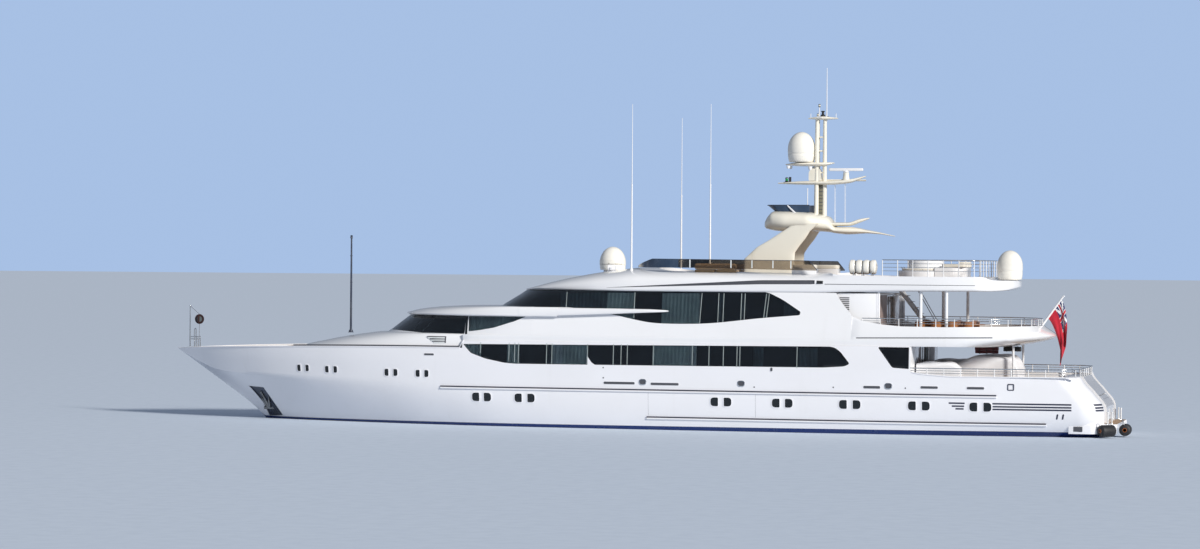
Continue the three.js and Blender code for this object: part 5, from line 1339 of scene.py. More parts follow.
def build_side_lines():
    lines, rails, seams = Shape(), Shape(), Shape()
    for z, fore, aft in STRIPES:
        for x0, x1 in ((fore, aft), STRIPE_AFT):
            low, high = [(x0, z - 0.019), (x1, z - 0.019)], [(x0, z + 0.019), (x1, z + 0.019)]
            sheet_on(side, low, high, 0.0015, 0.008, 40, 1, 0, lines)
        lines.loft([[hull_point(CORNER_START, turn, z + h, -out)
                     for h, out in ((-0.019, 0.0015), (-0.019, 0.008), (0.019, 0.008), (0.019, 0.0015))]
                    for turn in steps(0.8, 1.3, 10)])
    for (x0, x1, z), out in ((UPPER_RUB, 0.044), (LOWER_RUB, 0.04)):
        moulding(side, z - 0.03, x0, x1, out, 0.056, 0, rails)
        moulding(side, z + 0.012, x0, x1, out * 0.8, 0.034, 1, rails)
    for x, z0, z1 in SEAMS:
        sheet_on(side, [(x, z0), (x - 0.004, z0)], [(x, z1), (x - 0.004, z1)], 0.0008, 0.004, 1, 12, 0,
                 seams)
    x, z, r = HATCH
    hatch = rounded(square(x, z, r), 0.02)
    ring_on(side, grown(hatch, -0.016), grown(hatch, 0.006), 0.004, 0.01, 0, lines)
    for x in (-11.03, -11.17):
        badge_on(side, rounded([(x - 0.02, 0.44), (x + 0.02, 0.44), (x - 0.005, 0.57), (x - 0.045, 0.57)],
                               0.018), 0.004, 0.014, 0, lines)
    make("side_stripes", lines.mirrored(), [STRIPE_BLUE], sharp=40)
    make("rub_rails", rails.mirrored(), [HULL_WHITE, STRIPE_BLUE], sharp=60)
    make("shell_seams", seams.mirrored(), [SHADOW_GREY])


def trunk_side(x, z):
    return straight(TRUNK, z, 2)


def build_caps():
    """A capping along the bulwarks."""
    cap = Shape()
    for x0, x1 in ((12.62, CABIN_FRONT - 0.02), (AFT_OPENING - 0.05, CORNER_START)):
        rings = []
        for x in steps(x0, x1, 90):
            z = top_of_side(x) if x > 0 else straight(AFT_TOP, x)
            y = side(x, z)
            wide = min(0.075 if x > 0 else 0.07, y * 0.9)
            section = [(-0.004, -0.012), (0.012, -0.01), (0.016, 0.002), (0.01, 0.014), (-wide, 0.014),
                       (-wide, -0.01)]
            rings.append([(x, y + dy, z + dz) for dy, dz in section])
        cap.loft(rings)
    make("bulwark_caps", cap.mirrored(), [HULL_WHITE], sharp=50)


def build_trunk_trim():
    """A dark grey strip under the trunk's edge, painted shadow of the gap there, and the vents in its side
    with their gaps in painted shade.
    """
    rings = []
    for x in steps(8.75, 4.03, 60):
        z, y = top_of_side(x), side(x, top_of_side(x))
        rings.append([(x, y - 0.06, z), (x, y - 0.004, z), (x, y - 0.004, z + 0.05),
                      (x, y - 0.06, z + 0.05)])
    make("trunk_edge_painted_shadow", Shape().loft(rings).mirrored(), [SHADOW_GREY])
    vents = Shape()
    # Dark grey lines between pale slats: painted shade in the gaps of the vents.
    for x, z in ((4.97, 2.252), (4.89, 2.19), (4.82, 2.13)):
        sheet_on(trunk_side, [(x, z), (4.46, z)], [(x, z + 0.018), (4.46, z + 0.018)], 0.005, 0.02, 6, 1, 0,
                 vents)
        sheet_on(trunk_side, [(x - 0.03, z - 0.034), (4.5, z - 0.034)],
                 [(x - 0.03, z - 0.012), (4.5, z - 0.012)], 0.005, 0.016, 6, 1, 1, vents)
    sheet_on(trunk_side, [(4.49, 2.1), (4.46, 2.1)], [(4.49, 2.26), (4.46, 2.26)], 0.005, 0.02, 2, 4, 0,
             vents)
    make("trunk_vents", vents.mirrored(), [SHADOW_GREY, FRAME_LIGHT])


# Anchors in their pockets.
def along_side(a, b, sunk, count):
    """A path on the hull side from one place of (x, z) to another, sunk a little into it."""
    return [(x, side(x, z) - sunk, z) for x, z in (along([a, b], t) for t in steps(0, 1, count))]


def build_anchor(word, hand):
    """An anchor housed flat on its ribbed plate: a crown with two flukes, and a shank up to the roller."""
    plate, steel = Shape(), Shape()
    edges = (ANCHOR_AFT, ANCHOR_FORE)
    low, high = ([along(edge, t) for t in steps(0.03, 0.98, 8)] for edge in edges)
    sheet_on(side, low, high, -0.045, 0.012, 10, 8, 0, plate)
    top, foot = ([along(edge, t) for edge in edges] for t in (0.52, 0.96))
    for share in (0.18, 0.34, 0.5, 0.66, 0.82):
        plate.tube(along_side(along(top, share), along(foot, share), 0.036, 6), 0.012, 8)
    head, crown = (10.05, 0.72), (9.9, 0.3)
    steel.tube(along_side(head, crown, 0.018, 6), [0.028, 0.03, 0.032, 0.034, 0.036, 0.04, 0.05], 12)
    for lean in (-0.14, 0.14):
        tip = (crown[0] + lean + 0.06, crown[1] + 0.27)
        fluke = along_side(crown, tip, 0.014, 5)
        steel.tube(fluke, [0.05, 0.058, 0.056, 0.046, 0.03, 0.008], 12, aspect=0.5)
    stock = side(*crown) - 0.02
    steel.tube([(crown[0] + dx, stock, crown[1] - 0.02) for dx in (-0.14, 0.14)], 0.04, 14)
    make(f"anchor_plate_{word}", plate.on(hand), [DARK_STEEL], sharp=40)
    make(f"anchor_steel_{word}", steel.on(hand), [GALVANISED], sharp=40, stands_for=[f"anchor_{word}"])


def build_anchors():
    for word, hand in HANDS:
        build_anchor(word, hand)


# What shows through the glass: curtains, blinds and light frame bars, before a near-black sheet of painted
# shade for the unlit rooms.
PANES = {
    "main": [  # fore end, aft end, kind
        (4.036, 3.506, "grey"), (2.821, 2.489, "grey"), (1.797, 1.641, "dim"), (1.641, 1.353, "light"),
        (1.353, 0.703, "grey"), (-0.977, -1.925, "grey"), (-1.925, -2.103, "light"), (-3.551, -3.804, "dim"),
        (-4.685, -5.161, "dim"),
    ],
    "upper": [
        (1.48, 0.251, "dim"), (0.251, -0.474, "grey"), (-1.17, -2.145, "grey"), (-2.63, -2.76, "dim"),
        (-3.21, -3.3, "dim"), (-3.79, -3.86, "dim"), (-4.279, -4.62, "dim"),
    ],
    "cabin": [(3.88, 2.36, "grey")],
}
BARS = {
    "main": [3.506, 2.75, 2.6, 2.5, 1.76, 1.62, 0.69, 0.02, -0.18, -0.34, -1.01, -2.01, -2.435, -2.8,
             -3.146, -3.22, -4.66], "upper": [1.3, -0.474, -2.17, -2.63, -2.76, -3.21, -3.3, -3.79, -3.86],
}
LEANS = {-2.17: 0.03, -3.79: 0.05, -3.86: 0.05}  # how far the top of a bar leans aft
BAR_BREADTH = 0.017
BAR_FEET = {
    "main": [[3.506, 1.855], [2.75, 1.68], [2.6, 1.65], [2.5, 1.63], [1.76, 1.61], [-4.66, 1.6]],
    "upper": [[1.3, 3.05], [-0.474, 2.8], [-0.48, 2.78], [-2.17, 2.68], [-2.7, 2.715], [-3.25, 2.775],
              [-3.86, 2.845]],
}
CURTAIN_HEIGHTS = {"main": (1.56, 2.09), "upper": (2.6, 3.42), "cabin": (2.3, 2.79)}
CURTAINS = {"grey": CURTAIN_GREY, "light": CURTAIN_LIGHT, "dim": CURTAIN_DIM}
MULLIONS = [((5.59, 2.35), (5.27, 2.8)), ((5.3, 2.33), (4.85, 2.8))]
BEHIND = Sizes(bar=0.026, curtain=0.06, lining=0.12)


def nosed(x, start, front, breadth, power):
    u = clamp((x - start) / (front - start))
    return max(breadth(x) * max(1 - u**power, 0.0) ** 0.5, 0.0)


def cabin_side(x, z):
    return nosed(x, CABIN.start, smooth(CABIN_NOSE, z, 1), cabin_breadth(z, 0.0), 2.4)


def glass_side(x, z):
    """Half-breadth of the upper glass, round its nose."""
    if x < 0.6:
        return house_side(x, z)
    return nosed(x, 0.6, smooth(HOUSE_NOSE, z, 1), lambda at: house_side(at, z), 3)


BANDS = {"main": side, "upper": glass_side, "cabin": cabin_side}


def pleated(surface, x0, x1, low, high, made):
    """A curtain with soft folds."""
    count = max(8, round(abs(x1 - x0) / 0.02))
    rings = []
    for k, x in enumerate(steps(x0, x1, count)):
        fold = 0.007 * sin(k * 1.3) + 0.003 * sin(k * 2.9)
        face = [(x, surface(x, z) - BEHIND.curtain + fold, z) for z in steps(low, high, 6)]
        back = [(x, y - 0.006, z) for x, y, z in reversed(face)]
        rings.append(face + back)
    return made.loft(rings)


def build_curtains():
    for band, surface in BANDS.items():
        low, high = CURTAIN_HEIGHTS[band]
        for kind, finish in CURTAINS.items():
            made = Shape()
            for x0, x1, which in PANES[band]:
                if which == kind:
                    pleated(surface, x0, x1, low, high, made)
            if made.points:
                hung = make(f"{band}_curtains_{kind}", made.mirrored(), [finish], sharp=70)


def build_window_bars():
    bars = Shape()
    for band, rows in BARS.items():
        for x in rows:
            lean = LEANS.get(x, 0.0)
            low, high = straight(BAR_FEET[band], x), 2.13 if band == "main" else 3.43
            a, b = x - BAR_BREADTH / 2, x + BAR_BREADTH / 2
            sheet_on(BANDS[band], [(a, low), (a - lean, high)], [(b, low), (b - lean, high)], 0.0015, 0.004,
                     8, 1, 2, bars)
    for foot, head in MULLIONS:
        sheet_on(cabin_side, [(foot[0] - 0.03, foot[1]), (head[0] - 0.03, head[1])], [foot, head],
                 -BEHIND.bar, 0.02, 8, 1, 1, bars)
    make("window_bars", bars.mirrored(), [FRAME_LIGHT, CURTAIN_DIM, GLASS_BAR], sharp=50)


def build_window_edges():
    edge = Shape()
    sheet_on(cabin_side, [(3.975, 2.33), (3.975, 2.79)], [(3.912, 2.33), (3.912, 2.79)], 0.0015, 0.006, 4,
             6, 0, edge)
    make("cabin_post_strip", edge.mirrored(), [BLACK_GLASS])
    knee = rounded([(0.705, 1.84), (0.705, 1.606), (0.49, 1.606), (0.58, 1.66), (0.64, 1.74)], 0.02)
    make("window_knee", badge_on(side, knee, -0.002, 0.012).mirrored(), [HULL_WHITE])


def build_room_shades():
    """Near-black walls of painted shade that stand in for the unlit rooms behind the glass."""
    lining = sheet_on(side, [(4.0, 1.3), (-5.99, 1.3)], [(4.0, 2.165), (-5.99, 2.165)], -BEHIND.lining,
                      0.006, 40, 6)
    make("main_room_shade", lining.mirrored(), [ROOM_SHADE_BLACK])
    upper = make("upper_room_shade", nose_shell(BEHIND.lining, 0.006, 2.55, ROOF_UNDER - 0.003), [ROOM_SHADE_BLACK])
    carve(upper, Shape().box((-4.75, -FAR, 2.0), (4.0, FAR, 4.0)), "INTERSECT")
    make("cabin_room_shade", cabin_solid(BEHIND.lining, low=2.36, high=VISOR_UNDER - 0.003), [ROOM_SHADE_BLACK],
         less=[cabin_solid(BEHIND.lining + 0.006, HOUSE_FRONT - 0.1)])


# Rails, posts and steps.
RAIL_LEVELS = {  # heights of the tubes
    "main": (1.645, 1.585, 1.525), "upper": (2.85, 2.79, 2.735), "sun": (4.29, 4.2, 4.11, 4.02),
}
RAIL_BARS = {  # radii of the top tube, the lower tubes and the posts
    "main": (0.013, 0.008, 0.013), "upper": (0.012, 0.007, 0.011), "sun": (0.013, 0.007, 0.012),
}


def spread(path, spacing):
    """Points at even steps along a path in plan, ends included."""
    lengths = [dist(a, b) for a, b in zip(path, path[1:])]
    total = sum(lengths)
    count = max(1, round(total / spacing))
    return [along(path, k / count) for k in range(count + 1)]


def guard(rail, path, foot, spacing, tubes, posts):
    """A guard rail: tubes one above the other along a path of (x, y), on posts at even steps."""
    levels, thick = RAIL_LEVELS[rail], RAIL_BARS[rail]
    for k, z in enumerate(levels):
        tubes.tube([(x, y, z) for x, y in path], thick[0] if k == 0 else thick[1], 10)
    for x, y in spread(path, spacing):
        z = foot(x, y)
        posts.tube([(x, y, z), (x, y, levels[0])], thick[2], 10)
        posts.lathe([(0.0, z - 0.002), (0.026, z - 0.002), (0.026, z + 0.006), (0.0, z + 0.01)], (x, y, 0),
                    12)


def main_rail_path():
    def wall(x, turn=0.0):
        return hull_point(x, turn, 1.45, WALL / 2)[:2]

    edge = [wall(x) for x in steps(-7.471, CORNER_START, 40)]
    edge += [wall(CORNER_START, t) for t in steps(0, radians(78), 8)[1:]]
    return edge


def build_main_rail():
    tubes, posts = Shape(), Shape()
    port = main_rail_path()
    port.append((-11.93 + 0.4, STAIR.inner - 0.06))
    for s in (1, -1):
        guard("main", [(x, s * y) for x, y in port], lambda x, y: straight(AFT_TOP, x) + 0.012, 0.42, tubes,
              posts)
    across = [(-11.53, y) for y in steps(STAIR.inner - 0.06, -STAIR.inner + 0.06, 12)]
    guard("main", across, lambda x, y: SEAT.top, 0.5, tubes, posts)
    make("main_rail_tubes", tubes, [STAINLESS], stands_for=["main_rail"], sharp=60)
    make("main_rail_posts", posts, [RAIL_WHITE], sharp=60)


def build_upper_rail():
    def breadth(x):
        return side(x, 2.69) - 0.054

    end = rounded_end(UPPER_END, -10.42, breadth, 26, 3)
    port = [(x, breadth(x)) for x in steps(-6.25, UPPER_END, 20)[:-1]] + end
    path = [*port, *[(x, -y) for x, y in reversed(port[:-1])]]
    top = UPPER_RAIL_LINE[2:-2]
    tubes, posts = Shape(), Shape()
    guard("upper", path, lambda x, y: straight(top, x), 0.46, tubes, posts)
    make("upper_rail_tubes", tubes, [STAINLESS], stands_for=["upper_rail"], sharp=60)
    make("upper_rail_posts", posts, [RAIL_WHITE], sharp=60)


def build_sun_rail():
    tops = [[row[0], row[4]] for row in SUN]
    tubes, posts = Shape(), Shape()
    corner = [(-8.95, 1.85), (-9.03, 1.78), (-9.07, 1.66)]
    side_line = [(-6.72, 2.01), (-7.0, 2.01), (-7.7, 2.0), (-8.4, 1.93), *corner, (-9.08, 1.5)]
    for s in (1, -1):
        guard("sun", [(x, s * y) for x, y in side_line], lambda x, y: SUN_DECK if abs(y) < 1.6
              else straight(tops, x), 0.4, tubes, posts)
    across = [(-9.08, y) for y in steps(1.5, -1.5, 8)]
    guard("sun", across, lambda x, y: SUN_DECK, 0.5, tubes, posts)
    make("sundeck_rail_tubes", tubes, [STAINLESS], stands_for=["sundeck_rail"], sharp=60)
    make("sundeck_rail_posts", posts, [RAIL_WHITE], sharp=60)


# Mast: two raked legs, a pod with a dark screen on it, blades aft, and a column of three tubes.
LEG_FORE = [(-2.95, 3.7003), (-2.95, 4.29), (-3.07, 4.4), (-3.284, 4.598), (-3.594, 4.777), (-3.924, 4.993),
            (-4.25, 5.2)]
LEG_AFT = [(-4.25, 3.7003), (-4.25, 4.29), (-4.26, 4.46), (-4.39, 4.65), (-4.515, 4.8), (-4.64, 4.998),
           (-4.86, 5.2)]
POD = [  # x, half, low, high
    [-3.36, 0.06, 5.11, 5.19], [-3.42, 0.34, 5.07, 5.3], [-3.52, 0.52, 5.045, 5.44],
    [-3.64, 0.64, 5.02, 5.525],
    [-4.0, 0.73, 5.0, 5.53], [-4.5, 0.73, 5.0, 5.5], [-4.8, 0.62, 5.005, 5.44], [-5.035, 0.48, 4.99, 5.375],
    [-5.2, 0.39, 4.962, 5.125], [-5.51, 0.33, 4.935, 5.125], [-5.757, 0.27, 4.947, 5.105],
    [-5.974, 0.21, 4.96, 5.057], [-6.283, 0.13, 4.945, 5.0], [-6.7, 0.04, 4.885, 4.905],
]
UPPER_BLADE = [
    [-4.9, 0.33, 5.19, 5.3], [-5.2, 0.3, 5.14, 5.239], [-5.507, 0.23, 5.149, 5.24],
    [-5.818, 0.15, 5.241, 5.332], [-6.04, 0.06, 5.328, 5.363],
]
WIND_SCREEN = Sizes(  # head and foot in plan: x, and the share of the half-breadth there
    head=[(-4.569, 1), (-3.9, 1), (-3.58, 0.86), (-3.46, 0.5), (-3.432, 0)],
    foot=[(-4.569, 1), (-4.0, 1), (-3.76, 0.86), (-3.68, 0.5), (-3.66, 0)], low=5.49, high=5.671, half=0.42,
)
COLUMN_TOP = 7.89
MAST_TUBES = [(-4.7, 0.11), (-4.7, -0.11), (-4.89, 0.0)]
ARMS = [
    [[-3.698, 0.06, 6.215, 6.245], [-4.5, 0.2, 6.19, 6.29], [-5.0, 0.2, 6.19, 6.29],
     [-5.5, 0.17, 6.23, 6.33], [-5.943, 0.05, 6.39, 6.42]],
    [[-3.9, 0.12, 6.69, 6.72], [-4.3, 0.26, 6.66, 6.765], [-4.8, 0.22, 6.66, 6.765],
     [-5.132, 0.06, 6.73, 6.76]], [[-4.469, 0.06, 7.86, 7.89], [-4.83, 0.15, 7.84, 7.93],
                                   [-5.216, 0.06, 7.86, 7.89]],
]
MAST_DOME = Sizes(x=-4.29, foot=6.7653, radius=0.35, high=0.77)
RADAR = Sizes(x=-5.44, foot=6.507, half=0.44)


def spindle(rows, made, count):
    """A long body through sections of x, half-breadth, low and high, each an oval."""
    rings = []
    for x in steps(rows[0][0], rows[-1][0], 60):
        half, low, high = (smooth(rows, x, column) for column in (1, 2, 3))
        mid, tall = (low + high) / 2, (high - low) / 2
        rings.append([(x, half * swell(cos(t), 0.8), mid + tall * swell(sin(t), 0.8))
                      for t in circle(count)])
    return made.loft(rings)


def build_mast_arch():
    legs = Shape()
    for s in (1, -1):
        rings = []
        for t in steps(0, 1, 40):
            fore, aft = along(LEG_FORE, t), along(LEG_AFT, t)
            long, lean = (fore[0] - aft[0]) / 2, (fore[1] - aft[1]) / 2
            x, z = (fore[0] + aft[0]) / 2, (fore[1] + aft[1]) / 2
            ovals = [(swell(cos(a), 0.5), swell(sin(a), 0.7)) for a in circle(28)]
            rings.append([(x + long * c, s * 0.63 + 0.069 * d, z + lean * c) for c, d in ovals])
        legs.loft(rings)
    make("mast_legs", legs, [MAST_CREAM], sharp=50)
    pod = spindle(POD, Shape(), 36)
    spindle(UPPER_BLADE, pod, 20)
    make("mast_pod", pod, [MAST_CREAM], sharp=60, stands_for=["mast_arch"])


def build_wind_screen():
    """A dark wind screen round the pod's top: upright sides, and a front that leans out forward."""
    e = WIND_SCREEN
    head, foot = ([(x, e.half * share) for x, share in edge] for edge in (e.head, e.foot))
    rings, turns = [], []
    for k, t in enumerate(steps(0, 1, 40)):
        share, hand = 1 - abs(1 - 2 * t), 1 if k < 20 else -1
        (x0, y0), (x1, y1) = along(foot, share), along(head, share)
        rings.append([(x0, y0 * hand, e.low), (x1, y1 * hand, e.high),
                      (x1 - 0.012, y1 * hand * 0.97, e.high), (x0 - 0.012, y0 * hand * 0.97, e.low)])
        turns.append((x1 - 0.006, y1 * hand * 0.985, e.high - 0.006))
    make("mast_screen", Shape().loft(rings), [BLUE_STEEL], sharp=40)
    rim = Shape().tube(turns, 0.011, 8)
    aft, half = e.head[0][0], e.half * 0.98
    rim.box((aft, -half, e.low), (aft + 0.012, half, e.high - 0.02))
    make("mast_screen_rim", rim, [DARK_STEEL], sharp=60)


def build_mast_struts():
    strut = Shape()
    for s in (1, -1):
        strut.tube([(-4.02, s * 0.43, 5.655), (-4.12, s * 0.44, 5.56), (-4.24, s * 0.5, 5.45)],
                   [0.016, 0.022, 0.03], 12)
    strut.tube([(-4.5, 0.25, 5.45), (-4.5, 0.25, 5.8), (-4.5, 0.25, 6.1)], 0.012, 8)
    make("mast_struts", strut, [HOUSE_WHITE])


def dome_outline(radius, high, base):
    """A short flare, a seam, upright walls and a round crown; base is the foot's share of the radius."""
    straight_part = high - radius * 1.25
    flare = [(0.0, base), (0.012, base + (1 - base) * 0.3), (0.07, base + (1 - base) * 0.62),
             (0.14, base + (1 - base) * 0.86), (0.2, 0.99), (0.205, 0.984), (0.208, 0.976), (0.212, 0.984),
             (0.25, 0.997)]
    skirt = [(0.0, 0.0)] + [(radius * share, z) for z, share in flare]
    wall = [(radius, straight_part * 0.8), (radius * 0.999, straight_part)]
    crown = [(radius * cos(t), straight_part + radius * 1.25 * sin(t)) for t in steps(0, pi / 2, 14)[1:]]
    return [*skirt, *wall, *crown[:-1], (0.0, high)]


def build_domes():
    for name, at, base in (("mast_dome", MAST_DOME, 0.86), ("fore_dome", FORE_DOME, 0.93),
                           ("stern_dome", STERN_DOME, 0.9)):
        made = Shape().lathe(dome_outline(at.radius, at.high, base), (at.x, 0, at.foot + GAP), 64)
        make(f"{name}_shell", made, [DOME_CREAM], stands_for=[name], sharp=55)


def build_column():
    made = Shape()
    for x, y in MAST_TUBES:
        heights = steps(5.2, COLUMN_TOP, 10)
        shares = steps(0, 1, 10)
        path = [(x, y * (1 - 0.4 * up), z) for up, z in zip(shares, heights)]
        made.tube(path, [0.062 - 0.017 * up for up in shares], 20)
    for rows in ARMS:
        spindle(rows, made, 16)
    made.tube([(-5.95, 0, 6.306), (-4.6, 0, 6.306)], 0.03, 12, aspect=0.5)
    made.lathe([(0.0, 6.3), (0.1, 6.3), (0.09, 6.34), (0.07, 6.44), (0.075, 6.5), (0.0, RADAR.foot)],
               (RADAR.x, 0, 0), 28)
    for z in (5.62, 5.95, 6.5, 7.05, 7.4):
        made.tube([(-4.7, 0.12, z), (-4.7, -0.12, z)], 0.02, 10)
        made.tube([(-4.7, 0.0, z), (-4.89, 0.0, z)], 0.02, 10)
    tray = Shape().box((-4.845, -0.05, 5.3), (-4.75, 0.05, 6.2))
    for k in range(9):
        tray.box((-4.85, -0.055, 5.38 + 0.09 * k), (-4.745, 0.055, 5.395 + 0.09 * k), 1)
    make("cable_tray", tray, [OLIVE_GREY, DARK_STEEL], bevel=0.002)
    fairing = rounded([(-4.5, 6.29), (-4.5, 6.5), (-4.56, 6.6), (-4.78, 6.6), (-4.82, 6.29)], 0.04)
    made.profile(fairing, -0.13, 0.13)
    make("mast_column_tubes", made, [MAST_CREAM], stands_for=["mast_column"], sharp=50)


def lamp(made, x, y, z, radius, high, finish):
    """A navigation light: a lens between a black base and a black cap."""
    low, top = z + high * 0.25, z + high * 0.75
    made.lathe(drum(radius, z, low), (x, y, 0), 16, 1)
    made.lathe(drum(radius * 0.86, low, top), (x, y, 0), 16, finish)
    made.lathe([(0.0, top), (radius, top), (radius * 0.9, z + high * 0.92), (0.0, z + high)], (x, y, 0), 16,
               1)


def build_masthead():
    made = Shape()
    made.tube([(-4.83, 0.7, 7.89), (-4.83, -0.7, 7.89)], 0.02, 12)
    made.lathe([(0.0, 7.9), (0.06, 7.9), (0.06, 7.96), (0.03, 7.98), (0.03, 8.04), (0.055, 8.05),
                (0.045, 8.068), (0.0, 8.07)], (-4.834, 0, 0), 20, 1)
    made.tube([(-4.742, 0, 7.9), (-4.742, 0, 8.16)], 0.012, 10)
    lamp(made, -4.742, 0, 8.165, 0.03, 0.078, 2)
    made.tube([(-4.932, 0, 7.8), (-4.932, 0, 8.2), (-4.932, 0, 9.155)], [0.016, 0.014, 0.008], 10)
    for y in (0.68, -0.68):
        lamp(made, -4.83, y, 7.9, 0.028, 0.07, 2)
        made.tube([(-4.83, y * 0.72, 7.9), (-4.83, y * 0.72, 8.0)], 0.008, 8)
        made.lathe([(0.0, 7.995), (0.03, 8.0), (0.03, 8.01), (0.0, 8.015)], (-4.83, y * 0.72, 0), 12)
    for x in (-4.52, -5.17):
        made.tube([(x, 0, 7.88), (x, 0, 8.0)], 0.009, 8)
    make("masthead", made, [HOUSE_WHITE, BLACK, LAMP_WARM], sharp=50)


def build_mast_lights():
    boxes = Shape()
    boxes.box((-4.04, -0.085, 6.245), (-3.845, 0.085, 6.262), 1)
    boxes.box((-4.02, -0.06, 6.262), (-3.98, 0.06, 6.39), 1)
    lamp(boxes, -3.92, 0.03, 6.262, 0.045, 0.12, 0)
    make("side_light", boxes, [LAMP_GREEN, BLACK], bevel=0.004)
    floods = Shape()
    for s in (1, -1):
        floods.lathe([(0.0, 0.0), (0.03, 0.0), (0.05, 0.05), (0.052, 0.09), (0.0, 0.09)],
                     (-4.55, s * 0.2, 6.56), 20, 0)
        floods.lathe([(0.0, 0.0), (0.03, 0.0), (0.045, 0.04), (0.047, 0.07), (0.0, 0.07)],
                     (-3.98, s * 0.16, 6.6), 20, 0)
        floods.tube([(-3.98, s * 0.16, 6.63), (-4.0, s * 0.1, 6.7)], 0.012, 8)
        floods.tube([(-4.55, s * 0.2, 6.6), (-4.6, s * 0.13, 6.68)], 0.014, 8)
    make("mast_floodlights", floods, [HOUSE_WHITE])


def build_halyards():
    lines = Shape()
    for x, top, foot in ((-5.16, 6.2, 5.135), (-5.42, 6.24, 5.16)):
        for y in (0.06, -0.06):
            lines.tube([(x, y, top), (x - 0.005, y, foot)], 0.0045, 6)
    make("halyards", lines, [HOUSE_WHITE])


def build_radar():
    foot, half = RADAR.foot, RADAR.half
    made = Shape()
    made.lathe([(0.0, foot + 0.0006), (0.07, foot + 0.0006), (0.07, foot + 0.03), (0.05, foot + 0.045),
                (0.0, foot + 0.045)], (RADAR.x, 0, 0), 28)
    section = rounded([(-0.043, -0.036), (0.043, -0.036), (0.043, 0.03), (0.02, 0.038), (-0.043, 0.038)],
                      0.016, 4)
    ends = [(half, 0.55), (half - 0.012, 0.9), (half - 0.03, 1.0)]
    made.loft([[(RADAR.x + x, y * share, foot + 0.07 + h * share) for y, h in section]
               for x, share in [(-x, share) for x, share in ends] + ends[::-1]])
    make("radar_bar", made, [HOUSE_WHITE], body="radar", stands_for=["radar_scanner"], sharp=50)


# Poles, whip aerials and what hangs on them.
FOREMAST_X = 7.757
BALL = Sizes(x=12.024, z=2.594)
WHIPS = [  # x, y, foot, joint, top
    (-0.227, 1.5, 3.9, 6.143, 8.19), (-0.821, -1.5, 3.9, 5.937, 7.976), (-2.259, 1.5, 3.9, 6.144, 8.179),
]
def build_foremast():
    fore = Shape().lathe([(0.0, 2.2905), (0.075, 2.2905), (0.075, 2.3), (0.055, 2.31), (0.05, 2.36),
                          (0.0, 2.36)], (FOREMAST_X, 0, 0), 28)
    fore.tube([(FOREMAST_X, 0, 2.35), (FOREMAST_X, 0, 3.6), (FOREMAST_X, 0, 4.78)], [0.03, 0.026, 0.021], 18)
    fore.lathe([(0.0, 4.77), (0.034, 4.77), (0.034, 4.79), (0.03, 4.8), (0.03, 4.84), (0.036, 4.845),
                (0.0, 4.857)], (FOREMAST_X, 0, 0), 20)
    for z in (2.9, 3.6, 4.3):
        fore.lathe(drum(0.031, z, z + 0.02), (FOREMAST_X, 0, 0), 20)
    make("foremast_pole", fore, [DARK_STEEL], stands_for=["foremast"], sharp=50)


def build_jackstaff():
    bow = Shape().tube([(12.29, 0, 1.862), (12.29, 0, 2.5), (12.29, 0, 2.93)], [0.02, 0.017, 0.012], 16)
    bow.lathe([(0.0, 2.925), (0.02, 2.93), (0.023, 2.945), (0.015, 2.96), (0.0, 2.964)], (12.29, 0, 0), 16)
    for s in (1, -1):
        for x, y, top in ((12.14, 0.06, 2.325), (12.029, 0.07, 2.14)):
            bow.tube([(x, s * y, FOREDECK + 0.22), (x, s * y, top)], 0.014, 12)
        for z in (2.06, 2.12):
            bow.tube([(12.29, 0, z), (12.14, s * 0.06, z), (12.029, s * 0.07, z)], 0.01, 10)
    bow.tube([(12.14, 0.06, 2.32), (12.14, 0.0, 2.345), (12.14, -0.06, 2.32)], 0.012, 10)
    make("jackstaff_frame", bow, [STAINLESS], stands_for=["jackstaff"], sharp=60)


def build_anchor_ball():
    """Two crossed discs with a lighter ring at the middle as a painted highlight, on a line from the
    jackstaff.
    """
    mark, middle = Shape(), (BALL.x, 0, BALL.z)
    disc = [(0.0, -0.006), (0.13, -0.006), (0.132, 0.0), (0.13, 0.006), (0.0, 0.006)]
    for axis in (1, 0):
        mark.lathe(disc, middle, 40, 0, axis=axis)
    # The lighter grey-green ring is a painted highlight on the black day mark.
    mark.lathe([(0.075, -0.009), (0.0755, -0.012), (0.05, -0.012), (0.05, 0.012), (0.0755, 0.012),
                (0.075, 0.009)], middle, 32, 1, axis=1)
    for rise, end in ((0.13, (12.285, 0, 2.94)), (-0.13, (12.029, 0, 2.13))):
        mark.tube([(BALL.x, 0, BALL.z + rise), end], 0.004, 6)
    make("anchor_ball", mark, [BALL_BLACK, CURTAIN_DIM], sharp=50)


def build_whips():
    whips = Shape()
    for x, y, foot, joint, top in WHIPS:
        whips.lathe([(0.0, foot), (0.06, foot), (0.06, foot + 0.02), (0.035, foot + 0.13),
                     (0.0, foot + 0.13)], (x, y, 0), 20)
        whips.tube([(x, y, foot + 0.03), (x, y, (foot + joint) / 2), (x, y, joint)], [0.025, 0.022, 0.017],
                   14)
        whips.lathe([(0.0, joint - 0.03), (0.02, joint - 0.03), (0.02, joint + 0.02), (0.0, joint + 0.03)],
                    (x, y, 0), 14)
        whips.tube([(x, y, joint), (x, y, (top + joint) / 2), (x, y, top)], [0.012, 0.009, 0.006], 10)
    make("whip_aerials", whips, [HOUSE_WHITE], sharp=50)


STAFF = Sizes(foot=(-10.412, 0.0, 2.67), top=(-10.945, 0.0, 3.415), radius=0.02, tip=0.015)


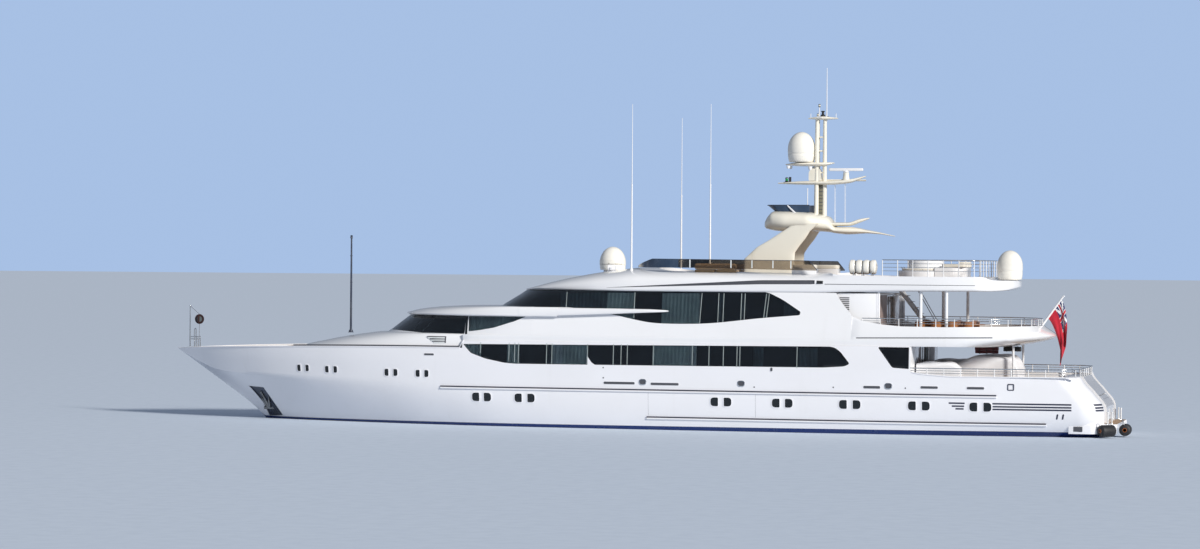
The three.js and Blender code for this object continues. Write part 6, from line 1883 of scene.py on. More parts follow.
def build_flagstaff():
    foot, top = Vector(STAFF.foot), Vector(STAFF.top)
    made = Shape().tube([foot.lerp(top, t) for t in (0.036, 0.5, 1.0)], [0.03, 0.028, 0.022], 18)
    made.lathe([(0.0, 3.405), (0.024, 3.408), (0.03, 3.42), (0.024, 3.434), (0.0, 3.44)], (-10.953, 0, 0),
               20)
    make("flagstaff_pole", made, [HOUSE_WHITE], stands_for=["flagstaff"], sharp=50)
    socket = Shape().tube([(-10.405, 0, 2.62), (-10.425, 0, 2.694)], 0.036, 18)
    make("flagstaff_socket", socket, [STAINLESS])


# The flag hangs in folds from the staff. Across is measured along the hoist, down along the fly.
FLAG = Sizes(hoist=0.57, fly=1.15, across=24, down=64, thick=0.003)
FLAG_HOIST = [(-10.9, 3.325), (-10.57, 2.865)]


def flag_point(u, v):
    """Where a point of the flag hangs: u along the hoist from its head, v along the fly."""
    head, heel = FLAG_HOIST
    x = head[0] + (heel[0] - head[0]) * u
    z = head[1] + (heel[1] - head[1]) * u
    gather = clamp(v * 1.6) ** 0.7
    line_x = -10.985 + 0.05 * sin(v * 2.3)
    drop = FLAG.fly * v
    x = x * (1 - gather) + (line_x + (u - 0.5) * 0.2 * (1 - 0.2 * v)) * gather - 0.03 * sin(v * 3.0)
    z = z - drop * (0.86 + 0.09 * gather) - 0.10 * u * gather
    y = 0.045 * sin(u * 9.5 + v * 2.0) * clamp(v * 2.2) + 0.02 * sin(u * 17.0 - v * 4.0) * clamp(v * 3)
    return (x, y, z)


def flag_colour(u, v):
    """0 red field, 1 blue canton, 2 white cross, 3 red cross, by the place on the flag."""
    if u > 0.5 or v > 0.5:
        return 0
    a, b = u / 0.5 - 0.5, v / 0.5 - 0.5
    if abs(a) < 0.09 or abs(b) < 0.05:
        return 3
    if abs(a) < 0.16 or abs(b) < 0.09:
        return 2
    return 2 if abs(abs(a) - abs(b)) < 0.09 else 1


def two_skins(outside, inside):
    """A cloth's points and faces: a grid of points for each side, and a hem that joins their edges."""
    rows, columns = len(outside), len(outside[0])
    far = rows * columns
    quads = [(i * columns + j, (i + 1) * columns + j, (i + 1) * columns + j + 1, i * columns + j + 1)
             for i in range(rows - 1) for j in range(columns - 1)]
    under = [tuple(k + far for k in reversed(quad)) for quad in quads]
    rim = [(0, j) for j in range(columns)] + [(i, columns - 1) for i in range(1, rows)]
    rim += [(rows - 1, j) for j in range(columns - 2, -1, -1)] + [(i, 0) for i in range(rows - 2, 0, -1)]
    hem = [(a * columns + b, c * columns + d, c * columns + d + far, a * columns + b + far)
           for (a, b), (c, d) in zip(rim, rim[1:] + rim[:1])]
    return [p for grid in (outside, inside) for row in grid for p in row], quads + under + hem


def build_flag():
    across, down = FLAG.across, FLAG.down
    inside = [[flag_point(i / across, j / down) for j in range(down + 1)] for i in range(across + 1)]
    outside = [[(x, y + FLAG.thick, z) for x, y, z in row] for row in inside]
    points, faces = two_skins(outside, inside)
    shades = [flag_colour((i + 0.5) / across, (j + 0.5) / down) for i in range(across) for j in range(down)]
    made = Shape().add(points, faces, shades * 2 + [0] * (len(faces) - 2 * len(shades)))
    hung = make("flag_cloth", made, [BUNTING_RED, BUNTING_BLUE, BUNTING_WHITE, BUNTING_RED],
                stands_for=["flag"], sharp=80)


# The life raft, tub, table, chairs and covers.
RAFT = Sizes(x0=-5.848, x1=-6.56, y=1.79, z=4.11, radius=0.18)


def build_raft():
    shell, straps = Shape(), Shape()
    long = RAFT.x1 - RAFT.x0
    rings = []
    for t in steps(0, 1, 72):
        bulge = 1 - 0.13 * abs(cos(pi * t * 4)) ** 5
        edge = min(t, 1 - t)
        end = (edge / 0.06) ** 0.5 if edge < 0.06 else 1.0
        r = RAFT.radius * bulge * max(end, 0.15)
        x = RAFT.x0 + long * t
        rings.append([(x, RAFT.y + r * cos(a), RAFT.z + r * sin(a)) for a in circle(32)])
    make("life_raft_shell", shell.loft(rings), [DOME_CREAM], stands_for=["life_raft"], sharp=60)
    r = RAFT.radius * 0.885
    for t in (0.25, 0.5, 0.75):
        straps.lathe([(r - 0.01, -0.012), (r, -0.012), (r, 0.012), (r - 0.01, 0.012), (r - 0.01, -0.012)],
                     (RAFT.x0 + long * t, RAFT.y, RAFT.z), 32, 0, axis=0)
    for x in (-5.98, -6.2, -6.43):
        arc = [radians(d) for d in steps(200, 340, 10)]
        straps.tube([(x, RAFT.y + 0.165 * cos(a), RAFT.z + 0.165 * sin(a)) for a in arc], 0.014, 8, 1)
        for s in (1, -1):
            straps.tube([(x, RAFT.y + s * 0.12, 3.7005), (x, RAFT.y + s * 0.12, 4.0)], 0.014, 8, 1)
    make("life_raft_cradle", straps, [BLACK, STAINLESS], sharp=60)


TUB = Sizes(x=-7.504, radius=0.45, wall=0.06, top=4.278, floor=3.82, step=4.037, out=0.7, water=4.2)
SUNBED = Sizes(fore=-7.8, aft=-8.593, half=0.65, top=4.21)


def tub_disc(radius, low, high):
    edge = 0.03
    outline = [(0.0, low), (radius, low), (radius, high - edge), (radius - edge * 0.3, high - edge * 0.3),
               (radius - edge, high), (0.0, high)]
    return Shape().lathe(outline, (TUB.x, 0, 0), 72)


def build_tub():
    """A round tub in its step, which runs out aft as the base of the sunbed, and the water in it."""
    step = make("spa_step", tub_disc(TUB.out, SUN_DECK + GAP, TUB.step), [HOUSE_WHITE, HOUSE_WHITE],
                stands_for=["spa_tub"], sharp=40)
    half, aft = SUNBED.half, SUNBED.aft
    bed = both_sides([(SUNBED.fore, half), (aft + 0.25, half), (aft, half - 0.25)])
    carve(step, Shape().plan(rounded(bed, [0.02, 0.15, 0.15, 0.15, 0.15, 0.02]), SUN_DECK + GAP, SUNBED.top
                             - 0.09), "UNION")
    carve(step, tub_disc(TUB.radius - 0.01, TUB.floor, 5.0))
    r, w = TUB.radius, TUB.wall
    ring = Shape().lathe([(r - w, TUB.floor + 0.001), (r, TUB.floor + 0.001), (r, TUB.top - 0.05),
                          (r - 0.004, TUB.top - 0.012), (r - 0.016, TUB.top), (r - w + 0.014, TUB.top),
                          (r - w + 0.003, TUB.top - 0.012), (r - w, TUB.top - 0.05),
                          (r - w, TUB.floor + 0.001)], (TUB.x, 0, 0), 72)
    make("spa_tub_shell", ring, [HOUSE_WHITE], sharp=45)
    water = Shape().lathe(drum(r - w - 0.001, TUB.water - 0.01, TUB.water), (TUB.x, 0, 0), 48)
    make("spa_water", water, [TUB_WATER])


def build_sun_cushions():
    """Pads round the tub's step, and three mattresses with headrests on the sunbed."""
    pads, aft = Shape(), SUNBED.aft
    for a0, a1 in ((35, 88), (92, 145), (-88, -35), (-145, -92)):
        rings = []
        for a in steps(radians(a0), radians(a1), 14):
            section = rounded([(TUB.out - 0.02, TUB.step + GAP), (TUB.radius + 0.03, TUB.step + GAP),
                               (TUB.radius + 0.03, TUB.step + 0.05), (TUB.out - 0.025, TUB.step + 0.05)],
                              0.02, 3)
            rings.append([(TUB.x - q * cos(a), q * sin(a), z) for q, z in section])
        pads.loft(rings)
    for y in (-0.43, 0.0, 0.43):
        cushion(pads, (aft + 0.02, y - 0.205, SUNBED.top - 0.0895),
                (SUNBED.fore - 0.18, y + 0.205, SUNBED.top - 0.005))
        cushion(pads, (aft + 0.03, y - 0.19, SUNBED.top - 0.01), (aft + 0.2, y + 0.19, SUNBED.top + 0.05))
    laid = make("sun_cushions", pads, [CUSHION_CLOTH], sharp=60)


def cushion(made, low, high, finish=0):
    """A soft block: a box whose sides swell and whose corners are round."""
    middle = [(a + b) / 2 for a, b in zip(low, high)]
    half = [(b - a) / 2 for a, b in zip(low, high)]
    corner = [(swell(cos(t), 0.28), swell(sin(t), 0.28)) for t in circle(40)]
    rings = []
    for v in steps(-1, 1, 8):
        share = 0.9 + 0.1 * max(1 - abs(v) ** 4, 0.0) ** 0.25
        rings.append([(middle[0] + half[0] * c * share, middle[1] + half[1] * s * share, middle[2] + half[2]
                       * v) for c, s in corner])
    return made.loft(rings, finish)


SOFA_TOP = [
    [-7.12, 1.61], [-7.5, 1.62], [-7.9, 1.63], [-8.1, 1.66], [-8.35, 1.74], [-8.6, 1.85], [-8.85, 1.94],
    [-9.1, 1.955], [-9.5, 1.95], [-9.72, 1.93], [-9.82, 1.86], [-9.92, 1.64],
]


COVER_THICK = 0.006


def drawn_in(value, middle):
    """A place moved towards the middle by the cloth's thickness."""
    return value - copysign(min(COVER_THICK, abs(value - middle)), value - middle)


def fitted_cover(name, rings, deck, stands_for=()):
    """A cover of one cloth: rings from end to end, both ends brought down to the deck, and a hem."""
    outside = [[(x, y, deck) for x, y, z in rings[0]], *rings, [(x, y, deck) for x, y, z in rings[-1]]]
    middle_x = (rings[0][0][0] + rings[-1][0][0]) / 2
    middle_y = (rings[0][0][1] + rings[0][-1][1]) / 2
    inside = [[(x - copysign(COVER_THICK, x - middle_x), drawn_in(y, middle_y), max(z - COVER_THICK, deck))
               for x, y, z in row] for row in outside]
    cover = make(name, Shape().add(*two_skins(outside, inside)), [COVER_CLOTH], stands_for=stands_for,
                 sharp=75)


def build_sofa():
    """A fitted cover over the aft-deck sofa and the bar behind it, with sags between its high points."""
    rings = []
    for x in steps(-7.905, -9.924, 70):
        top = smooth(SOFA_TOP, x, 1)
        ring = []
        for v in steps(-1, 1, 48):
            flat = (1 - abs(v) ** 7) ** (1 / 7)
            sag = 0.018 * sin(x * 7.3 + v * 2.0) * cos(v * 5.0) + 0.012 * sin(v * 13.0 + x * 3.0)
            y = 0.845 * copysign(min(1.0, abs(v) * 1.12), v) - 0.012 * sin(x * 9 + v * 4) * (1 - flat)
            z = 1.104 + (top - 1.104 + sag * flat - 0.02) * flat
            ring.append((x, clamp(y, -0.849, 0.849), max(z, 1.102)))
        rings.append(ring)
    fitted_cover("sofa_cover", rings, MAIN_DECK + GAP, ["covered_sofa"])


SETTEE_TOP = [[-7.52, 1.74], [-7.7, 1.78], [-7.9, 1.79], [-8.1, 1.78], [-8.3, 1.79], [-8.45, 1.76],
              [-8.58, 1.66]]


def build_settee_covers():
    """Fitted covers over the settees along the bulwarks."""
    for word, s in HANDS:
        rings = []
        for x in steps(-7.52, -8.58, 30):
            ring = []
            for v in steps(-1, 1, 24):
                flat = (1 - abs(v) ** 6) ** (1 / 6)
                y = s * (1.37 + 0.27 * clamp(v * 1.12, -1.0, 1.0))
                sag = 0.01 * sin(x * 11 + v * 3) * flat
                ring.append((x, y, 1.11 + (smooth(SETTEE_TOP, x, 1) - 1.11 + sag) * flat))
            rings.append(ring)
        fitted_cover(f"settee_cover_{word}", rings, 1.1075)


def build_awnings():
    """Awnings rolled up under the deckhead, in their bags, with the straps that hold them."""
    rolls, straps = Shape(), Shape()
    for kind, ends, rows in ((0, (-8.86, -9.43), ((0.8, 0.05, 0.054), (0.69, 0.05, 0.054),
                                                  (0.745, 0.045, 0.138))),
                             (1, (-9.57, -9.99), ((0.8, 0.058, 0.062), (0.68, 0.058, 0.062)))):
        for y, r, drop in rows:
            path = [(x, y, UPPER_UNDER - drop + 0.003 * sin(x * 21)) for x in steps(*ends, 12)]
            rolls.tube(path, r, 16, kind)
        for t in (0.2, 0.5, 0.8):
            x, low = ends[0] + (ends[1] - ends[0]) * t, UPPER_UNDER - 0.192 + 0.068 * kind
            for y0, y1, z1 in ((0.63, 0.636, UPPER_UNDER + 0.01), (0.858, 0.864, UPPER_UNDER + 0.01),
                               (0.63, 0.864, low + 0.006)):
                straps.box((x - 0.008, y0, low), (x + 0.008, y1, z1))
    make("awning_rolls", rolls, [WINE_CLOTH, BLACK_CLOTH], sharp=60)
    make("awning_straps", straps, [BLACK_CLOTH])


CHAIRS = [(x, s * 0.62) for x in (-7.45, -7.85, -8.25, -8.65) for s in (1, -1)]


def build_upper_furniture():
    wood, seats, pads, frames = Shape(), Shape(), Shape(), Shape()
    x0 = -8.1
    wood.loft([[(x0 + 0.9 * cos(t) * s, 0.42 * sin(t) * s, z) for t in circle(64)]
               for z, s in ((2.675, 0.97), (2.68, 1.0), (2.698, 1.0), (2.7048, 0.99))])
    frames.lathe([(0.0, UPPER_DECK + GAP), (0.12, UPPER_DECK + GAP), (0.12, UPPER_DECK + 0.02),
                  (0.05, UPPER_DECK + 0.06), (0.05, 2.66), (0.11, 2.675), (0.0, 2.675)], (x0, 0, 0), 32)
    make("dining_table_top", wood, [TEAK_TRIM], stands_for=["dining_table"], sharp=40)
    make("dining_table_foot", frames, [STAINLESS], sharp=45)
    for x, y in CHAIRS:
        wicker_chair(seats, pads, x, y, 1 if y > 0 else -1)
    make("wicker_chairs", seats, [WICKER], sharp=50)
    make("chair_cushions", pads, [CUSHION_CLOTH], sharp=60)


def wicker_chair(made, pads, x, y, out):
    """A low tub chair facing the table: seat, wrap-round back and legs."""
    seat = UPPER_DECK + 0.2
    made.box((x - 0.11, y - 0.1, seat - 0.045), (x + 0.11, y + 0.1, seat), 0)
    cushion(pads, (x - 0.1, y - 0.09, seat), (x + 0.1, y + 0.09, seat + 0.035))
    rings = []
    for a in steps(radians(-105), radians(105), 18):
        lift = 0.25 - 0.09 * (abs(a) / radians(105)) ** 2
        cx, cy = sin(a), cos(a) * out
        rings.append([
            (x + 0.108 * cx, y + 0.1 * cy, seat - 0.03), (x + 0.125 * cx, y + 0.118 * cy, seat - 0.03),
            (x + 0.13 * cx, y + 0.125 * cy, seat + lift), (x + 0.112 * cx, y + 0.105 * cy, seat + lift)])
    made.loft(rings, 0)
    for dx in (0.09, -0.09):
        for dy in (0.08, -0.08):
            made.tube([(x + dx, y + dy, UPPER_DECK + DECKING), (x + dx, y + dy, seat - 0.04)], 0.012, 8, 0)


# Doors on their own bodies, with frames.
SALOON = Sizes(x=-7.44, half=0.6, high=1.01, low=MAIN_DECK)
LOUNGE = Sizes(x=-6.57, half=0.6, high=1.05, low=UPPER_DECK)


def build_door(name, at, hand, body, node_name):
    x0, x1 = at.x + 0.006, at.x + 0.026
    y0, y1 = 0.004, at.half + 0.04
    z0, z1 = at.low + 0.0006, at.low + at.high + 0.03
    frame_bars, pane, r = Shape(), Shape(), 0.035
    for low, high in (((x0, y0, z0), (x1, y0 + r, z1)), ((x0, y1 - r, z0), (x1, y1, z1)),
                      ((x0, y0 + r, z0), (x1, y1 - r, z0 + 0.05)), ((x0, y0 + r, z1 - r), (x1, y1 - r, z1))):
        frame_bars.box(low, high)
    frame_bars.tube([(x0, y0 + 0.05, z0 + 0.42), (x0, y0 + 0.05, z0 + 0.62)], 0.0035, 10, 1)
    pane.box((x0 + 0.006, y0 + r - 0.004, z0 + 0.046), (x1 - 0.006, y1 - r + 0.004, z1 - r + 0.004))
    make(f"{name}_frame", frame_bars.on(hand), [HOUSE_WHITE, STAINLESS], body=body, stands_for=[node_name],
         bevel=0.002)
    make(f"{name}_pane", pane.on(hand), [SMOKED_DOOR], body=body)


def build_bulkhead(name, at, breadth, high):
    """A wall with its doorway, and a bright trim round the doorway."""
    x, half, low, top = at.x, at.half, at.low, at.low + at.high
    wall = Shape().box((x - 0.04, -breadth, low + GAP), (x, breadth, high - GAP))
    hole = Shape().box((x - 0.06, -half, low - 0.01), (x + 0.06, half, top))
    make(f"{name}_wall", wall, [HOUSE_WHITE], less=[hole], bevel=0.003, stands_for=[f"{name}_bulkhead"])
    trims = Shape()
    for y0, y1, z0, z1 in ((-half - 0.03, -half, low + 0.01, top + 0.03),
                           (half, half + 0.03, low + 0.01, top + 0.03), (-half, half, top, top + 0.03)):
        trims.box((x - 0.048, y0, z0), (x - 0.0395, y1, z1))
    make(f"{name}_wall_trim", trims, [STAINLESS], bevel=0.002)


def build_doors():
    for word, hand in HANDS:
        build_door(f"saloon_{word}", SALOON, hand, f"{word}_saloon_door", f"saloon_door_{word}")
        build_door(f"lounge_{word}", LOUNGE, hand, f"{word}_lounge_door", f"lounge_door_{word}")
    build_bulkhead("saloon", SALOON, side(-7.44, 2.1) - WALL - 0.012, UPPER_UNDER)
    build_bulkhead("lounge", LOUNGE, 1.99, ROOF_UNDER)


def build_lounge_end():
    """Walls forward from the lounge bulkhead's ends, its corner posts, and the panes beside the doors."""
    walls, posts = Shape(), Shape()
    foot, post_x = UPPER_DECK + GAP, LOUNGE.x - 0.06
    for s in (1, -1):
        y0, y1 = sorted((s * 1.95, s * 1.99))
        walls.box((LOUNGE.x - 0.001, y0, foot), (-5.4, y1, ROOF_UNDER - GAP))
        posts.tube([(post_x, s * 1.96, foot), (post_x, s * 1.96, ROOF_UNDER + 0.03)], 0.03, 20)
    make("lounge_side_walls", walls, [HOUSE_WHITE], bevel=0.002)
    make("lounge_corner_posts", posts, [HOUSE_WHITE])
    pane = Shape()
    for at, high, y0, y1 in ((LOUNGE, 1.08, 0.635, 1.88), (SALOON, 1.0, 0.635, 0.92),
                             (SALOON, 1.0, -1.66, -0.635)):
        pane.box((at.x - 0.046, y0, at.low + 0.03), (at.x - 0.0405, y1, at.low + high))
    make("aft_side_panes", pane, [BROWN_PANE])
    # Dark grey bars on the side wall: painted shade in the louvre slots.
    louvres = Shape()
    for k in range(9):
        z = 2.95 + 0.048 * k
        louvres.box((-5.9, 1.9905, z), (-5.66, 1.998, z + 0.026))
    make("lounge_vents", louvres, [SHADOW_GREY], bevel=0.002)


# Stern: the door over the garage, handrails, short posts, louvres and fenders.
def build_stern_door():
    half = GARAGE.half + 0.02
    heights = steps(GARAGE.low - 0.012, GARAGE.hinge - 0.018, 32)
    rings = []
    for y in steps(-half, half, 20):
        face = [(transom_x(z, 0.0025), y, z) for z in heights]
        back = [(transom_x(z, 0.043), y, z) for z in reversed(heights)]
        rings.append(face + back)
    door = Shape().loft(rings)
    x, top = -11.918, GARAGE.hinge
    door.tube([(x, -half, top), (x, half, top)], 0.005, 12, 1)
    for y in (-0.6, -0.2, 0.2, 0.6):
        door.box((x - 0.003, y - 0.05, top - 0.024), (x + 0.003, y + 0.05, top), 1)
    make("stern_door_leaf", door, [HULL_WHITE, STAINLESS], body="stern_door", stands_for=["transom_door"],
         bevel=0.004, sharp=40)
    seal, edge = Shape(), half - 0.09
    z0, z1 = GARAGE.low + 0.09, top - 0.1

    def near(z):
        return transom_x(z, 0.0006)

    def far(z):
        return transom_x(z, 0.008)

    for y in (-edge, edge):
        seal.loft([[(near(z), y - 0.004, z), (near(z), y + 0.004, z), (far(z), y + 0.004, z),
                    (far(z), y - 0.004, z)] for z in steps(z0, z1, 32)])
    for z in (z0, z1):
        seal.box((near(z), -edge, z - 0.004), (far(z), edge, z + 0.004))
    make("stern_door_line", seal, [SHADOW_GREY], body="stern_door")


HANDRAIL = [(-11.0, 1.56), (-11.06, 1.54), (-11.43, 1.24), (-11.66, 1.03), (-11.726, 0.93)]


def quarter(x, z):
    """Half-breadth of the side, held level round the stern corner."""
    return hull_point(CORNER_START, 0.0, z)[1] if x > CORNER_START else side(x, z)


def build_stern_fittings():
    bright, deck = Shape(), PLATFORM.high
    for s in (1, -1):
        for shift, r in ((0.0, 0.014), (-0.07, 0.009)):
            bright.tube([(x, s * 1.5, z + shift) for x, z in HANDRAIL], r, 12)
        for x, z in ((-11.02, 1.555), (-11.25, 1.38), (-11.45, 1.22), (-11.66, 1.02)):
            bright.tube([(x, s * 1.5, z), (x - 0.01, s * 1.5, z - 0.1)], 0.009, 10)
        for x, y in ((-12.2, 1.42), (-12.28, 1.22)):
            bright.tube([(x, s * y, deck), (x, s * y, 0.6)], 0.018, 14, 1)
            bright.lathe([(0.0, 0.59), (0.024, 0.592), (0.026, 0.605), (0.016, 0.618), (0.0, 0.62)],
                         (x, s * y, 0), 16, 1)
            bright.lathe([(0.0, deck), (0.035, deck), (0.032, deck + 0.014), (0.0, deck + 0.014)],
                         (x, s * y, 0), 16)
    make("stern_handrails", bright, [STAINLESS, RAIL_WHITE], sharp=60)
    # Dark grey sheets on the quarters: painted shade in the louvre slots.
    dark = Shape()
    for k in range(6):
        x = -11.42 - k * 0.045
        sheet_on(quarter, [(x, 0.17), (x - 0.02, 0.17)], [(x, 0.28), (x - 0.02, 0.28)], 0.003, 0.01, 1, 2,
                 0, dark)
    dark.box((-11.64, 1.9, 0.15), (-11.42, 1.943, 0.27))
    make("stern_louvres", dark.mirrored(), [SHADOW_GREY])
    build_fenders()
    ladder, end = Shape(), PLATFORM.end
    for y in (-0.14, 0.14):
        path = [(end + 0.04, deck + 0.02), (end + 0.02, deck + 0.05), (end + 0.012, deck - 0.02),
                (end + 0.012, 0.12)]
        ladder.tube([(x, y, z) for x, z in path], 0.011, 10)
    make("boarding_grips", ladder, [STAINLESS])


FENDER = Sizes(radius=0.145, z=0.175, long=0.42)
FENDER_ENDS = [  # shares of half the length and of the radius
    (0.76, 1.0), (0.86, 0.97), (0.94, 0.86), (0.985, 0.62), (1.0, 0.3),
]


def build_fenders():
    reach, z, deck = FENDER.radius + GAP, FENDER.z, PLATFORM.high
    diagonal = reach * sqrt(0.5)
    rows = [(-t, r) for t, r in FENDER_ENDS[::-1]] + FENDER_ENDS
    for word, x, y, turn in (("port", -12.11 - diagonal, 1.69 + diagonal, pi / 4),
                             ("stern", PLATFORM.end - reach, 1.05, pi / 2)):
        made, ropes = Shape(), Shape()
        dx, dy = cos(turn) * FENDER.long / 2, sin(turn) * FENDER.long / 2

        def at(t, high=z):
            return (x + dx * t, y + dy * t, high)

        made.tube([at(t) for t, r in rows], [FENDER.radius * r for t, r in rows], 40)
        for t in (-0.7, 0.7):
            made.tube([at(t - 0.04), at(t + 0.04)], FENDER.radius - 0.0006, 40, 1)
        made.tube([at(1), at(0.98)], [0.05, 0.045], 20, 1)
        for t in (-0.9, 0.9):
            px, py, top = at(t, z + 0.12)
            inward = (px + 0.12, py * 0.93)
            ropes.tube([(px, py, top), ((px + inward[0]) / 2, (py + inward[1]) / 2, deck + 0.03),
                        (*inward, deck + 0.008)], 0.009, 8)
        make(f"fender_shell_{word}", made, [RUBBER, BUNTING_ORANGE], stands_for=[f"fender_{word}"], sharp=45)
        make(f"fender_lines_{word}", ropes, [BUNTING_WHITE])


# Below the water.
HUB = [(0.1097, 0.07), (0.1, 0.078), (0.0, 0.076), (-0.06, 0.066), (-0.1, 0.05), (-0.125, 0.026),
       (-0.13, 0.008)]
BLADE = [  # radius, half the chord, pitch angle, half the thickness
    (0.05, 0.085, 1.05, 0.014), (0.1, 0.12, 0.9, 0.013), (0.16, 0.148, 0.75, 0.011),
    (0.22, 0.152, 0.63, 0.008), (0.27, 0.13, 0.55, 0.006), (0.3, 0.085, 0.5, 0.004),
    (0.309, 0.03, 0.48, 0.003),
]
BLADE_SECTION = [(1, 0), (0.6, 0.8), (0, 1), (-0.6, 0.8), (-1, 0), (-0.6, -0.8), (0, -1), (0.6, -0.8)]


def build_propellers():
    for word, hand in HANDS:
        y = hand * PROP.y

        def at(dx, r, angle):
            return (PROP.x + dx, y + r * cos(angle), PROP.z + r * sin(angle))

        made = Shape().loft([[at(dx, r, t) for t in circle(32)] for dx, r in HUB])
        for turn in circle(5):
            rings = []
            for r, chord, pitch, thick in BLADE:
                sweep = 0.6 * (r / 0.31) ** 2 * 0.12
                ring = []
                for c, s in BLADE_SECTION:
                    u = c * chord * cos(pitch) - s * thick * sin(pitch)
                    v = c * chord * sin(pitch) + s * thick * cos(pitch) + sweep
                    ring.append(at(u * 0.62, r, turn + hand * v / r))
                rings.append(ring)
            made.loft(rings)
        make(f"propeller_bronze_{word}", made, [BRONZE], body=f"{word}_propeller",
             stands_for=[f"propeller_{word}"], sharp=40)


def build_rudders():
    outline = both_sides([(0.2, 0.0), (0.185, 0.018), (0.12, 0.038), (0.02, 0.046), (-0.1, 0.043),
                          (-0.25, 0.026), (-0.42, 0.005)])
    for word, hand in HANDS:
        y = hand * PROP.y
        rings = []
        for z, scale in ((-1.2, 0.9), (-1.19, 0.95), (-1.1, 0.97), (-0.8, 0.99), (-0.52, 1.0),
                         (-0.5005, 0.99)):
            rings.append([(RUDDER.x + px * scale, y + t * min(scale, 1), z) for px, t in outline])
        make(f"rudder_blade_{word}", Shape().loft(rings), [BOTTOM_BLUE], body=f"{word}_rudder",
             stands_for=[f"rudder_{word}"], sharp=50)


def build_fins():
    outline = both_sides([(0.45, 0.0), (0.42, 0.5), (0.25, 0.95), (0.0, 1.0), (-0.3, 0.6), (-0.55, 0.06)])
    for word, hand in HANDS:
        rings = []
        for reach, chord, half in ((0.0247, 0.6, 0.034), (0.05, 0.62, 0.034), (0.25, 0.55, 0.028),
                                   (0.4, 0.49, 0.022), (0.43, 0.45, 0.012)):
            x, y, z = fin_axis(hand, reach)
            thick = half * sqrt(0.5)
            rings.append([(x + c * chord, y + t * thick * hand, z + t * thick) for c, t in outline])
        make(f"fin_blade_{word}", Shape().loft(rings), [BOTTOM_BLUE], body=f"{word}_fin",
             stands_for=[f"fin_{word}"], sharp=50)


BUILDERS = [
    build_hull, build_running_gear, build_side_fittings, build_side_lines, build_caps, build_trunk_trim,
    build_anchors, build_upper_deck, build_trunk, build_cabin, build_visor, build_upper_house,
    build_sundeck, build_screen, build_sun_seats, build_main_glass, build_cabin_glass, build_curtains,
    build_window_bars, build_window_edges, build_room_shades, build_main_rail, build_upper_rail,
    build_sun_rail, build_mast_arch, build_wind_screen, build_mast_struts, build_domes, build_searchlight,
    build_column, build_masthead, build_mast_lights, build_halyards, build_radar, build_foremast,
    build_jackstaff, build_anchor_ball, build_whips, build_flagstaff, build_flag, build_raft, build_tub,
    build_sun_cushions, build_sofa, build_settee_covers, build_awnings, build_upper_furniture,
    build_doors, build_lounge_end, build_stern_door, build_stern_fittings, build_propellers,
    build_rudders, build_fins,
]


# Finishes of the frame pieces that stay in sight.
SLOT_FINISHES = {
    "hull_paint": HULL_WHITE, "house_paint": HOUSE_WHITE, "mast_paint": MAST_CREAM,
    "dome_shell": DOME_CREAM, "tinted_glass": DARK_GLASS, "stainless": STAINLESS, "dark_steel": DARK_STEEL,
    "bottom_paint": BOTTOM_BLUE, "bronze": BRONZE, "varnished_white": HOUSE_WHITE,
    "flag_cloth": BUNTING_RED, "canvas": COVER_CLOTH, "teak": TEAK, "black_rubber": RUBBER,
}


def dress_frame():
    """Every frame piece takes the finish of its slot."""
    slots = {part["node"]: part["material_slot"] for part in frame["record"]["subparts"]}
    for name, made in frame["nodes"].items():
        made.data.materials.clear()
        made.data.materials.append(SLOT_FINISHES[slots[name]])
        smooth_faces(made)


# The studio: a plain floor at the waterline, soft light from aft and above, and the photograph's camera.
CAMERA = Sizes(
    turn=14.5, roll=atan(0.00753), pitch=atan((274.5 - 267.7) / 3182), distance=82.0,
    height=4.045, shift=0.95, lens=95.46,
)


def camera_axes():
    theta = radians(CAMERA.turn)
    back = Vector((-sin(theta), cos(theta), 0))
    ahead = (-back * cos(CAMERA.pitch) - Vector((0, 0, 1)) * sin(CAMERA.pitch)).normalized()
    right = ahead.cross(Vector((0, 0, 1))).normalized()
    up = right.cross(ahead)
    c, s = cos(CAMERA.roll), sin(CAMERA.roll)
    place_at = back * CAMERA.distance + Vector((0, 0, CAMERA.height)) - right * CAMERA.shift
    return place_at, right * c + up * s, up * c - right * s, -ahead


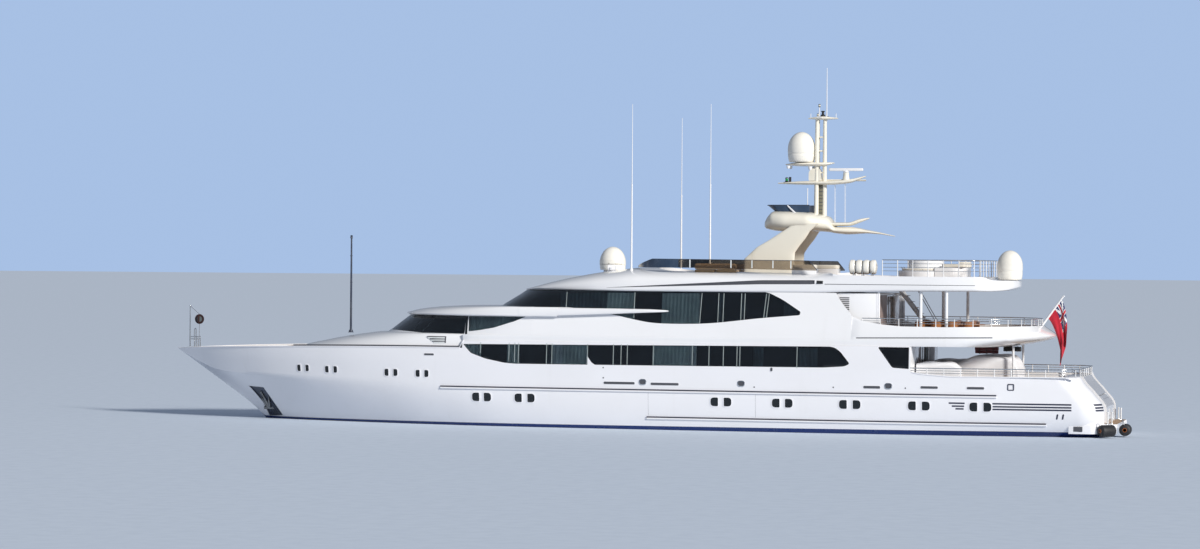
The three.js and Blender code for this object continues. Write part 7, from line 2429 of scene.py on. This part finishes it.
def set_camera():
    lens = bpy.data.cameras.new("camera")
    lens.lens = CAMERA.lens
    lens.sensor_width = 36
    lens.clip_end = 2500
    camera = bpy.data.objects.new("camera", lens)
    bpy.context.scene.collection.objects.link(camera)
    where, right, up, back = camera_axes()
    camera.matrix_world = Matrix.Translation(where) @ Matrix((right, up, back)).transposed().to_4x4()
    bpy.context.scene.camera = camera


LAMPS = [  # name, kind, direction it comes from, breadth (radians or metres), strength, colour
    ("key", "SUN", (-0.82, 0.6, 0.44), 0.16, 3.9, (1.0, 0.965, 0.9)),
    ("fill", "AREA", (-20.0, 40.0, 70.0), 30.0, 2500.0, (0.95, 0.97, 1.0)),
]


def light_scene():
    for name, kind, where, breadth, strength, colour in LAMPS:
        lamp = bpy.data.lights.new(name, kind)
        if kind == "SUN":
            lamp.angle = breadth
        else:
            lamp.shape = "DISK"
            lamp.size = breadth
        lamp.energy = strength
        lamp.color = colour
        made = bpy.data.objects.new(name, lamp)
        bpy.context.scene.collection.objects.link(made)
        made.location = where
        made.rotation_euler = Vector(where).to_track_quat("Z", "Y").to_euler()
    world = bpy.data.worlds.new("sky")
    bpy.context.scene.world = world
    world.use_nodes = True
    tree = world.node_tree
    tree.nodes.clear()
    seen = node(tree, "Background", {"Color": rgb(0.5, 0.68, 1.0), "Strength": 0.78})
    cast = node(tree, "Background", {"Color": rgb(0.66, 0.78, 1.0), "Strength": 0.3})
    either = node(tree, "MixShader")
    tree.links.new(node(tree, "LightPath").outputs["Is Camera Ray"], either.inputs[0])
    tree.links.new(cast.outputs[0], either.inputs[1])
    tree.links.new(seen.outputs[0], either.inputs[2])
    tree.links.new(either.outputs[0], node(tree, "OutputWorld").inputs[0])
    bpy.context.scene.view_settings.view_transform = "Standard"


def lay_floor():
    made = Shape()
    made.add([(-1500, -1500, 0), (1500, -1500, 0), (1500, 1500, 0), (-1500, 1500, 0)], [(0, 1, 2, 3)])
    ground = raw("floor", made, [handled("studio_floor", (0.6, 0.67, 0.77), (0.56, 0.63, 0.73), 0.85)])


dress_frame()
lay_floor()
light_scene()
set_camera()
for build in BUILDERS:
    build()
